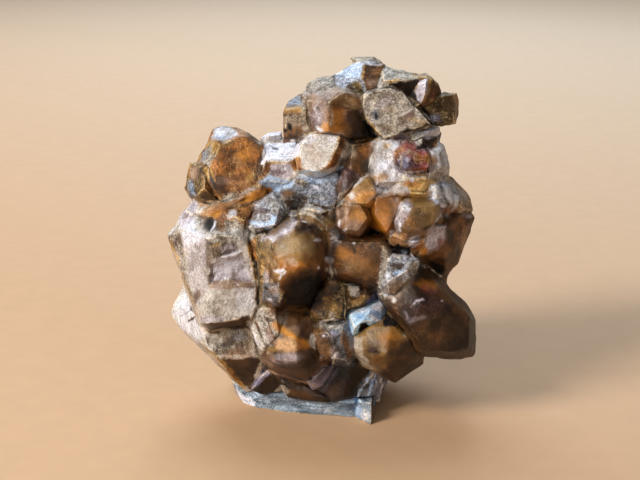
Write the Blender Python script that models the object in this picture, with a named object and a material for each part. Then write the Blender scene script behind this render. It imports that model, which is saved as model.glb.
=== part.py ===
"""Zircon crystal cluster: brown zircon crystals grown together over a foot of pale feldspar.

The front crystals are described on an upright plate through the middle of the cluster, square to
the line of sight: each corner is (across, up, out) in millimetres. The corner sits on the line
from the eye through (across, up) on that plate, and out brings it nearer to the eye. The crystals
of the sides and the back, which no one sees from there, follow zircon's own habit: a square prism
with a pyramid on each end.
"""

import math

import bmesh
import bpy
import numpy as np

MM = 0.001

# The line of sight: the eye looks down at the plate from this far, through this height.
SIGHT_PITCH = math.radians(16.8)
EYE_TO_PLATE = 124.0
SIGHT_HEIGHT = 18.5
# Where the plate meets the ground, from the middle of the foot.
PLATE_AT = np.array([1.2, -6.0, 0.0])

PLATE_RIGHT = np.array([1.0, 0.0, 0.0])
PLATE_UP = np.array([0.0, math.sin(SIGHT_PITCH), math.cos(SIGHT_PITCH)])
PLATE_OUT = np.array([0.0, -math.cos(SIGHT_PITCH), math.sin(SIGHT_PITCH)])
EYE = PLATE_AT + SIGHT_HEIGHT * PLATE_UP + EYE_TO_PLATE * PLATE_OUT

# Facets that lean less than this from each other are one flat facet.
SAME_FACET = math.radians(13)
# No zircon comes nearer to the ground than this: the foot alone rests on it.
GROUND_CLEARANCE = 0.8
# A feldspar grain sits in a pocket this much larger all round.
POCKET_GAP = 0.3
# The cluster stands more upright than the plate: a point leans out this much more for each
# millimetre that it is above the line of sight.
UPRIGHT = 0.17
# Every crystal is cut by its facets from a blank this big, and corners nearer than this are one.
BLANK_SIZE = 200.0
SAME_CORNER = 1e-5
# A front crystal grew out from the nearest of these hearts. Towards it, it narrows to a root: the
# share of its depth that each ring of the root lies at, and its width there.
HEARTS = (
    (0.0, 16.0, -7.0), (6.5, 31.5, -5.0), (8.5, 14.0, -5.0), (2.5, 23.0, -6.0), (-6.0, 20.0, -6.0),
)
ROOT_RINGS = ((0.6, 0.88), (1.0, 0.5))

FRONT_CRYSTALS = {
    # The crown: the lobe at the top right.
    "crown_stub": (6.0, [
        (-3.7, 28.2, -0.4), (-3.7, 31.3, -0.4), (-3.3, 32.3, -1.2), (-2.3, 33.0, -1.8),
        (-1.4, 32.0, -0.8), (-1.0, 28.2, -0.2)], [
        (-3.5, 31.5, 0.3), (-1.5, 31.7, 0.5), (-3.4, 28.3, 0.4), (-1.2, 28.3, 0.7)]),
    "crown_front": (9.0, [
        (-1.7, 30.8, -0.3), (-1.9, 33.0, -0.6), (-1.3, 34.2, -1.6), (-0.2, 34.8, -2.2),
        (1.4, 35.0, -2.6), (2.8, 33.8, -1.0), (4.1, 32.5, 0.0), (4.4, 30.5, 0.2),
        (4.5, 28.6, 0.3), (-1.5, 29.0, 0.0)], [
        (-0.9, 32.5, 0.8), (0.8, 32.3, 1.9), (2.2, 33.3, 1.2), (3.4, 32.6, 0.9),
        (3.9, 31.4, 0.8), (0.9, 29.3, 2.4), (-0.4, 29.3, 1.8), (3.2, 28.8, 1.7)]),
    "crown_back": (7.0, [
        (1.5, 34.9, -3.4), (3.0, 35.9, -4.2), (3.8, 36.3, -4.6), (4.9, 36.3, -4.8),
        (6.4, 35.9, -3.6), (6.6, 34.0, -2.6), (4.8, 32.8, -1.4), (3.2, 33.2, -1.4),
        (2.2, 33.8, -1.8)], [
        (4.2, 36.1, -2.6), (4.1, 34.4, -1.4), (6.2, 35.8, -2.5), (5.8, 33.7, -1.2)]),
    "crown_flake": (3.0, [
        (3.0, 36.7, -6.0), (4.0, 36.9, -6.2), (5.6, 36.8, -6.2), (6.3, 36.2, -6.0),
        (5.0, 35.6, -5.4), (3.2, 36.0, -5.6)], [
        (4.6, 36.3, -4.9)]),
    "crown_block": (7.0, [
        (6.4, 35.8, -3.0), (8.8, 35.3, -3.2), (10.8, 35.0, -3.0), (12.1, 33.5, -2.6),
        (11.6, 30.7, -2.8), (8.5, 31.0, -2.6), (5.7, 33.2, -1.6)], [
        (6.2, 34.4, -0.4), (8.2, 34.5, -0.2), (10.7, 34.7, -0.9), (5.9, 33.5, -0.5)]),
    "crown_prism": (5.0, [
        (10.7, 34.7, -1.6), (9.8, 34.2, -0.9), (9.6, 33.1, -0.6), (9.8, 32.3, -0.6),
        (10.0, 31.8, -0.5), (11.4, 32.3, -1.2), (12.1, 33.4, -1.8), (11.4, 34.3, -1.9)], [
        (10.6, 34.3, 0.1), (10.5, 32.9, 0.5), (10.1, 32.1, 0.2)]),
    "crown_tab": (5.0, [
        (11.0, 31.2, -1.4), (11.6, 29.8, -1.4), (13.5, 30.1, -2.2), (13.9, 31.1, -3.6),
        (13.9, 32.5, -3.6), (13.6, 33.2, -2.4), (12.0, 33.0, -1.8)], [
        (11.9, 32.8, -1.1), (13.4, 33.0, -1.5), (13.4, 30.3, -1.3), (11.8, 30.0, -1.0),
        (11.2, 31.2, -1.0)]),
    "crown_plate": (7.0, [
        (4.1, 31.7, -0.2), (4.3, 33.1, -0.5), (5.0, 33.6, -0.7), (7.0, 33.8, -0.9),
        (8.4, 33.2, -0.9), (11.4, 29.9, -0.6), (10.2, 29.2, -0.2), (6.3, 28.2, 0.3),
        (5.4, 29.2, 0.4), (4.3, 30.6, 0.1)], [
        (4.5, 32.9, 0.5), (5.2, 33.4, 0.4), (7.0, 33.6, 0.3), (8.2, 33.1, 0.4),
        (11.0, 30.0, 1.0), (8.2, 29.3, 1.5), (6.4, 28.6, 1.6), (5.7, 29.6, 1.4),
        (4.6, 30.8, 1.0), (4.3, 31.7, 0.8)]),
    "crown_under": (6.0, [
        (9.2, 28.0, -1.2), (10.2, 29.3, -1.4), (12.1, 29.2, -2.2), (11.9, 28.2, -2.2),
        (11.5, 27.4, -1.6), (9.6, 27.2, -1.0)], [
        (10.2, 28.6, -0.4), (11.5, 28.5, -0.9), (11.2, 27.7, -0.8)]),
    # The upper left: the orange knob, the tab beside it and the ledge below.
    "left_knob": (8.0, [
        (-11.9, 26.4, -2.6), (-11.3, 28.1, -3.0), (-10.6, 29.5, -3.4), (-9.8, 29.9, -3.6),
        (-8.0, 29.6, -3.0), (-7.3, 29.3, -1.6), (-6.0, 28.4, -1.0), (-5.5, 27.4, -0.8),
        (-5.6, 25.5, -0.6), (-6.1, 23.8, -0.4), (-9.8, 22.5, -0.4), (-11.2, 24.5, -1.0)], [
        (-10.9, 26.2, 0.8), (-10.3, 27.5, 0.8), (-9.7, 28.1, 0.7), (-8.4, 28.6, 0.5),
        (-7.5, 28.9, 0.2), (-6.3, 28.1, 0.2), (-5.8, 27.2, 0.3), (-6.2, 24.1, 1.0),
        (-8.2, 23.4, 1.4), (-9.8, 22.8, 1.4), (-10.8, 24.4, 1.2)]),
    "left_tab": (5.0, [
        (-12.9, 26.3, -2.2), (-13.4, 24.6, -2.0), (-13.5, 23.5, -1.8), (-13.1, 22.8, -1.4),
        (-12.2, 22.2, -0.6), (-10.7, 22.2, -0.2), (-10.1, 23.1, -0.2), (-11.0, 26.0, -1.2)], [
        (-12.0, 25.8, -0.6), (-12.3, 23.0, 0.4), (-11.6, 23.7, 0.9), (-10.6, 22.6, 0.7),
        (-11.4, 25.6, -0.1)]),
    "ledge": (5.0, [
        (-12.4, 21.1, 0.0), (-11.5, 22.1, -0.4), (-9.8, 22.7, -0.6), (-8.0, 23.3, -0.8),
        (-5.8, 23.9, -1.2), (-4.8, 23.8, -1.4), (-5.7, 22.6, 0.0), (-7.5, 21.6, 1.0),
        (-9.0, 21.0, 1.4), (-11.5, 20.4, 1.2)], [
        (-9.9, 22.0, 1.6), (-7.8, 22.6, 1.2), (-6.0, 23.3, 0.6), (-11.4, 21.2, 1.2)]),
    "under_ledge": (6.0, [
        (-11.7, 20.7, 0.5), (-9.0, 21.8, 0.5), (-7.2, 22.0, 0.5), (-6.4, 22.2, 0.5),
        (-7.0, 20.7, 1.0), (-7.6, 19.5, 1.2), (-8.4, 18.6, 1.4), (-10.0, 18.3, 1.4),
        (-11.4, 18.7, 1.2), (-12.1, 19.7, 0.8)], [
        (-9.4, 21.0, 2.4), (-8.0, 20.5, 2.6), (-8.4, 18.9, 2.6), (-10.8, 19.2, 2.2)]),
    "left_collar": (6.0, [
        (-13.5, 20.5, -1.4), (-13.0, 21.6, -1.6), (-12.6, 22.2, -1.4), (-11.9, 22.0, -0.8),
        (-11.6, 21.0, 0.0), (-12.4, 20.0, 0.4), (-13.3, 19.8, 0.0)], [
        (-13.2, 21.2, -0.2), (-12.4, 20.8, 0.8)]),
    # The left side: the long pale prism and the wedge under it.
    "left_prism": (9.0, [
        (-15.2, 18.8, -0.5), (-14.8, 19.4, -0.6), (-13.8, 20.4, -0.4), (-12.6, 21.4, 0.2),
        (-9.5, 20.2, 1.5), (-7.3, 18.7, 1.8), (-6.6, 16.4, 2.0), (-6.1, 13.4, 2.0),
        (-6.2, 12.2, 1.8), (-7.1, 9.9, 1.4), (-10.9, 9.3, 1.2), (-12.2, 10.2, 0.8),
        (-13.0, 13.0, 0.0), (-14.2, 15.9, -0.5)], [
        (-13.8, 19.5, 2.2), (-11.5, 18.7, 4.4), (-10.6, 18.7, 4.6), (-8.2, 18.4, 4.2),
        (-7.2, 17.8, 3.6), (-6.7, 15.0, 4.0), (-6.4, 12.6, 4.0), (-7.2, 10.9, 4.2),
        (-10.8, 10.1, 4.8), (-11.6, 10.2, 4.4), (-12.3, 12.0, 3.2)]),
    "left_wedge": (9.0, [
        (-13.2, 13.3, -3.0), (-14.0, 12.5, -3.2), (-14.6, 11.3, -3.0), (-14.4, 10.2, -2.6),
        (-13.5, 9.1, -2.0), (-11.5, 7.2, -1.0), (-8.6, 4.6, -1.4), (-7.6, 3.5, -1.6),
        (-6.9, 3.7, -1.2), (-5.7, 5.8, -0.2), (-6.0, 7.0, 0.2), (-7.2, 9.8, 0.0)], [
        (-12.0, 10.0, 0.6), (-11.3, 7.8, 1.6), (-10.4, 6.8, 1.8), (-6.1, 6.6, 2.0),
        (-7.3, 9.4, 1.2), (-10.6, 9.4, 1.0)]),
    "left_toe": (6.0, [
        (-5.7, 6.0, -0.5), (-6.9, 3.5, -0.8), (-5.6, 3.0, -0.8), (-3.2, 3.0, -1.0),
        (-2.8, 3.6, -0.8), (-3.4, 5.2, 0.0)], [
        (-5.3, 5.5, 0.8), (-6.3, 4.1, 0.2), (-4.2, 4.5, 0.6)]),
    # The middle: the big honey crystal that stands out furthest, and what leans on it.
    "middle": (10.0, [
        (-5.7, 18.4, 3.0), (-4.5, 19.8, 2.6), (-3.0, 20.9, 2.2), (-1.8, 21.3, 2.0),
        (-0.5, 21.0, 2.0), (0.6, 20.1, 2.2), (0.9, 18.9, 2.6), (0.8, 16.3, 3.0),
        (0.1, 13.5, 2.4), (-0.7, 11.7, 1.8), (-4.2, 11.7, 1.8), (-5.5, 14.0, 2.5)], [
        (-4.6, 18.2, 5.6), (-2.6, 19.2, 5.6), (-0.4, 18.8, 5.4), (-3.9, 15.2, 7.4),
        (-2.6, 15.7, 8.0), (-0.6, 15.9, 7.2), (-3.6, 12.2, 4.6), (-1.4, 12.2, 4.4)]),
    "middle_flank": (7.0, [
        (-7.2, 18.8, 2.5), (-5.8, 19.3, 2.5), (-4.5, 18.0, 3.5), (-3.5, 15.0, 4.0),
        (-4.1, 12.0, 3.0), (-5.8, 11.9, 2.5), (-6.2, 13.5, 2.5), (-6.7, 17.0, 2.5)], [
        (-5.8, 17.4, 4.6), (-5.6, 12.8, 4.6), (-3.8, 15.0, 5.8), (-4.3, 12.6, 5.0),
        (-4.8, 17.6, 5.2)]),
    "bottom_fluted": (7.0, [
        (-6.2, 12.0, 2.0), (-4.3, 11.7, 2.0), (-4.0, 10.3, 2.4), (-3.5, 9.0, 2.6),
        (-5.8, 7.3, 2.2), (-6.4, 8.0, 2.0), (-7.2, 9.5, 1.6), (-7.0, 10.7, 1.8)], [
        (-6.0, 11.4, 3.6), (-4.6, 11.2, 4.0), (-6.6, 9.6, 3.4), (-5.6, 8.0, 4.2),
        (-4.4, 9.2, 4.6)]),
    "bottom_middle": (9.0, [
        (-6.3, 8.0, 2.2), (-4.5, 10.3, 2.6), (-1.7, 9.9, 2.6), (-0.8, 9.5, 2.6),
        (0.4, 7.6, 2.6), (1.3, 6.3, 2.2), (0.6, 4.9, 1.8), (-0.2, 3.8, 1.2),
        (-1.6, 3.8, 1.2), (-3.5, 4.5, 1.4), (-5.2, 5.5, 1.6), (-6.0, 6.7, 2.0)], [
        (-5.0, 7.0, 4.8), (-4.2, 6.4, 5.6), (-2.3, 6.3, 6.2), (-2.4, 8.4, 6.0),
        (-4.2, 8.4, 5.2), (-0.3, 6.2, 4.8), (-1.4, 9.0, 4.6), (0.0, 4.4, 3.0)]),
    "bottom_tooth": (7.0, [
        (-0.8, 9.4, 2.2), (0.3, 9.8, 2.2), (1.1, 8.8, 2.4), (1.7, 7.0, 2.4),
        (1.2, 6.2, 2.4), (-0.2, 6.5, 2.4)], [
        (-0.4, 9.0, 3.8), (0.7, 8.9, 4.2), (1.2, 7.1, 4.2), (0.3, 6.8, 4.4)]),
    "bottom_grey": (7.0, [
        (0.4, 10.4, 2.2), (2.3, 10.6, 2.0), (3.2, 8.0, 2.2), (2.7, 6.3, 2.4),
        (1.4, 6.2, 2.4), (0.9, 8.8, 2.4)], [
        (0.9, 9.7, 3.6), (2.2, 9.7, 3.6), (2.8, 8.0, 3.4), (2.4, 6.8, 3.8),
        (1.6, 6.8, 4.2), (1.4, 8.6, 4.2)]),
    "bottom_dark": (7.0, [
        (1.3, 6.2, 0.8), (3.2, 6.6, 0.6), (3.8, 5.9, 0.4), (5.5, 5.3, 0.2),
        (5.0, 4.0, 0.2), (3.8, 2.6, 0.4), (2.5, 2.7, 0.8), (1.3, 2.5, 1.0),
        (-0.2, 3.7, 1.0), (0.2, 4.7, 1.0)], [
        (0.2, 4.2, 2.2), (1.2, 5.8, 2.4), (3.4, 5.6, 2.2), (2.5, 3.2, 2.6),
        (1.4, 3.0, 2.8), (3.9, 3.4, 1.8)]),
    "bottom_lilac": (4.0, [
        (1.4, 6.3, 1.8), (-0.1, 5.6, 2.4), (-0.9, 4.4, 2.8), (-0.6, 3.9, 2.4),
        (0.2, 4.0, 2.0), (0.9, 5.1, 1.8)], [
        (0.5, 5.6, 3.3), (-0.6, 4.4, 3.5), (0.0, 4.3, 3.3), (1.1, 5.9, 2.9)]),
    "bottom_fan": (6.0, [
        (5.5, 5.4, -0.4), (6.7, 4.5, -1.0), (6.4, 3.3, -1.0), (5.8, 2.2, -0.6),
        (4.2, 2.3, 0.0), (3.2, 2.7, 0.2), (3.7, 3.7, 0.4)], [
        (5.3, 5.0, 1.0), (4.0, 3.6, 1.6), (5.9, 3.9, 0.8), (5.4, 2.6, 1.0),
        (3.9, 2.7, 1.6)]),
    "middle_seam": (6.0, [
        (0.4, 20.2, 1.2), (1.6, 20.4, 1.4), (2.2, 19.0, 1.6), (2.0, 16.4, 1.6),
        (1.6, 14.0, 1.4), (0.6, 13.6, 1.4), (0.2, 17.0, 1.6)], [
        (0.9, 19.2, 2.9), (1.6, 18.4, 2.9), (1.3, 15.2, 2.8), (0.8, 16.8, 3.0)]),
    "middle_cap": (6.0, [
        (-3.0, 20.8, 1.6), (-2.2, 21.6, 1.4), (-0.6, 21.6, 1.4), (0.8, 20.6, 1.6),
        (1.0, 19.4, 1.8), (-0.6, 18.6, 2.0), (-2.6, 19.2, 2.0)], [
        (-1.8, 20.9, 3.9), (-0.6, 20.6, 4.2), (0.4, 19.8, 3.9), (-1.2, 19.6, 4.4)]),
    # Right of the middle: brown and olive blocks.
    "brown_block": (8.0, [
        (0.8, 17.7, 2.0), (2.0, 18.5, 2.0), (4.0, 18.5, 2.0), (6.2, 18.6, 2.0),
        (6.7, 17.5, 2.2), (6.3, 15.7, 2.2), (5.4, 13.6, 2.2), (4.6, 13.5, 2.2),
        (2.5, 14.3, 2.2), (1.0, 15.3, 2.0)], [
        (2.0, 17.8, 3.6), (5.9, 18.0, 3.9), (6.2, 17.0, 4.2), (5.4, 14.3, 4.0),
        (2.6, 15.0, 4.2), (1.6, 16.2, 3.6)]),
    "olive_tall": (7.0, [
        (0.8, 15.2, 1.5), (2.3, 14.5, 1.5), (2.4, 10.6, 1.7), (0.5, 10.2, 1.8),
        (-0.7, 10.5, 1.8), (-0.9, 11.6, 1.8), (0.0, 13.5, 1.6)], [
        (1.0, 14.2, 3.0), (2.2, 13.8, 3.0), (2.2, 11.0, 3.6), (0.5, 10.7, 3.8),
        (-0.5, 11.2, 3.4), (0.3, 13.2, 3.2)]),
    "olive_small": (6.0, [
        (2.4, 14.3, 1.0), (3.8, 14.2, 1.0), (5.4, 13.4, 1.0), (5.2, 12.5, 1.0),
        (3.5, 11.7, 1.0), (2.7, 11.3, 1.0), (2.4, 12.5, 1.0)], [
        (2.8, 13.7, 2.8), (4.4, 13.2, 2.7), (3.9, 12.3, 2.9), (2.9, 12.0, 2.9)]),
    "olive_tooth": (5.0, [
        (2.6, 13.8, 1.2), (3.8, 14.0, 1.2), (4.2, 13.2, 1.4), (3.2, 12.6, 1.4),
        (2.4, 13.2, 1.4)], [
        (2.9, 13.6, 3.3), (3.7, 13.6, 3.1), (3.2, 13.0, 3.5)]),
    # The lower right: the big dark crystal and the rounded one below it.
    "right_dark": (9.0, [
        (6.1, 15.0, 3.0), (6.0, 12.2, 3.0), (7.2, 10.8, 3.0), (8.5, 9.0, 3.2),
        (10.0, 6.9, 3.0), (13.0, 6.5, 1.4), (15.3, 6.8, 0.6), (15.6, 7.3, 0.4),
        (15.6, 10.7, 0.0), (15.0, 11.7, 0.0), (13.3, 13.5, 0.4), (12.0, 14.7, 0.8),
        (10.5, 15.9, 1.0), (9.0, 16.9, 1.4), (7.0, 16.8, 2.0)], [
        (6.6, 12.6, 5.2), (8.8, 15.0, 4.6), (8.8, 9.6, 6.2), (10.4, 7.6, 5.6),
        (12.8, 7.2, 4.6), (14.8, 7.6, 3.4), (15.0, 10.6, 3.2), (12.2, 13.6, 3.8),
        (10.2, 12.0, 6.4)]),
    "right_frosted": (6.0, [
        (6.2, 13.4, 3.4), (6.3, 15.8, 3.2), (7.0, 16.9, 3.0), (8.8, 17.0, 2.8),
        (9.6, 16.4, 3.6), (8.8, 15.0, 5.0), (7.2, 13.4, 5.6)], [
        (7.1, 16.1, 5.0), (8.4, 16.0, 5.1), (8.4, 15.3, 5.8), (7.0, 14.4, 6.0)]),
    "right_ball": (8.0, [
        (3.3, 8.9, 2.5), (4.6, 9.8, 2.5), (6.5, 10.3, 2.5), (8.0, 9.8, 2.5),
        (8.9, 8.7, 2.5), (10.1, 7.0, 2.0), (10.0, 6.0, 1.8), (8.6, 5.0, 1.8),
        (7.3, 4.3, 1.8), (5.6, 5.3, 2.2), (4.3, 6.0, 2.4), (3.3, 7.4, 2.5)], [
        (4.6, 9.0, 4.6), (7.0, 9.4, 5.0), (8.4, 8.2, 5.0), (8.8, 6.4, 4.2),
        (7.2, 5.2, 4.4), (5.2, 6.2, 5.2), (4.2, 7.6, 4.8), (6.6, 7.2, 6.0)]),
    # The right lobe: pale on top with a red crystal in it, orange in front.
    "pale_block": (7.0, [
        (4.9, 25.5, 0.4), (5.1, 26.5, 0.2), (5.7, 27.8, -0.4), (7.2, 28.5, -0.8),
        (8.5, 28.3, -0.6), (10.8, 27.8, -0.4), (11.2, 25.0, 1.0), (8.0, 23.8, 1.4),
        (5.5, 23.6, 1.0)], [
        (5.7, 26.4, 2.4), (6.2, 27.2, 2.0), (7.4, 27.7, 1.8), (8.0, 25.8, 3.0),
        (8.2, 24.6, 3.4), (6.0, 24.6, 3.2)]),
    "red_crystal": (4.0, [
        (8.1, 27.7, 0.6), (9.2, 27.9, 0.5), (11.0, 27.4, 0.5), (11.2, 26.7, 0.8),
        (10.8, 25.3, 1.6), (8.4, 25.1, 1.8), (7.6, 26.2, 1.4)], [
        (8.5, 27.3, 2.6), (10.4, 27.1, 2.5), (10.6, 26.0, 3.2), (8.6, 25.7, 3.7),
        (8.1, 26.4, 3.4)]),
    "pale_corner": (5.0, [
        (10.6, 27.5, 0.6), (11.6, 27.7, 0.4), (12.5, 27.4, 0.2), (12.8, 26.5, 0.2),
        (12.5, 25.3, 0.4), (10.8, 24.5, 1.4), (10.4, 25.6, 1.6)], [
        (11.2, 27.0, 1.9), (12.2, 26.8, 1.5), (12.0, 26.0, 1.9), (11.1, 25.2, 2.4)]),
    "right_shoulder": (8.0, [
        (12.0, 25.4, -1.0), (12.8, 25.0, -1.4), (15.0, 23.0, -2.4), (15.3, 21.6, -2.0),
        (13.6, 20.8, 0.2), (11.2, 21.0, 1.2), (10.6, 23.8, 0.8)], [
        (12.6, 24.3, 0.9), (13.6, 22.3, 1.4), (14.2, 21.8, 0.9), (11.8, 22.0, 2.0)]),
    "right_flank": (8.0, [
        (11.8, 20.6, 1.4), (14.0, 21.4, 0.2), (15.0, 21.4, -1.4), (15.4, 20.7, -1.8),
        (15.0, 19.3, -1.8), (14.4, 17.5, -1.4), (13.8, 16.1, -0.8), (12.6, 15.4, 0.0),
        (11.0, 16.2, 1.2), (9.2, 17.4, 1.8), (9.4, 19.0, 2.0)], [
        (13.8, 20.6, 1.4), (14.3, 19.6, 1.2), (13.2, 17.6, 2.0), (12.3, 19.9, 3.6),
        (10.8, 19.4, 4.0), (10.6, 17.8, 3.8), (12.4, 17.2, 3.0)]),
    "honey_block": (6.0, [
        (8.5, 22.6, 3.0), (10.5, 22.8, 2.6), (12.4, 22.4, 2.2), (12.3, 21.1, 2.6),
        (11.0, 19.7, 3.0), (9.5, 18.9, 3.2), (7.9, 18.9, 3.2), (7.3, 20.3, 3.0)], [
        (8.6, 21.8, 5.6), (11.6, 21.8, 5.0), (11.4, 21.0, 5.4), (10.4, 20.0, 5.8),
        (9.0, 19.6, 6.0), (8.0, 20.4, 5.6)]),
    "orange_wedge": (6.0, [
        (5.2, 22.5, 1.8), (6.5, 23.5, 1.4), (8.8, 23.6, 1.4), (8.6, 22.2, 2.2),
        (7.6, 20.5, 2.6), (6.8, 19.2, 2.6), (6.0, 19.7, 2.4), (5.1, 21.2, 2.2)], [
        (6.0, 22.4, 3.4), (8.0, 22.6, 3.4), (7.2, 20.6, 4.2), (6.6, 19.9, 4.2),
        (5.8, 21.0, 3.8)]),
    "orange_slope": (7.0, [
        (2.5, 23.3, 1.2), (4.6, 25.1, 0.4), (5.8, 24.7, 0.6), (6.5, 23.5, 1.2),
        (5.4, 22.1, 2.0), (2.5, 21.2, 2.0), (1.4, 21.5, 1.6)], [
        (3.6, 23.6, 2.8), (4.8, 24.2, 2.4), (5.5, 23.2, 3.2), (4.6, 22.3, 3.7),
        (3.0, 22.2, 3.4)]),
    "brown_ball": (7.0, [
        (1.3, 21.3, 2.0), (2.5, 22.2, 2.0), (4.2, 22.1, 2.0), (4.9, 21.1, 2.2),
        (5.1, 20.2, 2.2), (4.0, 18.7, 2.4), (2.7, 18.8, 2.4), (1.6, 19.7, 2.2)], [
        (2.6, 21.4, 4.0), (4.0, 21.4, 4.3), (4.5, 20.4, 4.6), (3.8, 19.4, 4.6),
        (2.6, 19.6, 4.4)]),
    "frosted_lip": (5.0, [
        (6.8, 20.0, 2.4), (7.3, 18.6, 2.4), (9.0, 17.7, 2.4), (10.5, 18.0, 2.2),
        (10.6, 19.4, 2.4), (8.6, 20.4, 2.4)], [
        (7.6, 19.0, 3.9), (9.4, 18.4, 4.4), (10.2, 18.6, 4.2)]),
    "rose_ledge": (6.0, [
        (6.8, 25.0, 0.4), (8.2, 25.4, 0.6), (10.6, 25.2, 0.6), (12.4, 24.8, 0.2),
        (12.6, 23.8, 0.4), (11.0, 22.6, 1.4), (8.6, 22.6, 1.8), (6.8, 23.4, 1.4)], [
        (8.0, 24.7, 3.0), (10.4, 24.5, 3.0), (11.6, 24.0, 2.2), (10.2, 23.3, 3.3),
        (8.2, 23.4, 3.4)]),
    "shoulder_lump": (5.0, [
        (10.6, 23.8, 1.2), (12.0, 24.6, 0.8), (13.0, 23.9, 0.4), (13.7, 22.4, 0.2),
        (13.2, 21.6, 1.0), (11.4, 22.4, 1.8)], [
        (11.6, 23.6, 2.7), (12.6, 23.4, 2.2), (13.0, 22.3, 2.1), (11.8, 22.8, 2.9)]),
    # The upper middle: the white-faced block, the pale crystal and the grey slab.
    "white_faced": (6.0, [
        (-6.1, 25.4, -0.4), (-5.7, 27.4, -1.6), (-5.4, 28.3, -2.4), (-2.0, 28.4, -2.4),
        (-1.8, 27.0, -1.2), (-2.2, 25.0, 0.0), (-3.2, 24.0, 0.2), (-5.9, 24.2, 0.0)], [
        (-5.3, 26.4, 1.0), (-2.9, 26.4, 1.0), (-2.5, 25.2, 0.8), (-3.3, 24.5, 1.0),
        (-5.7, 24.8, 0.9)]),
    "pale_crystal": (7.0, [
        (-2.3, 27.3, 0.0), (-2.0, 28.4, -0.4), (-1.4, 29.1, -0.8), (0.0, 29.3, -1.0),
        (1.8, 29.3, -0.8), (2.6, 28.7, -0.2), (3.2, 27.5, 0.2), (3.0, 26.5, 0.4),
        (2.0, 25.6, 0.6), (0.5, 25.2, 0.6), (-2.0, 25.4, 0.4)], [
        (-1.5, 28.0, 1.8), (0.0, 28.8, 1.6), (1.8, 28.8, 1.6), (1.6, 27.4, 2.4),
        (0.8, 26.0, 2.8), (0.2, 25.6, 2.8), (-1.7, 26.0, 2.3)]),
    "dark_gap": (7.0, [
        (2.5, 28.4, -0.8), (3.6, 28.3, -0.8), (5.8, 28.7, -1.0), (6.2, 28.2, -0.8),
        (5.4, 26.5, -0.4), (4.9, 25.0, 0.0), (3.5, 23.8, 0.2), (2.3, 23.4, 0.2),
        (2.0, 25.7, -0.2)], [
        (3.4, 27.8, 0.6), (5.6, 28.1, 0.2), (5.0, 26.4, 0.9), (3.2, 26.2, 1.4),
        (3.4, 24.6, 1.6), (4.4, 25.2, 1.2)]),
    "grey_slab": (8.0, [
        (-2.4, 25.6, -0.6), (2.1, 25.9, -0.6), (2.5, 23.4, 0.2), (1.5, 21.3, 1.0),
        (-3.6, 21.2, 0.8), (-4.2, 23.4, 0.2)], [
        (-2.0, 24.6, 1.0), (1.7, 24.9, 1.2), (1.8, 23.2, 1.8), (1.2, 22.0, 2.4),
        (-1.8, 22.2, 2.3), (-3.4, 22.6, 1.6)]),
    "brown_wedge": (6.0, [
        (2.2, 25.8, 0.4), (3.2, 25.6, 0.6), (3.9, 24.8, 0.8), (3.7, 23.8, 1.2),
        (2.8, 23.2, 1.6), (1.8, 22.0, 1.8), (1.9, 24.0, 1.2)], [
        (2.7, 25.0, 2.2), (3.3, 24.6, 2.2), (2.8, 23.8, 2.7), (2.2, 23.4, 2.6)]),
    "rough_high": (5.0, [
        (-5.2, 22.6, -0.2), (-3.6, 22.8, -0.2), (-2.8, 21.8, 0.2), (-3.6, 20.8, 0.8),
        (-5.2, 21.0, 0.8)], [
        (-4.6, 22.2, 1.6), (-3.6, 22.2, 1.6), (-3.6, 21.4, 2.1), (-4.6, 21.4, 2.2)]),
    "rough_low": (5.0, [
        (-6.6, 21.8, 0.4), (-5.4, 22.2, 0.2), (-4.4, 21.0, 0.8), (-4.8, 20.0, 1.2),
        (-6.4, 20.4, 1.0)], [
        (-5.9, 21.4, 2.5), (-5.2, 21.4, 2.5), (-5.2, 20.6, 3.0)]),
    "sparkle_lump": (6.0, [
        (-6.4, 22.0, 0.8), (-4.8, 22.9, 0.6), (-3.5, 22.2, 0.8), (-2.9, 21.0, 1.2),
        (-4.5, 19.4, 1.6), (-6.5, 18.9, 1.6), (-7.3, 19.7, 1.4)], [
        (-5.8, 21.4, 2.8), (-4.2, 21.6, 3.0), (-4.6, 20.1, 3.6), (-6.4, 19.9, 3.5)]),
    "tan_sliver": (4.0, [
        (-1.9, 21.9, 1.6), (-0.2, 21.8, 1.6), (1.2, 21.4, 1.8), (0.6, 20.4, 2.0),
        (-1.5, 20.6, 2.0)], [
        (-1.3, 21.4, 3.0), (0.3, 21.1, 3.1)]),
    "bottom_under": (6.0, [
        (-4.1, 4.9, 0.6), (-2.6, 4.5, 0.6), (-1.0, 4.2, 0.5), (0.2, 3.7, 0.6),
        (1.4, 2.7, 1.2), (1.2, 2.4, 1.0), (0.2, 2.5, 0.8), (-1.2, 2.6, 0.6),
        (-2.3, 2.9, 0.5), (-3.3, 3.5, 0.5)], [
        (-3.2, 4.0, 0.9), (-1.4, 3.3, 1.2), (0.4, 2.8, 1.5), (-2.2, 3.3, 1.0)]),
}

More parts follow.
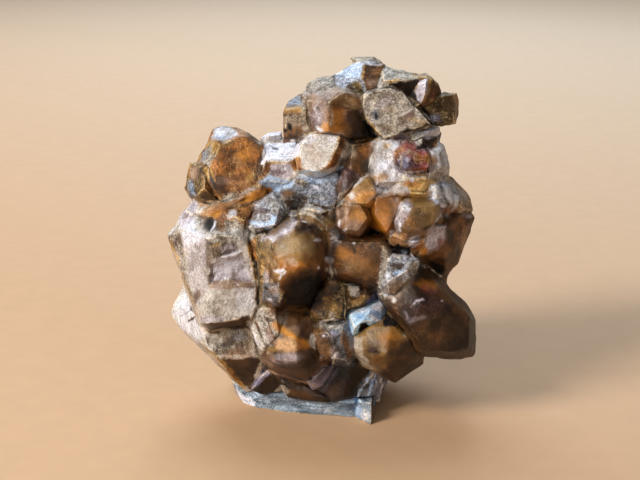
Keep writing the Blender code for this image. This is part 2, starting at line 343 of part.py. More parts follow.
# The sides and the back: the middle (across, up, out), breadth and length of each crystal there,
# in millimetres, in rows from the bottom to the crown. They point away from their heart.
BACK_CRYSTALS = [
    ((-5.4, 8.2, -5.2), 5.6, 8.6), ((-0.8, 8.0, -6.6), 6.4, 9.6), ((4.2, 8.4, -6.4), 5.8, 9.0),
    ((8.0, 8.8, -3.2), 5.6, 7.6),
    ((-8.8, 12.2, -4.4), 5.4, 8.0), ((-4.2, 12.0, -8.0), 6.6, 9.6), ((1.4, 12.4, -9.2), 6.8, 9.6),
    ((6.4, 12.2, -7.4), 6.6, 9.4), ((9.2, 11.2, -4.0), 5.4, 7.4),
    ((-9.8, 16.4, -4.2), 5.2, 8.4), ((-6.6, 16.8, -7.8), 6.2, 9.8), ((-1.4, 17.0, -10.0), 7.6, 9.8),
    ((4.4, 16.6, -9.8), 6.6, 9.8), ((8.4, 17.2, -6.8), 6.2, 9.0), ((11.0, 18.6, -3.4), 5.0, 7.0),
    ((-9.4, 21.0, -3.8), 4.8, 6.8), ((-6.0, 21.4, -7.0), 6.4, 9.4), ((-0.8, 21.6, -9.2), 6.8, 9.8),
    ((4.2, 21.6, -9.4), 7.0, 9.6), ((8.6, 21.8, -6.8), 6.2, 9.0), ((11.6, 21.4, -2.8), 4.8, 5.8),
    ((-8.2, 25.0, -4.0), 5.8, 8.4), ((-4.0, 25.0, -6.2), 5.8, 8.4), ((0.6, 25.4, -7.4), 6.2, 9.2),
    ((5.0, 25.8, -8.2), 6.0, 9.0), ((9.0, 25.4, -5.4), 5.4, 7.8),
    ((0.0, 29.4, -4.4), 5.0, 7.6), ((4.2, 29.6, -6.8), 5.6, 8.4), ((8.4, 29.8, -5.4), 5.4, 7.6),
    ((2.2, 32.0, -5.0), 4.6, 6.6), ((5.4, 32.2, -6.4), 4.8, 6.8), ((9.0, 31.6, -4.6), 4.6, 6.4),
]
# The middle of the cluster, where those crystals and the front ones start.
HEART_CRYSTALS = [
    ((0.2, 17.0, -6.2), 11.0, 20.0), ((-5.3, 15.8, -5.0), 8.6, 17.0), ((7.0, 15.6, -5.2), 8.6, 16.0),
    ((4.8, 29.3, -4.4), 6.4, 10.0),
]

# The feldspar foot in (x, y, z) millimetres: its front, and the spur at the front on the right.
FOOT_FRONT = [
    (4.2, -4.2, 0.0), (2.0, -3.5, 0.0), (-1.9, -3.0, 0.0), (-5.2, -2.0, 0.0), (-6.8, -0.7, 0.0),
    (-7.7, 2.0, 0.0), (-7.8, 6.0, 0.0), (-2.4, 8.8, 0.0), (5.6, 7.6, 0.0), (6.6, 1.0, 0.0),
    (5.4, -3.8, 0.0), (-7.9, 1.2, 1.6), (-6.6, -0.5, 1.5), (-4.8, -1.7, 1.4), (-1.9, -2.6, 1.5),
    (4.6, -4.4, 2.0), (5.9, -1.0, 2.6), (-8.4, 4.8, 2.4), (-6.0, 6.0, 4.2), (4.6, 5.0, 4.8),
    (4.6, 1.0, 4.4), (-4.6, 3.0, 4.4),
]
FOOT_SPUR = [
    (6.2, -6.0, 0.0), (4.7, -4.0, 0.0), (3.6, -1.0, 0.0), (6.8, -1.0, 0.0), (6.4, -5.4, 2.0),
    (5.3, -5.2, 2.2), (4.6, -1.0, 1.8), (6.6, -1.0, 1.8),
]
# Feldspar splits into blocks. Those of the foot's sides and back: middle in x and y, length,
# width and height in millimetres, and turn in degrees.
FOOT_BLOCKS = [
    (-5.2, 7.6, 5.2, 4.6, 3.6, 24), (-1.2, 9.4, 6.4, 4.2, 4.6, -8), (3.6, 8.8, 4.8, 4.4, 3.4, 14),
    (5.9, 4.2, 3.2, 6.4, 3.9, 4), (-6.2, 4.2, 2.8, 3.4, 2.8, 38), (6.2, 0.6, 2.2, 3.6, 2.7, -12),
    (1.2, 11.0, 4.4, 2.2, 2.2, 10), (-6.4, 7.6, 2.4, 3.0, 1.9, 15),
]
BLOCK_LEAN = math.radians(7)

# The loose feldspar grains, in the same words as the front crystals.
FELDSPAR_GRAINS = {
    "feldspar_grain_centre": (4.0, [
        (2.4, 10.7, 1.8), (2.7, 11.5, 1.8), (3.2, 11.7, 1.8), (5.0, 12.0, 2.0),
        (6.0, 12.4, 2.0), (6.4, 11.8, 2.2), (6.4, 10.0, 2.4), (5.2, 10.1, 3.0),
        (4.6, 9.5, 3.0), (3.3, 8.9, 3.0), (2.9, 9.7, 2.4)], [
        (3.0, 11.0, 3.8), (5.1, 11.7, 3.6), (6.1, 11.8, 3.2), (6.2, 10.4, 3.6),
        (4.2, 10.4, 4.6), (3.4, 9.6, 4.4)]),
    "feldspar_grain_crown": (4.0, [
        (8.5, 29.2, -0.6), (11.0, 29.7, -0.8), (12.0, 29.8, -1.4), (12.1, 29.2, -1.6),
        (11.6, 28.7, -1.4), (10.0, 28.3, -0.4), (9.2, 27.8, -0.2), (8.4, 28.5, -0.2)], [
        (9.0, 29.1, 0.5), (11.2, 29.4, 0.1), (9.4, 28.4, 0.8)]),
    "feldspar_grain_upper": (3.0, [
        (-5.9, 28.8, -2.8), (-5.4, 29.1, -3.0), (-4.7, 29.3, -3.2), (-3.8, 29.3, -3.2),
        (-3.7, 28.5, -2.6), (-5.2, 28.4, -2.2)], [
        (-5.2, 28.9, -1.7), (-4.0, 29.0, -1.8)]),
}

# Zircon's habit: a pyramid face leans this much from the long axis. Its faces grow unequally, and
# no two crystals grow quite the same way.
PYRAMID_LEAN = math.radians(48)
UNEVEN = 0.16
WANDER = 0.75
GROWTH_SEED = 7
SPLIT_SEED = 3
# The split corner of a foot block keeps this share of its half length, half width and height.
CORNER_SPLIT = (0.45, 0.45, 0.5)

MATERIALS = {
    "zircon": ((0.27, 0.135, 0.062, 1.0), 0.28),
    "feldspar": ((0.66, 0.69, 0.72, 1.0), 0.55),
}


GROUND = (np.array([0.0, 0.0, -1.0]), -GROUND_CLEARANCE)


def clear_scene():
    for item in list(bpy.data.objects):
        bpy.data.objects.remove(item)


def material(name):
    colour, roughness = MATERIALS[name]
    made = bpy.data.materials.get(name) or bpy.data.materials.new(name)
    made.use_nodes = True
    shader = made.node_tree.nodes["Principled BSDF"]
    shader.inputs["Base Color"].default_value = colour
    shader.inputs["Roughness"].default_value = roughness
    shader.inputs["Metallic"].default_value = 0.0
    return made


def on_sight_line(across, up, out):
    """The place, in millimetres, of a point that the eye sees at (across, up) on the plate."""
    on_plate = PLATE_AT + across * PLATE_RIGHT + up * PLATE_UP
    leaned = out + UPRIGHT * (up - SIGHT_HEIGHT)
    return on_plate + (EYE - on_plate) * (leaned / EYE_TO_PLATE)


def nearest_heart(place):
    return np.array(min(HEARTS, key=lambda heart: np.linalg.norm(np.array(heart) - place)))


def crystal_corners(depth, rim, front):
    """The corners of a front crystal: its front, its rim, and the rim again, narrower, on its way
    to the nearest heart."""
    rim = np.array(rim)
    middle = rim.mean(axis=0)
    inward = nearest_heart(middle) - middle
    inward /= np.linalg.norm(inward)
    rings = [
        middle + depth * share * inward + (rim - middle) * width for share, width in ROOT_RINGS
    ]
    return [on_sight_line(*corner) for corner in np.concatenate([front, rim, *rings])]


def hull_facets(corners):
    """The flat facets round some corners, as (normal, distance from the origin): the triangles of
    their hull, with those that lean alike made one plane through their middle."""
    shape = bmesh.new()
    for corner in corners:
        shape.verts.new(corner)
    bmesh.ops.convex_hull(shape, input=shape.verts)
    shape.faces.ensure_lookup_table()
    bmesh.ops.recalc_face_normals(shape, faces=shape.faces)
    faces = [
        (face.calc_area(), np.array(face.normal), np.array(face.calc_center_median()))
        for face in shape.faces
    ]
    shape.free()
    faces.sort(key=lambda face: -face[0])
    groups = []
    for area, normal, middle in faces:
        for group in groups:
            if np.dot(group["normal"], normal) > math.cos(SAME_FACET):
                break
        else:
            group = {"area": 0.0, "sum": np.zeros(3), "reach": 0.0, "normal": normal}
            groups.append(group)
        group["area"] += area
        group["sum"] += area * normal
        group["reach"] += area * middle
        group["normal"] = group["sum"] / np.linalg.norm(group["sum"])
    return [
        (group["normal"], float(np.dot(group["reach"] / group["area"], group["normal"])))
        for group in groups
    ]


def habit_facets(middle, breadth, length, growth):
    """The facets of a prism of four sides with a pyramid of four on each end, each at its own
    distance from the middle. The long axis points away from the nearest heart, more or less."""
    centre = on_sight_line(*middle)
    outward = centre - on_sight_line(*nearest_heart(middle))
    axis = outward / np.linalg.norm(outward) + growth.normal(0.0, WANDER, 3)
    axis /= np.linalg.norm(axis)
    side = np.cross(axis, growth.normal(0.0, 1.0, 3))
    side /= np.linalg.norm(side)
    other = np.cross(axis, side)
    facets = []
    for square in (side, other, -side, -other):
        reach = 0.5 * breadth * growth.uniform(1 - UNEVEN, 1 + UNEVEN)
        facets.append((square, reach + np.dot(centre, square)))
        for end in (-axis, axis):
            tilted = math.cos(PYRAMID_LEAN) * end + math.sin(PYRAMID_LEAN) * square
            reach = 0.5 * length * growth.uniform(1 - UNEVEN, 1 + UNEVEN) * math.cos(PYRAMID_LEAN)
            facets.append((tilted, reach + np.dot(centre, tilted)))
    return facets


def solid_of(name, facets, grow=0.0):
    """An object cut from a block by its facets, each moved out by grow millimetres."""
    shape = bmesh.new()
    bmesh.ops.create_cube(shape, size=BLANK_SIZE)
    for normal, distance in facets:
        geometry = [*shape.verts, *shape.edges, *shape.faces]
        cut = bmesh.ops.bisect_plane(
            shape,
            geom=geometry,
            dist=SAME_CORNER,
            plane_co=normal * (distance + grow),
            plane_no=normal,
            clear_outer=True,
        )
        rim = [edge for edge in cut["geom_cut"] if isinstance(edge, bmesh.types.BMEdge)]
        if rim:
            bmesh.ops.contextual_create(shape, geom=rim)
    bmesh.ops.scale(shape, verts=shape.verts, vec=(MM, MM, MM))
    bmesh.ops.recalc_face_normals(shape, faces=shape.faces)
    mesh = bpy.data.meshes.new(name)
    shape.to_mesh(mesh)
    shape.free()
    made = bpy.data.objects.new(name, mesh)
    bpy.context.scene.collection.objects.link(made)
    return made


def helper_group(name, members):
    """A collection of shapes that another object is joined with or cut by."""
    group = bpy.data.collections.new(name)
    bpy.context.scene.collection.children.link(group)
    for member in members:
        bpy.context.scene.collection.objects.unlink(member)
        group.objects.link(member)
        member.hide_render = True
        member.display_type = "WIRE"
    return group


def combine(made, operation, group):
    """Join a group of shapes to an object, or cut them from it."""
    step = made.modifiers.new(operation.lower(), "BOOLEAN")
    step.operation = operation
    step.operand_type = "COLLECTION"
    step.collection = group
    step.solver = "EXACT"
    step.use_self = False


def outer_skin(made):
    """Apply an object's joins and keep its largest shell, without the voids that they closed in."""
    graph = bpy.context.evaluated_depsgraph_get()
    mesh = bpy.data.meshes.new_from_object(made.evaluated_get(graph))
    shape = bmesh.new()
    shape.from_mesh(mesh)
    unseen = set(shape.verts)
    shells = []
    while unseen:
        shell = []
        waiting = [unseen.pop()]
        while waiting:
            corner = waiting.pop()
            shell.append(corner)
            for edge in corner.link_edges:
                neighbour = edge.other_vert(corner)
                if neighbour in unseen:
                    unseen.remove(neighbour)
                    waiting.append(neighbour)
        shells.append(shell)
    shells.sort(key=len)
    for shell in shells[:-1]:
        bmesh.ops.delete(shape, geom=shell, context="VERTS")
    shape.to_mesh(mesh)
    shape.free()
    made.modifiers.clear()
    made.data = mesh


def zircon_crystals(pockets):
    """All the zircon, grown together: one solid, with a pocket for the foot and each grain."""
    growth = np.random.default_rng(GROWTH_SEED)
    habits = [*HEART_CRYSTALS, *BACK_CRYSTALS]
    shapes = [habit_facets(*habit, growth) for habit in habits]
    shapes += [hull_facets(crystal_corners(*given)) for given in FRONT_CRYSTALS.values()]
    crystals = [solid_of("crystal", [*facets, GROUND]) for facets in shapes]
    grown = crystals.pop(0)
    grown.name = "zircon_crystals"
    grown.data.name = "zircon_crystals"
    combine(grown, "UNION", helper_group("grown_crystals", crystals))
    combine(grown, "DIFFERENCE", helper_group("pockets", pockets))
    outer_skin(grown)
    grown.data.materials.append(material("zircon"))


def block_facets(x, y, length, width, height, turn, splits):
    """The facets of a feldspar block that stands on the ground: four walls that lean a little, a
    top that slopes, and one corner split away."""
    angle = math.radians(turn)
    ahead = np.array([math.cos(angle), math.sin(angle), 0.0])
    beside = np.array([-math.sin(angle), math.cos(angle), 0.0])
    up = np.array([0.0, 0.0, 1.0])
    ground = np.array([x, y, 0.0])
    facets = [(-up, 0.0)]
    for wall, reach in ((ahead, length), (beside, width), (-ahead, length), (-beside, width)):
        lean = splits.uniform(-BLOCK_LEAN, BLOCK_LEAN)
        normal = math.cos(lean) * wall + math.sin(lean) * up
        facets.append((normal, np.dot(ground, wall) * math.cos(lean) + 0.5 * reach))
    slope = splits.uniform(-2 * BLOCK_LEAN, 2 * BLOCK_LEAN, 2)
    top = up + slope[0] * ahead + slope[1] * beside
    top /= np.linalg.norm(top)
    facets.append((top, np.dot(ground + height * up, top)))
    corner = splits.choice((-1, 1)) * ahead + splits.choice((-1, 1)) * beside + up
    corner /= np.linalg.norm(corner)
    reach = np.dot((0.5 * length, 0.5 * width, height), CORNER_SPLIT)
    facets.append((corner, np.dot(ground, corner) + reach))
    return facets


def feldspar(name, facets):
    """A piece of feldspar, joined from bodies given by their facets, and its pockets."""
    bodies = [solid_of(name, planes) for planes in facets]
    pockets = [solid_of(name + "_pocket", planes, POCKET_GAP) for planes in facets]
    piece = bodies.pop(0)
    if bodies:
        combine(piece, "UNION", helper_group(name + "_blocks", bodies))
    piece.data.materials.append(material("feldspar"))
    return pockets


def cluster():
    clear_scene()
    splits = np.random.default_rng(SPLIT_SEED)
    foot = [hull_facets(corners) for corners in (FOOT_FRONT, FOOT_SPUR)]
    foot += [block_facets(*block, splits) for block in FOOT_BLOCKS]
    pockets = feldspar("feldspar_foot", foot)
    for name, corners in FELDSPAR_GRAINS.items():
        pockets += feldspar(name, [hull_facets(crystal_corners(*corners))])
    zircon_crystals(pockets)


cluster()
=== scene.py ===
# %% [markdown]
# # A zircon crystal cluster
# Zircon grows as square prisms with a pyramid on each end. In this piece about a hundred of them
# grew through each other, on a foot of pale feldspar. A CAD model gives the plain solids. This
# lesson dresses them: worn edges, filled seams, frost, dust, and brown stone that light gets into.
# Lengths are in millimetres until a mesh is made, because a crystal this small is easier to think
# of that way.

# %% Load the frame
import math

import bmesh
import bpy
import numpy as np
from mathutils import Matrix, Vector
from mathutils.geometry import delaunay_2d_cdt


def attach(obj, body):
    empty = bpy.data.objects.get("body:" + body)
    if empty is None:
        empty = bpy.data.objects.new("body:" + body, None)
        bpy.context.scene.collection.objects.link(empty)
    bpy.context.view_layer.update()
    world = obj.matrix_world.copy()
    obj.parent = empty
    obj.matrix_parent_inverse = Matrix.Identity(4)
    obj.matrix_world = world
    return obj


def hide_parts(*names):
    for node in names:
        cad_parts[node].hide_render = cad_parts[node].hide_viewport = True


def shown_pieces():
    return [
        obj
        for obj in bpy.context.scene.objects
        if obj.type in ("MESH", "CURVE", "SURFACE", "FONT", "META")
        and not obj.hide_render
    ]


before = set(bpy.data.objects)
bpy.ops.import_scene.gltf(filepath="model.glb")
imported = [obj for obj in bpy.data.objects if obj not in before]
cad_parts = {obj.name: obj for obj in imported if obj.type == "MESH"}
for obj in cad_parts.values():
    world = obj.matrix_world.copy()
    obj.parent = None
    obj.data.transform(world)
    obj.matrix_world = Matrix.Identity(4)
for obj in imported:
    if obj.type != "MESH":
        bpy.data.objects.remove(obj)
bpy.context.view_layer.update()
MM = 0.001

# %% [markdown]
# ## The line of sight
# The front crystals are described on an upright plate through the cluster, as (across, up, out)
# millimetres. A corner lies on the line from the eye through (across, up) on the plate, and out
# brings it nearer to the eye. The numbers are the CAD model's own, so every crystal lands on its
# solid.

# %% The plate and the eye
SIGHT_PITCH = math.radians(16.8)
EYE_TO_PLATE = 124.0
SIGHT_HEIGHT = 18.5
PLATE_AT = np.array([1.2, -6.0, 0.0])
PLATE_RIGHT = np.array([1.0, 0.0, 0.0])
PLATE_UP = np.array([0.0, math.sin(SIGHT_PITCH), math.cos(SIGHT_PITCH)])
PLATE_OUT = np.array([0.0, -math.cos(SIGHT_PITCH), math.sin(SIGHT_PITCH)])
EYE = PLATE_AT + SIGHT_HEIGHT * PLATE_UP + EYE_TO_PLATE * PLATE_OUT
# A point leans out this much more for each millimetre that it is above the line of sight.
UPRIGHT = 0.17


def on_sight_line(across, up, out):
    """The place of a point that the eye sees at (across, up): from the plate towards the eye, by
    the share of the way that out and the lean give."""
    on_plate = PLATE_AT + across * PLATE_RIGHT + up * PLATE_UP
    leaned = out + UPRIGHT * (up - SIGHT_HEIGHT)
    return on_plate + (EYE - on_plate) * (leaned / EYE_TO_PLATE)


def on_the_plate(points):
    """(across, up) at which the eye sees each point: the ray from the eye, carried to the plate."""
    ray = points - EYE
    ray = ray * (-EYE_TO_PLATE / (ray @ PLATE_OUT))[:, None]
    hit = EYE + ray - PLATE_AT
    return np.stack([hit @ PLATE_RIGHT, hit @ PLATE_UP], axis=1)


# %% [markdown]
# ## The crystals
# Each front crystal has a depth, the corners of its rim, where it meets its neighbours, and the
# corners of its front. It narrows to a root on the way to the nearest heart, where it started to
# grow. The crystals of the sides and the back are plain zircon: a prism and two pyramids, given by
# a middle, a breadth and a length.

# %% Corners of the front crystals
HEARTS = (
    (0.0, 16.0, -7.0), (6.5, 31.5, -5.0), (8.5, 14.0, -5.0), (2.5, 23.0, -6.0), (-6.0, 20.0, -6.0),
)
ROOT_RINGS = ((0.6, 0.88), (1.0, 0.5))

FRONT_CRYSTALS = {
    # The crown: the lobe at the top right.
    "crown_stub": (6.0, [
        (-3.7, 28.2, -0.4), (-3.7, 31.3, -0.4), (-3.3, 32.3, -1.2), (-2.3, 33.0, -1.8),
        (-1.4, 32.0, -0.8), (-1.0, 28.2, -0.2)], [
        (-3.5, 31.5, 0.3), (-1.5, 31.7, 0.5), (-3.4, 28.3, 0.4), (-1.2, 28.3, 0.7)]),
    "crown_front": (9.0, [
        (-1.7, 30.8, -0.3), (-1.9, 33.0, -0.6), (-1.3, 34.2, -1.6), (-0.2, 34.8, -2.2),
        (1.4, 35.0, -2.6), (2.8, 33.8, -1.0), (4.1, 32.5, 0.0), (4.4, 30.5, 0.2),
        (4.5, 28.6, 0.3), (-1.5, 29.0, 0.0)], [
        (-0.9, 32.5, 0.8), (0.8, 32.3, 1.9), (2.2, 33.3, 1.2), (3.4, 32.6, 0.9),
        (3.9, 31.4, 0.8), (0.9, 29.3, 2.4), (-0.4, 29.3, 1.8), (3.2, 28.8, 1.7)]),
    "crown_back": (7.0, [
        (1.5, 34.9, -3.4), (3.0, 35.9, -4.2), (3.8, 36.3, -4.6), (4.9, 36.3, -4.8),
        (6.4, 35.9, -3.6), (6.6, 34.0, -2.6), (4.8, 32.8, -1.4), (3.2, 33.2, -1.4),
        (2.2, 33.8, -1.8)], [
        (4.2, 36.1, -2.6), (4.1, 34.4, -1.4), (6.2, 35.8, -2.5), (5.8, 33.7, -1.2)]),
    "crown_flake": (3.0, [
        (3.0, 36.7, -6.0), (4.0, 36.9, -6.2), (5.6, 36.8, -6.2), (6.3, 36.2, -6.0),
        (5.0, 35.6, -5.4), (3.2, 36.0, -5.6)], [
        (4.6, 36.3, -4.9)]),
    "crown_block": (7.0, [
        (6.4, 35.8, -3.0), (8.8, 35.3, -3.2), (10.8, 35.0, -3.0), (12.1, 33.5, -2.6),
        (11.6, 30.7, -2.8), (8.5, 31.0, -2.6), (5.7, 33.2, -1.6)], [
        (6.2, 34.4, -0.4), (8.2, 34.5, -0.2), (10.7, 34.7, -0.9), (5.9, 33.5, -0.5)]),
    "crown_prism": (5.0, [
        (10.7, 34.7, -1.6), (9.8, 34.2, -0.9), (9.6, 33.1, -0.6), (9.8, 32.3, -0.6),
        (10.0, 31.8, -0.5), (11.4, 32.3, -1.2), (12.1, 33.4, -1.8), (11.4, 34.3, -1.9)], [
        (10.6, 34.3, 0.1), (10.5, 32.9, 0.5), (10.1, 32.1, 0.2)]),
    "crown_tab": (5.0, [
        (11.0, 31.2, -1.4), (11.6, 29.8, -1.4), (13.5, 30.1, -2.2), (13.9, 31.1, -3.6),
        (13.9, 32.5, -3.6), (13.6, 33.2, -2.4), (12.0, 33.0, -1.8)], [
        (11.9, 32.8, -1.1), (13.4, 33.0, -1.5), (13.4, 30.3, -1.3), (11.8, 30.0, -1.0),
        (11.2, 31.2, -1.0)]),
    "crown_plate": (7.0, [
        (4.1, 31.7, -0.2), (4.3, 33.1, -0.5), (5.0, 33.6, -0.7), (7.0, 33.8, -0.9),
        (8.4, 33.2, -0.9), (11.4, 29.9, -0.6), (10.2, 29.2, -0.2), (6.3, 28.2, 0.3),
        (5.4, 29.2, 0.4), (4.3, 30.6, 0.1)], [
        (4.5, 32.9, 0.5), (5.2, 33.4, 0.4), (7.0, 33.6, 0.3), (8.2, 33.1, 0.4),
        (11.0, 30.0, 1.0), (8.2, 29.3, 1.5), (6.4, 28.6, 1.6), (5.7, 29.6, 1.4),
        (4.6, 30.8, 1.0), (4.3, 31.7, 0.8)]),
    "crown_under": (6.0, [
        (9.2, 28.0, -1.2), (10.2, 29.3, -1.4), (12.1, 29.2, -2.2), (11.9, 28.2, -2.2),
        (11.5, 27.4, -1.6), (9.6, 27.2, -1.0)], [
        (10.2, 28.6, -0.4), (11.5, 28.5, -0.9), (11.2, 27.7, -0.8)]),
    # The upper left: the orange knob, the tab beside it and the ledge below.
    "left_knob": (8.0, [
        (-11.9, 26.4, -2.6), (-11.3, 28.1, -3.0), (-10.6, 29.5, -3.4), (-9.8, 29.9, -3.6),
        (-8.0, 29.6, -3.0), (-7.3, 29.3, -1.6), (-6.0, 28.4, -1.0), (-5.5, 27.4, -0.8),
        (-5.6, 25.5, -0.6), (-6.1, 23.8, -0.4), (-9.8, 22.5, -0.4), (-11.2, 24.5, -1.0)], [
        (-10.9, 26.2, 0.8), (-10.3, 27.5, 0.8), (-9.7, 28.1, 0.7), (-8.4, 28.6, 0.5),
        (-7.5, 28.9, 0.2), (-6.3, 28.1, 0.2), (-5.8, 27.2, 0.3), (-6.2, 24.1, 1.0),
        (-8.2, 23.4, 1.4), (-9.8, 22.8, 1.4), (-10.8, 24.4, 1.2)]),
    "left_tab": (5.0, [
        (-12.9, 26.3, -2.2), (-13.4, 24.6, -2.0), (-13.5, 23.5, -1.8), (-13.1, 22.8, -1.4),
        (-12.2, 22.2, -0.6), (-10.7, 22.2, -0.2), (-10.1, 23.1, -0.2), (-11.0, 26.0, -1.2)], [
        (-12.0, 25.8, -0.6), (-12.3, 23.0, 0.4), (-11.6, 23.7, 0.9), (-10.6, 22.6, 0.7),
        (-11.4, 25.6, -0.1)]),
    "ledge": (5.0, [
        (-12.4, 21.1, 0.0), (-11.5, 22.1, -0.4), (-9.8, 22.7, -0.6), (-8.0, 23.3, -0.8),
        (-5.8, 23.9, -1.2), (-4.8, 23.8, -1.4), (-5.7, 22.6, 0.0), (-7.5, 21.6, 1.0),
        (-9.0, 21.0, 1.4), (-11.5, 20.4, 1.2)], [
        (-9.9, 22.0, 1.6), (-7.8, 22.6, 1.2), (-6.0, 23.3, 0.6), (-11.4, 21.2, 1.2)]),
    "under_ledge": (6.0, [
        (-11.7, 20.7, 0.5), (-9.0, 21.8, 0.5), (-7.2, 22.0, 0.5), (-6.4, 22.2, 0.5),
        (-7.0, 20.7, 1.0), (-7.6, 19.5, 1.2), (-8.4, 18.6, 1.4), (-10.0, 18.3, 1.4),
        (-11.4, 18.7, 1.2), (-12.1, 19.7, 0.8)], [
        (-9.4, 21.0, 2.4), (-8.0, 20.5, 2.6), (-8.4, 18.9, 2.6), (-10.8, 19.2, 2.2)]),
    "left_collar": (6.0, [
        (-13.5, 20.5, -1.4), (-13.0, 21.6, -1.6), (-12.6, 22.2, -1.4), (-11.9, 22.0, -0.8),
        (-11.6, 21.0, 0.0), (-12.4, 20.0, 0.4), (-13.3, 19.8, 0.0)], [
        (-13.2, 21.2, -0.2), (-12.4, 20.8, 0.8)]),
    # The left side: the long pale prism and the wedge under it.
    "left_prism": (9.0, [
        (-15.2, 18.8, -0.5), (-14.8, 19.4, -0.6), (-13.8, 20.4, -0.4), (-12.6, 21.4, 0.2),
        (-9.5, 20.2, 1.5), (-7.3, 18.7, 1.8), (-6.6, 16.4, 2.0), (-6.1, 13.4, 2.0),
        (-6.2, 12.2, 1.8), (-7.1, 9.9, 1.4), (-10.9, 9.3, 1.2), (-12.2, 10.2, 0.8),
        (-13.0, 13.0, 0.0), (-14.2, 15.9, -0.5)], [
        (-13.8, 19.5, 2.2), (-11.5, 18.7, 4.4), (-10.6, 18.7, 4.6), (-8.2, 18.4, 4.2),
        (-7.2, 17.8, 3.6), (-6.7, 15.0, 4.0), (-6.4, 12.6, 4.0), (-7.2, 10.9, 4.2),
        (-10.8, 10.1, 4.8), (-11.6, 10.2, 4.4), (-12.3, 12.0, 3.2)]),
    "left_wedge": (9.0, [
        (-13.2, 13.3, -3.0), (-14.0, 12.5, -3.2), (-14.6, 11.3, -3.0), (-14.4, 10.2, -2.6),
        (-13.5, 9.1, -2.0), (-11.5, 7.2, -1.0), (-8.6, 4.6, -1.4), (-7.6, 3.5, -1.6),
        (-6.9, 3.7, -1.2), (-5.7, 5.8, -0.2), (-6.0, 7.0, 0.2), (-7.2, 9.8, 0.0)], [
        (-12.0, 10.0, 0.6), (-11.3, 7.8, 1.6), (-10.4, 6.8, 1.8), (-6.1, 6.6, 2.0),
        (-7.3, 9.4, 1.2), (-10.6, 9.4, 1.0)]),
    "left_toe": (6.0, [
        (-5.7, 6.0, -0.5), (-6.9, 3.5, -0.8), (-5.6, 3.0, -0.8), (-3.2, 3.0, -1.0),
        (-2.8, 3.6, -0.8), (-3.4, 5.2, 0.0)], [
        (-5.3, 5.5, 0.8), (-6.3, 4.1, 0.2), (-4.2, 4.5, 0.6)]),
    # The middle: the big honey crystal that stands out furthest, and what leans on it.
    "middle": (10.0, [
        (-5.7, 18.4, 3.0), (-4.5, 19.8, 2.6), (-3.0, 20.9, 2.2), (-1.8, 21.3, 2.0),
        (-0.5, 21.0, 2.0), (0.6, 20.1, 2.2), (0.9, 18.9, 2.6), (0.8, 16.3, 3.0),
        (0.1, 13.5, 2.4), (-0.7, 11.7, 1.8), (-4.2, 11.7, 1.8), (-5.5, 14.0, 2.5)], [
        (-4.6, 18.2, 5.6), (-2.6, 19.2, 5.6), (-0.4, 18.8, 5.4), (-3.9, 15.2, 7.4),
        (-2.6, 15.7, 8.0), (-0.6, 15.9, 7.2), (-3.6, 12.2, 4.6), (-1.4, 12.2, 4.4)]),
    "middle_flank": (7.0, [
        (-7.2, 18.8, 2.5), (-5.8, 19.3, 2.5), (-4.5, 18.0, 3.5), (-3.5, 15.0, 4.0),
        (-4.1, 12.0, 3.0), (-5.8, 11.9, 2.5), (-6.2, 13.5, 2.5), (-6.7, 17.0, 2.5)], [
        (-5.8, 17.4, 4.6), (-5.6, 12.8, 4.6), (-3.8, 15.0, 5.8), (-4.3, 12.6, 5.0),
        (-4.8, 17.6, 5.2)]),
    "bottom_fluted": (7.0, [
        (-6.2, 12.0, 2.0), (-4.3, 11.7, 2.0), (-4.0, 10.3, 2.4), (-3.5, 9.0, 2.6),
        (-5.8, 7.3, 2.2), (-6.4, 8.0, 2.0), (-7.2, 9.5, 1.6), (-7.0, 10.7, 1.8)], [
        (-6.0, 11.4, 3.6), (-4.6, 11.2, 4.0), (-6.6, 9.6, 3.4), (-5.6, 8.0, 4.2),
        (-4.4, 9.2, 4.6)]),
    "bottom_middle": (9.0, [
        (-6.3, 8.0, 2.2), (-4.5, 10.3, 2.6), (-1.7, 9.9, 2.6), (-0.8, 9.5, 2.6),
        (0.4, 7.6, 2.6), (1.3, 6.3, 2.2), (0.6, 4.9, 1.8), (-0.2, 3.8, 1.2),
        (-1.6, 3.8, 1.2), (-3.5, 4.5, 1.4), (-5.2, 5.5, 1.6), (-6.0, 6.7, 2.0)], [
        (-5.0, 7.0, 4.8), (-4.2, 6.4, 5.6), (-2.3, 6.3, 6.2), (-2.4, 8.4, 6.0),
        (-4.2, 8.4, 5.2), (-0.3, 6.2, 4.8), (-1.4, 9.0, 4.6), (0.0, 4.4, 3.0)]),
    "bottom_tooth": (7.0, [
        (-0.8, 9.4, 2.2), (0.3, 9.8, 2.2), (1.1, 8.8, 2.4), (1.7, 7.0, 2.4),
        (1.2, 6.2, 2.4), (-0.2, 6.5, 2.4)], [
        (-0.4, 9.0, 3.8), (0.7, 8.9, 4.2), (1.2, 7.1, 4.2), (0.3, 6.8, 4.4)]),
    "bottom_grey": (7.0, [
        (0.4, 10.4, 2.2), (2.3, 10.6, 2.0), (3.2, 8.0, 2.2), (2.7, 6.3, 2.4),
        (1.4, 6.2, 2.4), (0.9, 8.8, 2.4)], [
        (0.9, 9.7, 3.6), (2.2, 9.7, 3.6), (2.8, 8.0, 3.4), (2.4, 6.8, 3.8),
        (1.6, 6.8, 4.2), (1.4, 8.6, 4.2)]),
    "bottom_dark": (7.0, [
        (1.3, 6.2, 0.8), (3.2, 6.6, 0.6), (3.8, 5.9, 0.4), (5.5, 5.3, 0.2),
        (5.0, 4.0, 0.2), (3.8, 2.6, 0.4), (2.5, 2.7, 0.8), (1.3, 2.5, 1.0),
        (-0.2, 3.7, 1.0), (0.2, 4.7, 1.0)], [
        (0.2, 4.2, 2.2), (1.2, 5.8, 2.4), (3.4, 5.6, 2.2), (2.5, 3.2, 2.6),
        (1.4, 3.0, 2.8), (3.9, 3.4, 1.8)]),
    "bottom_lilac": (4.0, [
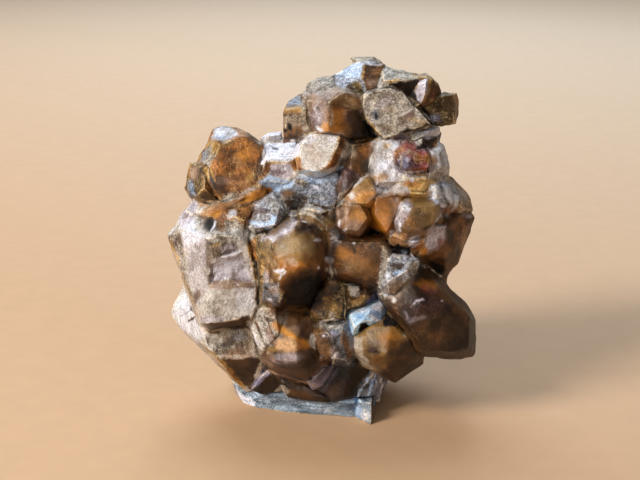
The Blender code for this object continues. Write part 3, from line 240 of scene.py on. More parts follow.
        (1.4, 6.3, 1.8), (-0.1, 5.6, 2.4), (-0.9, 4.4, 2.8), (-0.6, 3.9, 2.4),
        (0.2, 4.0, 2.0), (0.9, 5.1, 1.8)], [
        (0.5, 5.6, 3.3), (-0.6, 4.4, 3.5), (0.0, 4.3, 3.3), (1.1, 5.9, 2.9)]),
    "bottom_fan": (6.0, [
        (5.5, 5.4, -0.4), (6.7, 4.5, -1.0), (6.4, 3.3, -1.0), (5.8, 2.2, -0.6),
        (4.2, 2.3, 0.0), (3.2, 2.7, 0.2), (3.7, 3.7, 0.4)], [
        (5.3, 5.0, 1.0), (4.0, 3.6, 1.6), (5.9, 3.9, 0.8), (5.4, 2.6, 1.0),
        (3.9, 2.7, 1.6)]),
    "middle_seam": (6.0, [
        (0.4, 20.2, 1.2), (1.6, 20.4, 1.4), (2.2, 19.0, 1.6), (2.0, 16.4, 1.6),
        (1.6, 14.0, 1.4), (0.6, 13.6, 1.4), (0.2, 17.0, 1.6)], [
        (0.9, 19.2, 2.9), (1.6, 18.4, 2.9), (1.3, 15.2, 2.8), (0.8, 16.8, 3.0)]),
    "middle_cap": (6.0, [
        (-3.0, 20.8, 1.6), (-2.2, 21.6, 1.4), (-0.6, 21.6, 1.4), (0.8, 20.6, 1.6),
        (1.0, 19.4, 1.8), (-0.6, 18.6, 2.0), (-2.6, 19.2, 2.0)], [
        (-1.8, 20.9, 3.9), (-0.6, 20.6, 4.2), (0.4, 19.8, 3.9), (-1.2, 19.6, 4.4)]),
    # Right of the middle: brown and olive blocks.
    "brown_block": (8.0, [
        (0.8, 17.7, 2.0), (2.0, 18.5, 2.0), (4.0, 18.5, 2.0), (6.2, 18.6, 2.0),
        (6.7, 17.5, 2.2), (6.3, 15.7, 2.2), (5.4, 13.6, 2.2), (4.6, 13.5, 2.2),
        (2.5, 14.3, 2.2), (1.0, 15.3, 2.0)], [
        (2.0, 17.8, 3.6), (5.9, 18.0, 3.9), (6.2, 17.0, 4.2), (5.4, 14.3, 4.0),
        (2.6, 15.0, 4.2), (1.6, 16.2, 3.6)]),
    "olive_tall": (7.0, [
        (0.8, 15.2, 1.5), (2.3, 14.5, 1.5), (2.4, 10.6, 1.7), (0.5, 10.2, 1.8),
        (-0.7, 10.5, 1.8), (-0.9, 11.6, 1.8), (0.0, 13.5, 1.6)], [
        (1.0, 14.2, 3.0), (2.2, 13.8, 3.0), (2.2, 11.0, 3.6), (0.5, 10.7, 3.8),
        (-0.5, 11.2, 3.4), (0.3, 13.2, 3.2)]),
    "olive_small": (6.0, [
        (2.4, 14.3, 1.0), (3.8, 14.2, 1.0), (5.4, 13.4, 1.0), (5.2, 12.5, 1.0),
        (3.5, 11.7, 1.0), (2.7, 11.3, 1.0), (2.4, 12.5, 1.0)], [
        (2.8, 13.7, 2.8), (4.4, 13.2, 2.7), (3.9, 12.3, 2.9), (2.9, 12.0, 2.9)]),
    "olive_tooth": (5.0, [
        (2.6, 13.8, 1.2), (3.8, 14.0, 1.2), (4.2, 13.2, 1.4), (3.2, 12.6, 1.4),
        (2.4, 13.2, 1.4)], [
        (2.9, 13.6, 3.3), (3.7, 13.6, 3.1), (3.2, 13.0, 3.5)]),
    # The lower right: the big dark crystal and the rounded one below it.
    "right_dark": (9.0, [
        (6.1, 15.0, 3.0), (6.0, 12.2, 3.0), (7.2, 10.8, 3.0), (8.5, 9.0, 3.2),
        (10.0, 6.9, 3.0), (13.0, 6.5, 1.4), (15.3, 6.8, 0.6), (15.6, 7.3, 0.4),
        (15.6, 10.7, 0.0), (15.0, 11.7, 0.0), (13.3, 13.5, 0.4), (12.0, 14.7, 0.8),
        (10.5, 15.9, 1.0), (9.0, 16.9, 1.4), (7.0, 16.8, 2.0)], [
        (6.6, 12.6, 5.2), (8.8, 15.0, 4.6), (8.8, 9.6, 6.2), (10.4, 7.6, 5.6),
        (12.8, 7.2, 4.6), (14.8, 7.6, 3.4), (15.0, 10.6, 3.2), (12.2, 13.6, 3.8),
        (10.2, 12.0, 6.4)]),
    "right_frosted": (6.0, [
        (6.2, 13.4, 3.4), (6.3, 15.8, 3.2), (7.0, 16.9, 3.0), (8.8, 17.0, 2.8),
        (9.6, 16.4, 3.6), (8.8, 15.0, 5.0), (7.2, 13.4, 5.6)], [
        (7.1, 16.1, 5.0), (8.4, 16.0, 5.1), (8.4, 15.3, 5.8), (7.0, 14.4, 6.0)]),
    "right_ball": (8.0, [
        (3.3, 8.9, 2.5), (4.6, 9.8, 2.5), (6.5, 10.3, 2.5), (8.0, 9.8, 2.5),
        (8.9, 8.7, 2.5), (10.1, 7.0, 2.0), (10.0, 6.0, 1.8), (8.6, 5.0, 1.8),
        (7.3, 4.3, 1.8), (5.6, 5.3, 2.2), (4.3, 6.0, 2.4), (3.3, 7.4, 2.5)], [
        (4.6, 9.0, 4.6), (7.0, 9.4, 5.0), (8.4, 8.2, 5.0), (8.8, 6.4, 4.2),
        (7.2, 5.2, 4.4), (5.2, 6.2, 5.2), (4.2, 7.6, 4.8), (6.6, 7.2, 6.0)]),
    # The right lobe: pale on top with a red crystal in it, orange in front.
    "pale_block": (7.0, [
        (4.9, 25.5, 0.4), (5.1, 26.5, 0.2), (5.7, 27.8, -0.4), (7.2, 28.5, -0.8),
        (8.5, 28.3, -0.6), (10.8, 27.8, -0.4), (11.2, 25.0, 1.0), (8.0, 23.8, 1.4),
        (5.5, 23.6, 1.0)], [
        (5.7, 26.4, 2.4), (6.2, 27.2, 2.0), (7.4, 27.7, 1.8), (8.0, 25.8, 3.0),
        (8.2, 24.6, 3.4), (6.0, 24.6, 3.2)]),
    "red_crystal": (4.0, [
        (8.1, 27.7, 0.6), (9.2, 27.9, 0.5), (11.0, 27.4, 0.5), (11.2, 26.7, 0.8),
        (10.8, 25.3, 1.6), (8.4, 25.1, 1.8), (7.6, 26.2, 1.4)], [
        (8.5, 27.3, 2.6), (10.4, 27.1, 2.5), (10.6, 26.0, 3.2), (8.6, 25.7, 3.7),
        (8.1, 26.4, 3.4)]),
    "pale_corner": (5.0, [
        (10.6, 27.5, 0.6), (11.6, 27.7, 0.4), (12.5, 27.4, 0.2), (12.8, 26.5, 0.2),
        (12.5, 25.3, 0.4), (10.8, 24.5, 1.4), (10.4, 25.6, 1.6)], [
        (11.2, 27.0, 1.9), (12.2, 26.8, 1.5), (12.0, 26.0, 1.9), (11.1, 25.2, 2.4)]),
    "right_shoulder": (8.0, [
        (12.0, 25.4, -1.0), (12.8, 25.0, -1.4), (15.0, 23.0, -2.4), (15.3, 21.6, -2.0),
        (13.6, 20.8, 0.2), (11.2, 21.0, 1.2), (10.6, 23.8, 0.8)], [
        (12.6, 24.3, 0.9), (13.6, 22.3, 1.4), (14.2, 21.8, 0.9), (11.8, 22.0, 2.0)]),
    "right_flank": (8.0, [
        (11.8, 20.6, 1.4), (14.0, 21.4, 0.2), (15.0, 21.4, -1.4), (15.4, 20.7, -1.8),
        (15.0, 19.3, -1.8), (14.4, 17.5, -1.4), (13.8, 16.1, -0.8), (12.6, 15.4, 0.0),
        (11.0, 16.2, 1.2), (9.2, 17.4, 1.8), (9.4, 19.0, 2.0)], [
        (13.8, 20.6, 1.4), (14.3, 19.6, 1.2), (13.2, 17.6, 2.0), (12.3, 19.9, 3.6),
        (10.8, 19.4, 4.0), (10.6, 17.8, 3.8), (12.4, 17.2, 3.0)]),
    "honey_block": (6.0, [
        (8.5, 22.6, 3.0), (10.5, 22.8, 2.6), (12.4, 22.4, 2.2), (12.3, 21.1, 2.6),
        (11.0, 19.7, 3.0), (9.5, 18.9, 3.2), (7.9, 18.9, 3.2), (7.3, 20.3, 3.0)], [
        (8.6, 21.8, 5.6), (11.6, 21.8, 5.0), (11.4, 21.0, 5.4), (10.4, 20.0, 5.8),
        (9.0, 19.6, 6.0), (8.0, 20.4, 5.6)]),
    "orange_wedge": (6.0, [
        (5.2, 22.5, 1.8), (6.5, 23.5, 1.4), (8.8, 23.6, 1.4), (8.6, 22.2, 2.2),
        (7.6, 20.5, 2.6), (6.8, 19.2, 2.6), (6.0, 19.7, 2.4), (5.1, 21.2, 2.2)], [
        (6.0, 22.4, 3.4), (8.0, 22.6, 3.4), (7.2, 20.6, 4.2), (6.6, 19.9, 4.2),
        (5.8, 21.0, 3.8)]),
    "orange_slope": (7.0, [
        (2.5, 23.3, 1.2), (4.6, 25.1, 0.4), (5.8, 24.7, 0.6), (6.5, 23.5, 1.2),
        (5.4, 22.1, 2.0), (2.5, 21.2, 2.0), (1.4, 21.5, 1.6)], [
        (3.6, 23.6, 2.8), (4.8, 24.2, 2.4), (5.5, 23.2, 3.2), (4.6, 22.3, 3.7),
        (3.0, 22.2, 3.4)]),
    "brown_ball": (7.0, [
        (1.3, 21.3, 2.0), (2.5, 22.2, 2.0), (4.2, 22.1, 2.0), (4.9, 21.1, 2.2),
        (5.1, 20.2, 2.2), (4.0, 18.7, 2.4), (2.7, 18.8, 2.4), (1.6, 19.7, 2.2)], [
        (2.6, 21.4, 4.0), (4.0, 21.4, 4.3), (4.5, 20.4, 4.6), (3.8, 19.4, 4.6),
        (2.6, 19.6, 4.4)]),
    "frosted_lip": (5.0, [
        (6.8, 20.0, 2.4), (7.3, 18.6, 2.4), (9.0, 17.7, 2.4), (10.5, 18.0, 2.2),
        (10.6, 19.4, 2.4), (8.6, 20.4, 2.4)], [
        (7.6, 19.0, 3.9), (9.4, 18.4, 4.4), (10.2, 18.6, 4.2)]),
    "rose_ledge": (6.0, [
        (6.8, 25.0, 0.4), (8.2, 25.4, 0.6), (10.6, 25.2, 0.6), (12.4, 24.8, 0.2),
        (12.6, 23.8, 0.4), (11.0, 22.6, 1.4), (8.6, 22.6, 1.8), (6.8, 23.4, 1.4)], [
        (8.0, 24.7, 3.0), (10.4, 24.5, 3.0), (11.6, 24.0, 2.2), (10.2, 23.3, 3.3),
        (8.2, 23.4, 3.4)]),
    "shoulder_lump": (5.0, [
        (10.6, 23.8, 1.2), (12.0, 24.6, 0.8), (13.0, 23.9, 0.4), (13.7, 22.4, 0.2),
        (13.2, 21.6, 1.0), (11.4, 22.4, 1.8)], [
        (11.6, 23.6, 2.7), (12.6, 23.4, 2.2), (13.0, 22.3, 2.1), (11.8, 22.8, 2.9)]),
    # The upper middle: the white-faced block, the pale crystal and the grey slab.
    "white_faced": (6.0, [
        (-6.1, 25.4, -0.4), (-5.7, 27.4, -1.6), (-5.4, 28.3, -2.4), (-2.0, 28.4, -2.4),
        (-1.8, 27.0, -1.2), (-2.2, 25.0, 0.0), (-3.2, 24.0, 0.2), (-5.9, 24.2, 0.0)], [
        (-5.3, 26.4, 1.0), (-2.9, 26.4, 1.0), (-2.5, 25.2, 0.8), (-3.3, 24.5, 1.0),
        (-5.7, 24.8, 0.9)]),
    "pale_crystal": (7.0, [
        (-2.3, 27.3, 0.0), (-2.0, 28.4, -0.4), (-1.4, 29.1, -0.8), (0.0, 29.3, -1.0),
        (1.8, 29.3, -0.8), (2.6, 28.7, -0.2), (3.2, 27.5, 0.2), (3.0, 26.5, 0.4),
        (2.0, 25.6, 0.6), (0.5, 25.2, 0.6), (-2.0, 25.4, 0.4)], [
        (-1.5, 28.0, 1.8), (0.0, 28.8, 1.6), (1.8, 28.8, 1.6), (1.6, 27.4, 2.4),
        (0.8, 26.0, 2.8), (0.2, 25.6, 2.8), (-1.7, 26.0, 2.3)]),
    "dark_gap": (7.0, [
        (2.5, 28.4, -0.8), (3.6, 28.3, -0.8), (5.8, 28.7, -1.0), (6.2, 28.2, -0.8),
        (5.4, 26.5, -0.4), (4.9, 25.0, 0.0), (3.5, 23.8, 0.2), (2.3, 23.4, 0.2),
        (2.0, 25.7, -0.2)], [
        (3.4, 27.8, 0.6), (5.6, 28.1, 0.2), (5.0, 26.4, 0.9), (3.2, 26.2, 1.4),
        (3.4, 24.6, 1.6), (4.4, 25.2, 1.2)]),
    "grey_slab": (8.0, [
        (-2.4, 25.6, -0.6), (2.1, 25.9, -0.6), (2.5, 23.4, 0.2), (1.5, 21.3, 1.0),
        (-3.6, 21.2, 0.8), (-4.2, 23.4, 0.2)], [
        (-2.0, 24.6, 1.0), (1.7, 24.9, 1.2), (1.8, 23.2, 1.8), (1.2, 22.0, 2.4),
        (-1.8, 22.2, 2.3), (-3.4, 22.6, 1.6)]),
    "brown_wedge": (6.0, [
        (2.2, 25.8, 0.4), (3.2, 25.6, 0.6), (3.9, 24.8, 0.8), (3.7, 23.8, 1.2),
        (2.8, 23.2, 1.6), (1.8, 22.0, 1.8), (1.9, 24.0, 1.2)], [
        (2.7, 25.0, 2.2), (3.3, 24.6, 2.2), (2.8, 23.8, 2.7), (2.2, 23.4, 2.6)]),
    "rough_high": (5.0, [
        (-5.2, 22.6, -0.2), (-3.6, 22.8, -0.2), (-2.8, 21.8, 0.2), (-3.6, 20.8, 0.8),
        (-5.2, 21.0, 0.8)], [
        (-4.6, 22.2, 1.6), (-3.6, 22.2, 1.6), (-3.6, 21.4, 2.1), (-4.6, 21.4, 2.2)]),
    "rough_low": (5.0, [
        (-6.6, 21.8, 0.4), (-5.4, 22.2, 0.2), (-4.4, 21.0, 0.8), (-4.8, 20.0, 1.2),
        (-6.4, 20.4, 1.0)], [
        (-5.9, 21.4, 2.5), (-5.2, 21.4, 2.5), (-5.2, 20.6, 3.0)]),
    "sparkle_lump": (6.0, [
        (-6.4, 22.0, 0.8), (-4.8, 22.9, 0.6), (-3.5, 22.2, 0.8), (-2.9, 21.0, 1.2),
        (-4.5, 19.4, 1.6), (-6.5, 18.9, 1.6), (-7.3, 19.7, 1.4)], [
        (-5.8, 21.4, 2.8), (-4.2, 21.6, 3.0), (-4.6, 20.1, 3.6), (-6.4, 19.9, 3.5)]),
    "tan_sliver": (4.0, [
        (-1.9, 21.9, 1.6), (-0.2, 21.8, 1.6), (1.2, 21.4, 1.8), (0.6, 20.4, 2.0),
        (-1.5, 20.6, 2.0)], [
        (-1.3, 21.4, 3.0), (0.3, 21.1, 3.1)]),
    "bottom_under": (6.0, [
        (-4.1, 4.9, 0.6), (-2.6, 4.5, 0.6), (-1.0, 4.2, 0.5), (0.2, 3.7, 0.6),
        (1.4, 2.7, 1.2), (1.2, 2.4, 1.0), (0.2, 2.5, 0.8), (-1.2, 2.6, 0.6),
        (-2.3, 2.9, 0.5), (-3.3, 3.5, 0.5)], [
        (-3.2, 4.0, 0.9), (-1.4, 3.3, 1.2), (0.4, 2.8, 1.5), (-2.2, 3.3, 1.0)]),
}

# %% [markdown]
# ## The sides and the back
# The photo shows nothing of them. Zircon nearly always grows in the same shape, so the guess is
# that shape and no more: a square prism with a pyramid on each end, turned away from the heart
# where it started. A middle, a breadth and a length are enough for each.

# %% The other crystals
BACK_CRYSTALS = [
    ((-5.4, 8.2, -5.2), 5.6, 8.6), ((-0.8, 8.0, -6.6), 6.4, 9.6), ((4.2, 8.4, -6.4), 5.8, 9.0),
    ((8.0, 8.8, -3.2), 5.6, 7.6),
    ((-8.8, 12.2, -4.4), 5.4, 8.0), ((-4.2, 12.0, -8.0), 6.6, 9.6), ((1.4, 12.4, -9.2), 6.8, 9.6),
    ((6.4, 12.2, -7.4), 6.6, 9.4), ((9.2, 11.2, -4.0), 5.4, 7.4),
    ((-9.8, 16.4, -4.2), 5.2, 8.4), ((-6.6, 16.8, -7.8), 6.2, 9.8), ((-1.4, 17.0, -10.0), 7.6, 9.8),
    ((4.4, 16.6, -9.8), 6.6, 9.8), ((8.4, 17.2, -6.8), 6.2, 9.0), ((11.0, 18.6, -3.4), 5.0, 7.0),
    ((-9.4, 21.0, -3.8), 4.8, 6.8), ((-6.0, 21.4, -7.0), 6.4, 9.4), ((-0.8, 21.6, -9.2), 6.8, 9.8),
    ((4.2, 21.6, -9.4), 7.0, 9.6), ((8.6, 21.8, -6.8), 6.2, 9.0), ((11.6, 21.4, -2.8), 4.8, 5.8),
    ((-8.2, 25.0, -4.0), 5.8, 8.4), ((-4.0, 25.0, -6.2), 5.8, 8.4), ((0.6, 25.4, -7.4), 6.2, 9.2),
    ((5.0, 25.8, -8.2), 6.0, 9.0), ((9.0, 25.4, -5.4), 5.4, 7.8),
    ((0.0, 29.4, -4.4), 5.0, 7.6), ((4.2, 29.6, -6.8), 5.6, 8.4), ((8.4, 29.8, -5.4), 5.4, 7.6),
    ((2.2, 32.0, -5.0), 4.6, 6.6), ((5.4, 32.2, -6.4), 4.8, 6.8), ((9.0, 31.6, -4.6), 4.6, 6.4),
]
# The middle of the cluster, where those crystals and the front ones start.
HEART_CRYSTALS = [
    ((0.2, 17.0, -6.2), 11.0, 20.0), ((-5.3, 15.8, -5.0), 8.6, 17.0), ((7.0, 15.6, -5.2), 8.6, 16.0),
    ((4.8, 29.3, -4.4), 6.4, 10.0),
]
PYRAMID_LEAN = math.radians(48)
UNEVEN = 0.16
WANDER = 0.75
GROWTH_SEED = 7

# %% [markdown]
# ## The feldspar
# Feldspar fills the room that the zircon left, so it sits below the cluster and in its gaps. The
# foot is made of hulls like the front crystals and of split blocks behind them. The pale grains
# are one hull each. The foot's corners are (x, y, z), since it stands on the ground.

# %% Corners of the feldspar
# The foot's own front, and the spur at the front on the right.
FOOT_FRONT = [
    (4.2, -4.2, 0.0), (2.0, -3.5, 0.0), (-1.9, -3.0, 0.0), (-5.2, -2.0, 0.0), (-6.8, -0.7, 0.0),
    (-7.7, 2.0, 0.0), (-7.8, 6.0, 0.0), (-2.4, 8.8, 0.0), (5.6, 7.6, 0.0), (6.6, 1.0, 0.0),
    (5.4, -3.8, 0.0), (-7.9, 1.2, 1.6), (-6.6, -0.5, 1.5), (-4.8, -1.7, 1.4), (-1.9, -2.6, 1.5),
    (4.6, -4.4, 2.0), (5.9, -1.0, 2.6), (-8.4, 4.8, 2.4), (-6.0, 6.0, 4.2), (4.6, 5.0, 4.8),
    (4.6, 1.0, 4.4), (-4.6, 3.0, 4.4),
]
FOOT_SPUR = [
    (6.2, -6.0, 0.0), (4.7, -4.0, 0.0), (3.6, -1.0, 0.0), (6.8, -1.0, 0.0), (6.4, -5.4, 2.0),
    (5.3, -5.2, 2.2), (4.6, -1.0, 1.8), (6.6, -1.0, 1.8),
]
# Feldspar splits into blocks. Those of the foot's sides and back: middle in x and y, length,
# width and height in millimetres, and turn in degrees.
FOOT_BLOCKS = [
    (-5.2, 7.6, 5.2, 4.6, 3.6, 24), (-1.2, 9.4, 6.4, 4.2, 4.6, -8), (3.6, 8.8, 4.8, 4.4, 3.4, 14),
    (5.9, 4.2, 3.2, 6.4, 3.9, 4), (-6.2, 4.2, 2.8, 3.4, 2.8, 38), (6.2, 0.6, 2.2, 3.6, 2.7, -12),
    (1.2, 11.0, 4.4, 2.2, 2.2, 10), (-6.4, 7.6, 2.4, 3.0, 1.9, 15),
]
BLOCK_LEAN = math.radians(7)

# The loose feldspar grains, in the same words as the front crystals.
FELDSPAR_GRAINS = {
    "feldspar_grain_centre": (4.0, [
        (2.4, 10.7, 1.8), (2.7, 11.5, 1.8), (3.2, 11.7, 1.8), (5.0, 12.0, 2.0),
        (6.0, 12.4, 2.0), (6.4, 11.8, 2.2), (6.4, 10.0, 2.4), (5.2, 10.1, 3.0),
        (4.6, 9.5, 3.0), (3.3, 8.9, 3.0), (2.9, 9.7, 2.4)], [
        (3.0, 11.0, 3.8), (5.1, 11.7, 3.6), (6.1, 11.8, 3.2), (6.2, 10.4, 3.6),
        (4.2, 10.4, 4.6), (3.4, 9.6, 4.4)]),
    "feldspar_grain_crown": (4.0, [
        (8.5, 29.2, -0.6), (11.0, 29.7, -0.8), (12.0, 29.8, -1.4), (12.1, 29.2, -1.6),
        (11.6, 28.7, -1.4), (10.0, 28.3, -0.4), (9.2, 27.8, -0.2), (8.4, 28.5, -0.2)], [
        (9.0, 29.1, 0.5), (11.2, 29.4, 0.1), (9.4, 28.4, 0.8)]),
    "feldspar_grain_upper": (3.0, [
        (-5.9, 28.8, -2.8), (-5.4, 29.1, -3.0), (-4.7, 29.3, -3.2), (-3.8, 29.3, -3.2),
        (-3.7, 28.5, -2.6), (-5.2, 28.4, -2.2)], [
        (-5.2, 28.9, -1.7), (-4.0, 29.0, -1.8)]),
}
SPLIT_SEED = 3
CORNER_SPLIT = (0.45, 0.45, 0.5)


# %% [markdown]
# ## From corners to facets
# The hull of the corners has many small triangles. Those that lean nearly alike are one growth face
# of the real crystal, so they become one plane. A crystal is then simply what lies inside all of
# its planes, each written as (normal, distance from the origin).

# %% Facet planes
SAME_FACET = math.radians(13)
GROUND_CLEARANCE = 0.8
GROUND = (np.array([0.0, 0.0, -1.0]), -GROUND_CLEARANCE)
# Each body has random numbers of its own, which start at its seed.
FIRST_SEED, SEED_STEP = 5, 3


def unit(vector):
    """The vector divided by its own length."""
    return vector / np.linalg.norm(vector)


def nearest_heart(place):
    """The heart at the least distance from a place."""
    return np.array(min(HEARTS, key=lambda heart: np.linalg.norm(np.array(heart) - place)))


def crystal_corners(depth, rim, front):
    """The front, the rim, and the rim again, narrower, on its way to the nearest heart."""
    rim = np.array(rim)
    middle = rim.mean(axis=0)
    inward = unit(nearest_heart(middle) - middle)
    rings = [
        middle + depth * share * inward + (rim - middle) * width for share, width in ROOT_RINGS
    ]
    return [on_sight_line(*corner) for corner in np.concatenate([front, rim, *rings])]


def hull_facets(corners):
    """The hull's triangles, largest first, gathered into planes through their shared middle."""
    shape = bmesh.new()
    for corner in corners:
        shape.verts.new(corner)
    bmesh.ops.convex_hull(shape, input=shape.verts)
    bmesh.ops.recalc_face_normals(shape, faces=shape.faces)
    faces = [
        (face.calc_area(), np.array(face.normal), np.array(face.calc_center_median()))
        for face in shape.faces
    ]
    shape.free()
    faces.sort(key=lambda face: -face[0])
    groups = []
    for area, normal, middle in faces:
        for group in groups:
            if np.dot(group["normal"], normal) > math.cos(SAME_FACET):
                break
        else:
            group = {"area": 0.0, "sum": np.zeros(3), "reach": 0.0, "normal": normal}
            groups.append(group)
        group["area"] += area
        group["sum"] += area * normal
        group["reach"] += area * middle
        group["normal"] = unit(group["sum"])
    return [
        (group["normal"], float(np.dot(group["reach"] / group["area"], group["normal"])))
        for group in groups
    ]


def habit_facets(centre, outward, breadth, length, growth):
    """A prism of four sides with a pyramid of four on each end, each face at its own distance.
    The long axis points outward, more or less."""
    axis = unit(unit(outward) + growth.normal(0.0, WANDER, 3))
    side = unit(np.cross(axis, growth.normal(0.0, 1.0, 3)))
    other = np.cross(axis, side)
    facets = []
    for square in (side, other, -side, -other):
        reach = 0.5 * breadth * growth.uniform(1 - UNEVEN, 1 + UNEVEN)
        facets.append((square, reach + np.dot(centre, square)))
        for end in (-axis, axis):
            tilted = math.cos(PYRAMID_LEAN) * end + math.sin(PYRAMID_LEAN) * square
            reach = 0.5 * length * growth.uniform(1 - UNEVEN, 1 + UNEVEN) * math.cos(PYRAMID_LEAN)
            facets.append((tilted, reach + np.dot(centre, tilted)))
    return facets


def set_planes(body):
    """The normals and the distances of a body's facets, as arrays."""
    body["normals"] = np.array([normal for normal, _ in body["facets"]])
    body["reaches"] = np.array([reach for _, reach in body["facets"]])


growth = np.random.default_rng(GROWTH_SEED)
crystals = []
for kind, rows in (("heart", HEART_CRYSTALS), ("back", BACK_CRYSTALS)):
    for number, (middle, breadth, length) in enumerate(rows):
        centre = on_sight_line(*middle)
        outward = centre - on_sight_line(*nearest_heart(middle))
        facets = habit_facets(centre, outward, breadth, length, growth)
        crystals.append({"name": f"{kind}_{number}", "facets": [*facets, GROUND]})
for name, corners in FRONT_CRYSTALS.items():
    facets = hull_facets(crystal_corners(*corners))
    crystals.append({"name": name, "facets": [*facets, GROUND]})
for number, crystal in enumerate(crystals):
    crystal["seed"] = FIRST_SEED + SEED_STEP * number
    set_planes(crystal)
print(len(crystals), "crystals,", sum(len(c["facets"]) for c in crystals), "facets")

# %% [markdown]
# ## A body with flat faces
# The body inside the planes comes from a block of which each plane slices off a side. That gives
# the outline of every facet, with corners and edges that neighbouring facets share exactly, which
# is what keeps the surface closed later.

# %% Slice the bodies
BLANK_SIZE = 200.0
SAME_CORNER = 1e-5
NEAR_BY = 1.5


def slice_body(crystal):
    """Keeps the corners, each facet's ring of corners, and three axes with the longest first."""
    shape = bmesh.new()
    bmesh.ops.create_cube(shape, size=BLANK_SIZE)
    for normal, distance in crystal["facets"]:
        cut = bmesh.ops.bisect_plane(
            shape,
            geom=[*shape.verts, *shape.edges, *shape.faces],
            dist=SAME_CORNER,
            plane_co=normal * distance,
            plane_no=normal,
            clear_outer=True,
        )
        rim = [edge for edge in cut["geom_cut"] if isinstance(edge, bmesh.types.BMEdge)]
        if rim:
            bmesh.ops.contextual_create(shape, geom=rim)
    bmesh.ops.recalc_face_normals(shape, faces=shape.faces)
    shape.verts.index_update()
    crystal["corners"] = np.array([corner.co[:] for corner in shape.verts])
    middle = crystal["corners"].mean(axis=0)
    crystal["long_first"] = np.linalg.svd(crystal["corners"] - middle)[2]
    leans = np.array([face.normal[:] for face in shape.faces]) @ crystal["normals"].T
    crystal["rings"] = [
        ([corner.index for corner in face.verts], int(leans[number].argmax()))
        for number, face in enumerate(shape.faces)
    ]
    shape.free()


def slice_all():
    """Every body, its box, and the neighbours whose boxes come near its own."""
    for crystal in crystals:
        slice_body(crystal)
        crystal["box"] = (crystal["corners"].min(axis=0), crystal["corners"].max(axis=0))
    for crystal in crystals:
        low, high = crystal["box"]
        crystal["neighbours"] = [
            other
            for other in crystals
            if other is not crystal
            and (other["box"][0] < high + NEAR_BY).all()
            and (other["box"][1] > low - NEAR_BY).all()
        ]


slice_all()
print("corners:", sum(len(crystal["corners"]) for crystal in crystals))

# %% [markdown]
# ## Seams
# How far a point stands off a crystal is the largest of its distances to the crystal's planes, and
# that is below nothing inside. The smallest such number over the neighbours says how near a point
# is to a seam. It drives the shade that is painted into the grooves between crystals, and tells
# which facets never show.

# %% Distance to the neighbours
NO_NEIGHBOUR = 9.0


def stand_off(points, crystal):
    """The largest signed distance to the planes: above 0 outside, below 0 inside."""
    return (points @ crystal["normals"].T - crystal["reaches"]).max(axis=1)


def to_the_seam(points, crystal):
    """The smallest stand-off from any neighbour, and the number of that neighbour."""
    nearest = np.full(len(points), NO_NEIGHBOUR)
    owner = np.zeros(len(points), int)
    for number, other in enumerate(crystal["neighbours"]):
        apart = stand_off(points, other)
        owner[apart < nearest] = number
        nearest = np.minimum(nearest, apart)
    return nearest, owner

# %% [markdown]
# ## A facet as a grid
# A facet is a flat grid of two parameters, s along its first edge and t across it, with every
# second row shifted by half a step, trimmed to the outline. Its rim is sampled once for each edge,
# so both facets there use the same points. Two rows run close along the rim, because that is where
# the worn edge bends. Delaunay triangles join rows and rim.

# %% Facet grids
EDGE_ROWS = (0.05, 0.12)
# A place of such a row that lies nearer than this share of its distance to another edge is left out.
ROW_SLACK = 0.97
TRIAL_PITCH = 0.5


def edge_points(corners, ring_edges, pitch):
    """Points along each edge, counted from its lower corner number, so that they are shared."""
    points = [corners]
    numbers = {}
    count = len(corners)
    for low, high in ring_edges:
        steps = max(1, math.ceil(np.linalg.norm(corners[high] - corners[low]) / pitch))
        shares = np.arange(1, steps)[:, None] / steps
        points.append(corners[low] + shares * (corners[high] - corners[low]))
        numbers[low, high] = list(range(count, count + steps - 1))
        count += steps - 1
    return np.concatenate(points), numbers


def facet_grid(outline, normal, pitch):
    """Rows of (s, t) inside a flat outline, with two rows along its rim, and as points in space."""
    ahead = unit(outline[1] - outline[0])
    beside = np.cross(normal, ahead)
    flat = np.stack([(outline - outline[0]) @ ahead, (outline - outline[0]) @ beside], axis=1)
    run = np.roll(flat, -1, axis=0) - flat
    lengths = np.linalg.norm(run, axis=1)
    run = run / lengths[:, None]
    inward = np.stack([-run[:, 1], run[:, 0]], axis=1)
    reach = (flat * inward).sum(axis=1)

    def from_rim(spots):
        """The distance to the nearest edge, below 0 outside."""
        return (spots @ inward.T - reach).min(axis=1)

    low, high = flat.min(axis=0), flat.max(axis=0)
    rise = pitch * math.sqrt(0.75)
    s, t = np.meshgrid(np.arange(low[0], high[0], pitch), np.arange(low[1], high[1], rise))
    s = s + 0.5 * pitch * (np.arange(len(t)) % 2)[:, None]
    rows = np.stack([s.ravel(), t.ravel()], axis=1)
    kept = [rows[from_rim(rows) > EDGE_ROWS[-1] + 0.5 * pitch]]
    for row in EDGE_ROWS:
        for corner, way, across, length in zip(flat, run, inward, lengths):
            count = max(1, round(length / pitch))
            shares = (np.arange(count) + 0.5)[:, None] / count
            spots = corner + shares * length * way + row * across
            kept.append(spots[from_rim(spots) > ROW_SLACK * row])
    spots = np.concatenate(kept)
    return spots, outline[0] + spots[:, :1] * ahead + spots[:, 1:] * beside


def gaps_of_facet(crystal, ring, facet):
    """How far a facet's corners and some places on it are from the nearest neighbour."""
    outline = crystal["corners"][ring]
    trial = facet_grid(outline, crystal["normals"][facet], TRIAL_PITCH)[1]
    return to_the_seam(np.concatenate([outline, trial]), crystal)[0]

# %% [markdown]
# ## Crystals that meet
# Left alone, the crystals would stand a little apart, as pebbles do. Real ones grow until they are
# in each other's way. So a facet that looks at a near neighbour over most of its area moves out.
# The crystals that draw the outline keep their size.

# %% Grow to meet
MEET_WITHIN = 1.3
MOST_OF_IT = 0.7
GROW_BY = 0.32
STRAIGHT_DOWN = -0.99
KEEP_SIZE = ("heart", "crown", "left_tab", "left_toe", "right_flank", "right_shoulder", "right_dark")


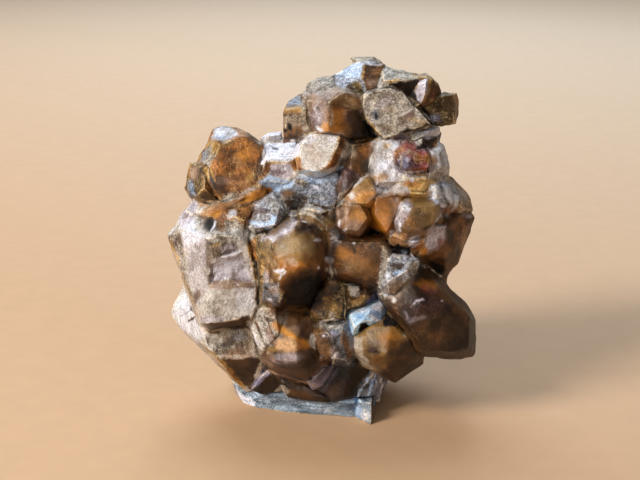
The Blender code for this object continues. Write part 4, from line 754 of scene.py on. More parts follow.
def facets_to_grow(crystal):
    """The numbers of the facets that look at a near neighbour, but don't lie inside it."""
    chosen = []
    for ring, facet in crystal["rings"]:
        gap = gaps_of_facet(crystal, ring, facet)
        if gap.max() > 0 and (gap < MEET_WITHIN).mean() > MOST_OF_IT:
            chosen.append(facet)
    return chosen


growing = [
    (crystal, facets_to_grow(crystal))
    for crystal in crystals
    if not crystal["name"].startswith(KEEP_SIZE)
]
for crystal, chosen in growing:
    for facet in chosen:
        normal, reach = crystal["facets"][facet]
        if normal[2] > STRAIGHT_DOWN:
            crystal["facets"][facet] = (normal, reach + GROW_BY)
    set_planes(crystal)
slice_all()
print("facets that grew:", sum(len(chosen) for _, chosen in growing))

# %% [markdown]
# ## The mesh of a crystal
# The facets' grids share the points of their rims, so a crystal's surface is closed as it is made.
# A facet that lies deep inside its neighbours never shows, and keeps only its rim.

# %% Mesh of a crystal
HIDDEN_BY = 0.3
INSIDE_ONLY, SAME_SPOT = 1, 1e-9


def crystal_mesh(crystal, pitch):
    """The points and triangles of a crystal. A facet that its neighbours hide keeps only its rim."""
    corners = crystal["corners"]
    edges = sorted({
        (min(pair), max(pair))
        for ring, _ in crystal["rings"]
        for pair in zip(ring, ring[1:] + ring[:1])
    })
    on_edges, numbers = edge_points(corners, edges, pitch)
    points, triangles = [on_edges], []
    count = len(on_edges)
    for ring, facet in crystal["rings"]:
        rim = []
        for low, high in zip(ring, ring[1:] + ring[:1]):
            rim.append(low)
            rim += numbers[low, high] if low < high else numbers[high, low][::-1]
        normal = crystal["normals"][facet]
        spots, inner = facet_grid(corners[ring], normal, pitch)
        if (gaps_of_facet(crystal, ring, facet) < -HIDDEN_BY).all():
            spots, inner = spots[:0], inner[:0]
        ahead = unit(corners[ring[1]] - corners[ring[0]])
        beside = np.cross(normal, ahead)
        rim_at = on_edges[rim] - corners[ring[0]]
        flat = np.concatenate([np.stack([rim_at @ ahead, rim_at @ beside], axis=1), spots])
        order = [*range(len(rim))]
        loop = list(zip(order, order[1:] + order[:1]))
        made = delaunay_2d_cdt([Vector(spot) for spot in flat], loop, [], INSIDE_ONLY, SAME_SPOT)
        index = np.array([*rim, *range(count, count + len(inner))])
        origin = np.array([first[0] for first in made[3]])
        triangles.append(index[origin[np.array(made[2])]])
        points.append(inner)
        count += len(inner)
    return np.concatenate(points), np.concatenate(triangles)

# %% [markdown]
# ## Clouds
# Stone has no two spots alike, so most of what follows asks for a smooth random number at a place.
# Value noise gives that: a random number at each corner of a lattice, blended in between. A few
# layers, each finer and weaker, make a cloud.

# %% Noise in arrays
# Large odd numbers stir the bits of a lattice number, until neighbours have nothing in common.
STIR = np.array([374761393, 668265263, 2246822519, 3266489917], np.uint32)
HALF_RANGE = 2.0**31
LAYER_SHIFT = 17.3
CELL_CORNERS = [np.array([n & 1, n >> 1 & 1, n >> 2 & 1]) for n in range(8)]


def lattice_number(cells, seed):
    """A number from -1 to 1 for each cell: its three whole numbers, stirred by a hash."""
    mixed = (cells.astype(np.uint32) * STIR[:3]).sum(axis=1, dtype=np.uint32)
    mixed = mixed + np.uint32(seed * int(STIR[3]) % 2**32)
    mixed = (mixed ^ (mixed >> np.uint32(15))) * STIR[2]
    mixed = (mixed ^ (mixed >> np.uint32(13))) * STIR[3]
    return (mixed ^ (mixed >> np.uint32(16))) / HALF_RANGE - 1.0


def smooth(share):
    """0 below 0, 1 above 1, and an even S between them."""
    share = np.clip(share, 0.0, 1.0)
    return share * share * (3.0 - 2.0 * share)


def cloud(points, size, seed, layers):
    """Layers of blended lattice numbers, each half as large and half as strong, about -1 to 1."""
    total = np.zeros(len(points))
    for layer in range(layers):
        scaled = points * (2.0**layer / size) + LAYER_SHIFT * (seed + layer)
        cell = np.floor(scaled).astype(np.int64)
        part = smooth(scaled - cell)
        value = np.zeros(len(points))
        for step in CELL_CORNERS:
            weight = np.prod(np.where(step, part, 1.0 - part), axis=1)
            value += weight * lattice_number(cell + step, seed + layer)
        total += value * 0.5**layer
    return total


def unit_rows(vectors):
    """Each row divided by its own length."""
    return vectors / np.linalg.norm(vectors, axis=1)[:, None]

# %% [markdown]
# ## Finishes
# A finish is what one facet, or one mark on it, looks like: the deep and the pale colour of the
# stone, the colour of the film of dust or frost on it and how much of it there is, how rough the
# bare stone is, how much relief it has in millimetres, how grainy it is, how waxy (light goes in
# and comes out beside), how clear, how high the small crystals on it stand, and how much its film
# glints. A finish is one row of numbers, so that finishes blend by plain sums.

# %% The palette
def linear(*colour):
    """A colour as the eye names it, 0 to 255, turned into light."""
    share = np.array(colour) / 255.0
    return list(np.where(share > 0.04045, ((share + 0.055) / 1.055) ** 2.4, share / 12.92))


# Where each of them stands in the row.
DEEP, PALE, FILM = slice(0, 3), slice(3, 6), slice(6, 9)
COVER, ROUGH, RELIEF, GRIT, WAXY, CLEAR, CRUMB, GLOSS = range(9, 17)


def finish(deep, pale, film, cover, rough, relief, grit, waxy=0.0, clear=0.0, crumb=0.0, gloss=0.2):
    """The row: three colours as light, and then the single numbers."""
    return np.array([
        *linear(*deep), *linear(*pale), *linear(*film), cover, rough, relief, grit, waxy, clear,
        crumb, gloss,
    ])


# Some finishes paint light and shade: glow is light shining through the stone, milk the pale haze where
# light enters it, black the shade in pits, holes and gaps, and dark, mostly, the shade on faces that turn
# away from the light. White in small spots paints glints, and sky is the blue of feldspar but paints the
# sky's reflection on faces that look up.
FINISHES = {
    "tan": finish((112, 99, 84), (164, 151, 134), (200, 193, 184), 0.4, 0.65, 0.04, 0.9, crumb=0.03),
    "dusty": finish(
        (98, 84, 68), (148, 134, 114), (186, 180, 168), 0.45, 0.65, 0.04, 0.9, crumb=0.05),
    "olive": finish((74, 56, 30), (126, 100, 60), (176, 154, 114), 0.22, 0.55, 0.035, 1.0, crumb=0.03),
    "bronze": finish((112, 84, 52), (168, 136, 96), (210, 188, 150), 0.2, 0.45, 0.02, 0.6),
    "gold": finish((138, 100, 46), (202, 160, 90), (230, 206, 156), 0.2, 0.45, 0.02, 0.6),
    "orange": finish((106, 64, 26), (168, 108, 46), (206, 164, 106), 0.16, 0.5, 0.03, 0.9, 0.3),
    "glow": finish((166, 104, 30), (214, 148, 54), (220, 168, 88), 0.02, 0.4, 0.015, 0.3, 0.7),
    "amber": finish((118, 70, 18), (174, 110, 30), (182, 124, 50), 0.02, 0.4, 0.015, 0.3, 0.7),
    "honey": finish((100, 74, 38), (148, 114, 64), (176, 152, 108), 0.05, 0.4, 0.015, 0.3, 0.7),
    "milk": finish((134, 110, 74), (172, 146, 104), (190, 174, 142), 0.06, 0.4, 0.015, 0.3, 0.7),
    "peach": finish((156, 114, 72), (204, 160, 112), (224, 204, 176), 0.16, 0.4, 0.02, 0.5, 0.6),
    "brown": finish((70, 45, 22), (116, 78, 40), (152, 118, 76), 0.06, 0.5, 0.025, 0.7, 0.3),
    "mocha": finish((54, 36, 22), (96, 66, 42), (126, 104, 82), 0.03, 0.42, 0.015, 0.4, 0.6),
    "umber": finish((46, 31, 19), (82, 57, 35), (126, 104, 82), 0.05, 0.45, 0.02, 0.6, 0.2),
    "dark": finish((24, 16, 10), (50, 34, 22), (92, 78, 66), 0.03, 0.4, 0.012, 0.4),
    "black": finish((6, 4, 3), (18, 12, 8), (44, 36, 30), 0.0, 0.6, 0.03, 0.8, crumb=0.08),
    "plum": finish((64, 44, 42), (104, 76, 72), (150, 132, 136), 0.12, 0.35, 0.03, 0.8),
    "wine": finish((48, 30, 26), (86, 58, 52), (150, 130, 140), 0.05, 0.3, 0.02, 0.6, 0.2, gloss=0.8),
    "red": finish((100, 44, 44), (150, 82, 70), (190, 160, 174), 0.08, 0.2, 0.015, 0.5, 0.5),
    "rose": finish((136, 108, 88), (184, 154, 132), (208, 196, 190), 0.2, 0.4, 0.02, 0.45, 0.4),
    "icy": finish(
        (176, 166, 160), (212, 208, 208), (238, 238, 246), 0.3, 0.25, 0.03, 0.4, 0.5, 0.12, 0.06, 0.9),
    "white": finish((190, 187, 192), (216, 215, 222), (226, 226, 236), 0.8, 0.45, 0.02, 0.4),
    "ivory": finish(
        (150, 148, 122), (206, 204, 190), (238, 240, 234), 0.5, 0.4, 0.04, 0.6, crumb=0.16, gloss=0.6),
    "frost": finish(
        (100, 92, 86), (144, 138, 136), (200, 206, 222), 0.42, 0.35, 0.05, 0.9, crumb=0.14, gloss=0.9),
    "sky": finish((118, 144, 180), (170, 196, 228), (208, 228, 252), 0.45, 0.4, 0.03, 0.5, crumb=0.03),
    "slate": finish((80, 82, 88), (122, 124, 132), (160, 166, 180), 0.35, 0.45, 0.04, 0.9, crumb=0.04),
    "fog": finish(
        (132, 130, 130), (180, 180, 184), (222, 226, 236), 0.3, 0.35, 0.03, 0.4, 0.6, gloss=0.8),
    "violet": finish((98, 94, 118), (142, 138, 160), (180, 178, 202), 0.15, 0.3, 0.01, 0.3),
    "lilac": finish((140, 127, 132), (188, 177, 184), (220, 215, 226), 0.4, 0.45, 0.03, 0.5, crumb=0.04),
    "cream": finish((152, 140, 124), (200, 191, 179), (220, 215, 211), 0.5, 0.55, 0.03, 0.4),
    "feldspar": finish((116, 172, 228), (176, 222, 255), (208, 236, 255), 0.5, 0.45, 0.03, 0.3),
    "foot": finish((82, 96, 108), (130, 146, 160), (190, 204, 216), 0.3, 0.5, 0.05, 0.6),
}

LOBES = {
    "crown": {
        "crown_stub": "brown", "crown_front": "brown", "crown_back": "frost",
        "crown_flake": "dusty", "crown_block": "dusty", "crown_prism": "bronze",
        "crown_tab": "olive", "crown_plate": "tan", "crown_under": "dark",
    },
    "left": {
        "left_knob": "orange", "left_tab": "olive", "ledge": "peach", "under_ledge": "orange",
        "left_collar": "lilac", "left_prism": "cream", "left_wedge": "cream", "left_toe": "dark",
    },
    "middle": {
        "middle": "honey", "middle_flank": "olive", "middle_seam": "frost",
        "middle_cap": "dusty", "brown_block": "brown", "olive_tall": "olive",
        "olive_small": "olive", "olive_tooth": "olive", "white_faced": "cream",
        "pale_crystal": "cream", "dark_gap": "brown", "grey_slab": "slate",
        "brown_wedge": "plum", "rough_high": "dusty", "rough_low": "honey",
        "sparkle_lump": "frost", "tan_sliver": "cream",
    },
    "right": {
        "pale_block": "icy", "red_crystal": "red", "pale_corner": "icy",
        "right_shoulder": "bronze", "right_flank": "brown", "honey_block": "honey",
        "orange_wedge": "amber", "orange_slope": "peach", "brown_ball": "brown",
        "frosted_lip": "peach", "rose_ledge": "gold", "shoulder_lump": "fog",
        "right_dark": "umber", "right_frosted": "frost", "right_ball": "honey",
    },
    "bottom": {
        "bottom_fluted": "tan", "bottom_middle": "mocha", "bottom_tooth": "brown",
        "bottom_grey": "slate", "bottom_dark": "dark", "bottom_lilac": "violet",
        "bottom_fan": "slate", "bottom_under": "dark",
    },
}
lobe_of = {name: lobe for lobe, members in LOBES.items() for name in members}
finish_of = {name: named for members in LOBES.values() for name, named in members.items()}
print(len(FINISHES), "finishes for", len(finish_of), "front crystals")

# %% [markdown]
# ## What is seen
# A mark belongs on the stone that the eye sees at its place. The ray enters a crystal at the last
# of the planes that it crosses inwards, and the first of all entries is the place that is seen.

# %% Pick by sight
FAR = 1e9


def first_seen(across, up, bodies):
    """The place on the bodies that the eye sees at (across, up)."""
    way = unit(PLATE_AT + across * PLATE_RIGHT + up * PLATE_UP - EYE)
    nearest = FAR
    for crystal in bodies:
        slope = crystal["normals"] @ way
        share = (crystal["reaches"] - crystal["normals"] @ EYE) / slope
        enter = np.where(slope < 0, share, -FAR).max()
        leave = np.where(slope > 0, share, FAR).min()
        if enter < min(leave, nearest):
            nearest = enter
    return EYE + nearest * way

# %% [markdown]
# ## Marks
# On top of its finish a crystal carries marks: a spot is a soft ellipse, a patch has corners, and
# a line is a crack, a rim or a stripe that may sink or rise. Places are read off in millimetres on
# the plate. A mark lands on the crystal that the eye sees there, and reaches only a little in front
# of it and behind it.

# %% Kinds of marks
# Many marks paint light and shade into the colour: small white spots are glints, thin gold, cream and white
# lines on edges are highlights, glow is light coming through the stone, and black and dark marks stand for
# shade in pits, holes, gaps and under overhangs.
def spot(name, across, up, wide, high, turn=0.0, much=1.0, soft=0.5):
    """An ellipse: half its width and half its height, turned by some degrees."""
    reach = max(wide, high)
    return {"paint": name, "much": much, "soft": soft * min(wide, high) * 2, "rise": 0.0,
            "at": (across, up), "size": (wide, high), "turn": math.radians(turn),
            "low": np.array((across - reach, up - reach)),
            "high": np.array((across + reach, up + reach))}


def patch(name, *corners, much=1.0, soft=0.18, rise=0.0):
    """What lies within the corners, with a rim that fades over the soft width."""
    corners = np.array(corners)
    return {"paint": name, "much": much, "soft": soft, "rise": rise, "corners": corners,
            "at": corners.mean(axis=0), "low": corners.min(axis=0), "high": corners.max(axis=0)}


def line(name, width, *track, rise=0.0, much=1.0):
    """What lies within half the width of a track of straight pieces."""
    track = np.array(track)
    return {"paint": name, "much": much, "soft": width, "rise": rise, "track": track,
            "width": width, "at": track[len(track) // 2], "low": track.min(axis=0) - width,
            "high": track.max(axis=0) + width}


def to_segments(seen, starts, ends):
    """The distance from each place to the nearest of some straight pieces."""
    best = np.full(len(seen), FAR)
    for start, end in zip(starts, ends):
        run = end - start
        share = np.clip((seen - start) @ run / (run @ run), 0.0, 1.0)
        best = np.minimum(best, np.linalg.norm(seen - start - share[:, None] * run, axis=1))
    return best


def within(mark, seen):
    """How far inside a mark's rim each place is, in millimetres, below 0 outside. A place is inside
    a patch if a level line from it crosses the rim an odd number of times."""
    if "track" in mark:
        return 0.5 * mark["width"] - to_segments(seen, mark["track"][:-1], mark["track"][1:])
    if "corners" in mark:
        starts, ends = mark["corners"], np.roll(mark["corners"], -1, axis=0)
        inside = np.zeros(len(seen), bool)
        for start, end in zip(starts, ends):
            spans = (start[1] > seen[:, 1]) != (end[1] > seen[:, 1])
            slope = (end[0] - start[0]) / (end[1] - start[1] + 1e-9)
            inside ^= spans & (seen[:, 0] < start[0] + (seen[:, 1] - start[1]) * slope)
        return np.where(inside, 1.0, -1.0) * to_segments(seen, starts, ends)
    flat = seen - np.array(mark["at"])
    cos, sin = math.cos(mark["turn"]), math.sin(mark["turn"])
    wide, high = mark["size"]
    away = np.hypot((flat @ (cos, sin)) / wide, (flat @ (-sin, cos)) / high)
    return (1.0 - away) * min(wide, high)

# %% [markdown]
# ### The crown
# The highest lobe is the most weathered one: a cracked grey-brown plate, dusty tops, and one
# smooth crystal that still glows like amber low at its left, a glow painted as light in its colour.

# %% Marks of the crown
CROWN_MARKS = [
    # The stub: a grey cap, a tan band, and a striped brown front with pits, painted black for the
    # shade in them.
    patch("slate", (-3.4, 31.9), (-3.1, 32.6), (-2.4, 33.1), (-1.6, 32.6), (-1.4, 31.9)),
    patch("gold", (-3.8, 31.2), (-3.8, 31.9), (-1.4, 31.9), (-1.5, 31.2), much=0.6, soft=0.4),
    patch("tan", (-3.7, 29.8), (-3.7, 31.2), (-1.6, 31.2), (-1.7, 29.8), much=0.6, soft=0.5),
    line("umber", 0.16, (-2.2, 31.1), (-2.3, 28.6)), line("umber", 0.14, (-1.8, 31.0), (-1.9, 28.8)),
    spot("black", -3.5, 31.0, 0.28, 0.16), spot("black", -3.0, 31.0, 0.28, 0.13),
    spot("black", -3.0, 29.8, 0.20, 0.32, 20), spot("black", -3.5, 29.4, 0.14, 0.16),
    spot("black", -3.5, 28.7, 0.12, 0.20), spot("dark", -2.9, 28.6, 0.5, 0.3, 0, 0.7),
    # The front crystal: dusty shoulders, a glassy grey left, amber going to dark on the right, a glow
    # painted as light low at its left, and white and peach streaks painted as highlights.
    patch("dusty", (-2.0, 32.8), (-1.6, 34.3), (-0.2, 35.0), (1.4, 35.2), (1.5, 33.3), (-0.3, 33.1),
          soft=0.4),
    patch("tan", (0.0, 33.2), (0.1, 34.5), (1.0, 34.5), (1.2, 33.2), much=0.8, soft=0.25),
    patch("dusty", (1.2, 33.4), (1.4, 34.2), (2.8, 33.9), (3.2, 33.2), (2.2, 33.1), much=0.7),
    patch("frost", (1.2, 35.1), (1.5, 34.1), (2.5, 33.7), (3.3, 34.2), (3.2, 35.0), (1.8, 35.3)),
    patch("rose", (-1.6, 31.6), (-1.6, 33.4), (1.2, 33.6), (3.2, 33.3), (1.0, 32.2), (0.8, 31.6),
          much=0.6, soft=0.7),
    patch("dusty", (-1.8, 29.2), (-1.9, 33.0), (-1.0, 32.9), (-0.9, 29.3), much=0.7, soft=0.4),
    spot("lilac", -0.2, 30.9, 0.8, 1.2, 0, 0.6), spot("rose", 0.6, 31.6, 0.6, 0.8, 0, 0.5),
    spot("amber", 1.7, 31.2, 0.9, 1.4, 10, 0.5),
    patch("bronze", (1.0, 32.5), (2.2, 33.3), (3.4, 32.8), (4.1, 31.6), (3.3, 31.3), (2.0, 31.9),
          much=0.8, soft=0.6),
    spot("glow", 0.4, 29.7, 0.6, 0.4, 25, 0.8), spot("amber", 1.6, 29.6, 0.7, 0.5, 0, 0.6),
    spot("umber", 3.6, 30.9, 0.6, 0.8, 0, 0.6), spot("plum", 2.7, 30.9, 0.6, 0.7, 0, 0.5),
    patch("dark", (2.8, 28.4), (3.1, 30.4), (3.9, 31.4), (4.5, 31.6), (4.6, 28.3), soft=1.0),
    line("white", 0.24, (-0.6, 31.7), (-0.3, 31.0), (-0.1, 30.5), (-0.4, 29.9), (0.1, 29.4)),
    line("peach", 0.24, (0.5, 30.8), (0.2, 29.9)), line("umber", 0.24, (-0.2, 31.7), (0.3, 30.9)),
    line("dusty", 0.24, (0.9, 32.8), (0.8, 31.8), (1.2, 31.0), (1.1, 30.0), much=0.6),
    line("umber", 0.22, (-1.4, 32.2), (-1.2, 30.8), (-0.9, 29.4), rise=-0.05, much=0.8),
    line("white", 0.18, (-0.3, 34.9), (0.5, 35.0), (1.5, 35.1), rise=0.03),
    # Behind: a blue-white frosted face, its blue a painted reflection of the sky, and a mottled brown
    # one; gold and white lines on its edges are painted highlights.
    patch("sky", (1.6, 34.9), (2.4, 35.8), (3.6, 36.3), (4.2, 36.1), (4.2, 34.9), (3.3, 34.6),
          much=0.75),
    patch("brown", (4.3, 36.2), (6.3, 36.2), (6.5, 35.7), (5.6, 33.6), (4.6, 33.3), (4.1, 34.6)),
    spot("rose", 5.1, 34.2, 0.5, 0.4, 0, 0.5), spot("dark", 5.3, 35.8, 0.25, 0.2),
    patch("olive", (2.9, 33.8), (3.5, 34.4), (4.1, 34.5), (4.4, 33.2), (4.2, 32.6), (3.4, 33.2)),
    line("gold", 0.16, (4.4, 36.0), (4.3, 35.2), (4.1, 34.5)),
    line("white", 0.14, (1.7, 35.1), (2.7, 35.8), (3.9, 36.3), (6.3, 36.1), rise=0.02),
    # The block: a dusty top with a golden edge, and dark below: shade painted on its undercut.
    patch("gold", (8.9, 35.4), (10.8, 35.2), (12.1, 34.0), (12.3, 33.3), (11.3, 34.3), (10.4, 34.7),
          (9.3, 34.7), much=0.85),
    patch("dark", (7.0, 34.1), (9.6, 34.6), (10.0, 34.4), (9.6, 33.5), (9.9, 32.2), (8.2, 33.2),
          (7.5, 33.8)),
    line("gold", 0.16, (6.9, 34.3), (8.2, 34.6), (9.3, 34.8)),
    line("cream", 0.14, (6.4, 35.8), (6.1, 34.9), (5.8, 33.9), rise=0.02),
    # The small prism and the square tab at the right: gold lines on their edges are painted
    # highlights, and the black patch below the prism is its painted shadow.
    patch("lilac", (9.9, 34.3), (10.8, 34.7), (10.9, 33.5), (10.2, 32.1), (9.8, 32.4), (9.5, 33.3)),
    patch("white", (10.0, 34.3), (10.7, 34.6), (10.6, 33.9), (9.9, 33.8), much=0.7),
    patch("brown", (11.0, 34.4), (11.9, 33.7), (12.0, 33.0), (11.0, 32.6), (10.5, 32.2),
          (11.0, 33.5)),
    line("gold", 0.14, (10.8, 34.7), (11.0, 33.5), (10.3, 32.3)),
    line("gold", 0.16, (11.9, 33.0), (13.5, 33.3), rise=0.02),
    patch("orange", (13.5, 33.3), (14.1, 33.0), (14.1, 30.2), (13.4, 30.0)),
    line("gold", 0.12, (13.5, 33.2), (13.6, 31.6), (13.4, 30.1), rise=0.02),
    line("brown", 0.12, (13.0, 32.8), (13.1, 30.4)),
    patch("black", (9.9, 32.2), (10.4, 31.8), (11.3, 30.6), (11.9, 29.9), (11.3, 29.6), (10.3, 31.2)),
    spot("slate", 11.3, 30.6, 0.35, 0.45, 20),
    # The big plate: mottled, with a pale rim painted as a highlight, a dark spot, brown cracks and a
    # black one below.
    spot("slate", 5.6, 31.0, 0.35, 0.5), spot("dark", 5.65, 30.9, 0.14, 0.3),
    spot("brown", 6.5, 29.7, 0.7, 0.4, -20, 0.4), spot("brown", 8.7, 30.8, 0.8, 0.5, 30, 0.5),
    spot("plum", 8.9, 31.1, 0.4, 0.25, 30, 0.7), spot("plum", 8.2, 30.1, 0.5, 0.25, 10, 0.6),
    spot("gold", 9.9, 30.3, 0.7, 0.25, -20, 0.4), spot("lilac", 6.3, 32.2, 0.9, 0.4, 30, 0.4),
    spot("brown", 5.2, 32.6, 0.35, 0.2, 0, 0.4), spot("olive", 7.1, 31.4, 0.3, 0.6, 0, 0.4),
    line("cream", 0.12, (8.0, 30.9), (8.9, 31.4), (9.7, 31.8)),
    line("black", 0.22, (8.0, 29.2), (9.2, 29.5), (10.0, 29.7), (10.9, 30.0), rise=-0.12),
    line("cream", 0.14, (8.1, 33.4), (9.6, 31.9), (11.4, 30.0), rise=0.03),
    line("gold", 0.18, (4.3, 31.0), (5.2, 29.9), (6.0, 29.0), rise=0.02),
    patch("black", (4.2, 32.6), (4.2, 30.9), (5.9, 28.9), (6.0, 28.6), (4.2, 28.6), soft=0.3),
    spot("plum", 7.6, 28.6, 0.7, 0.35, 0), spot("slate", 8.1, 28.9, 0.3, 0.25),
    patch("dark", (9.7, 28.2), (11.0, 28.5), (11.8, 28.9), (11.5, 27.6), (9.7, 27.6)),
    line("orange", 0.2, (11.7, 28.8), (11.5, 27.8)),
    spot("white", 11.3, 29.2, 0.9, 0.3, 25), spot("olive", 9.2, 28.6, 0.4, 0.45, 0, 0.6),
    spot("black", 10.2, 29.35, 0.4, 0.12, 25), spot("violet", 11.9, 30.6, 0.2, 0.5, 30, 0.6),
    spot("cream", 9.8, 28.2, 0.3, 0.25), spot("slate", 9.6, 29.2, 0.5, 0.2, 15, 0.6),
]

# %% [markdown]
# ### The left
# A grainy amber knob stands over one tall pale prism. The lilac crust of the prism lies in a
# hollow that really sinks, so that it has shade from any side, and so do the cracks.

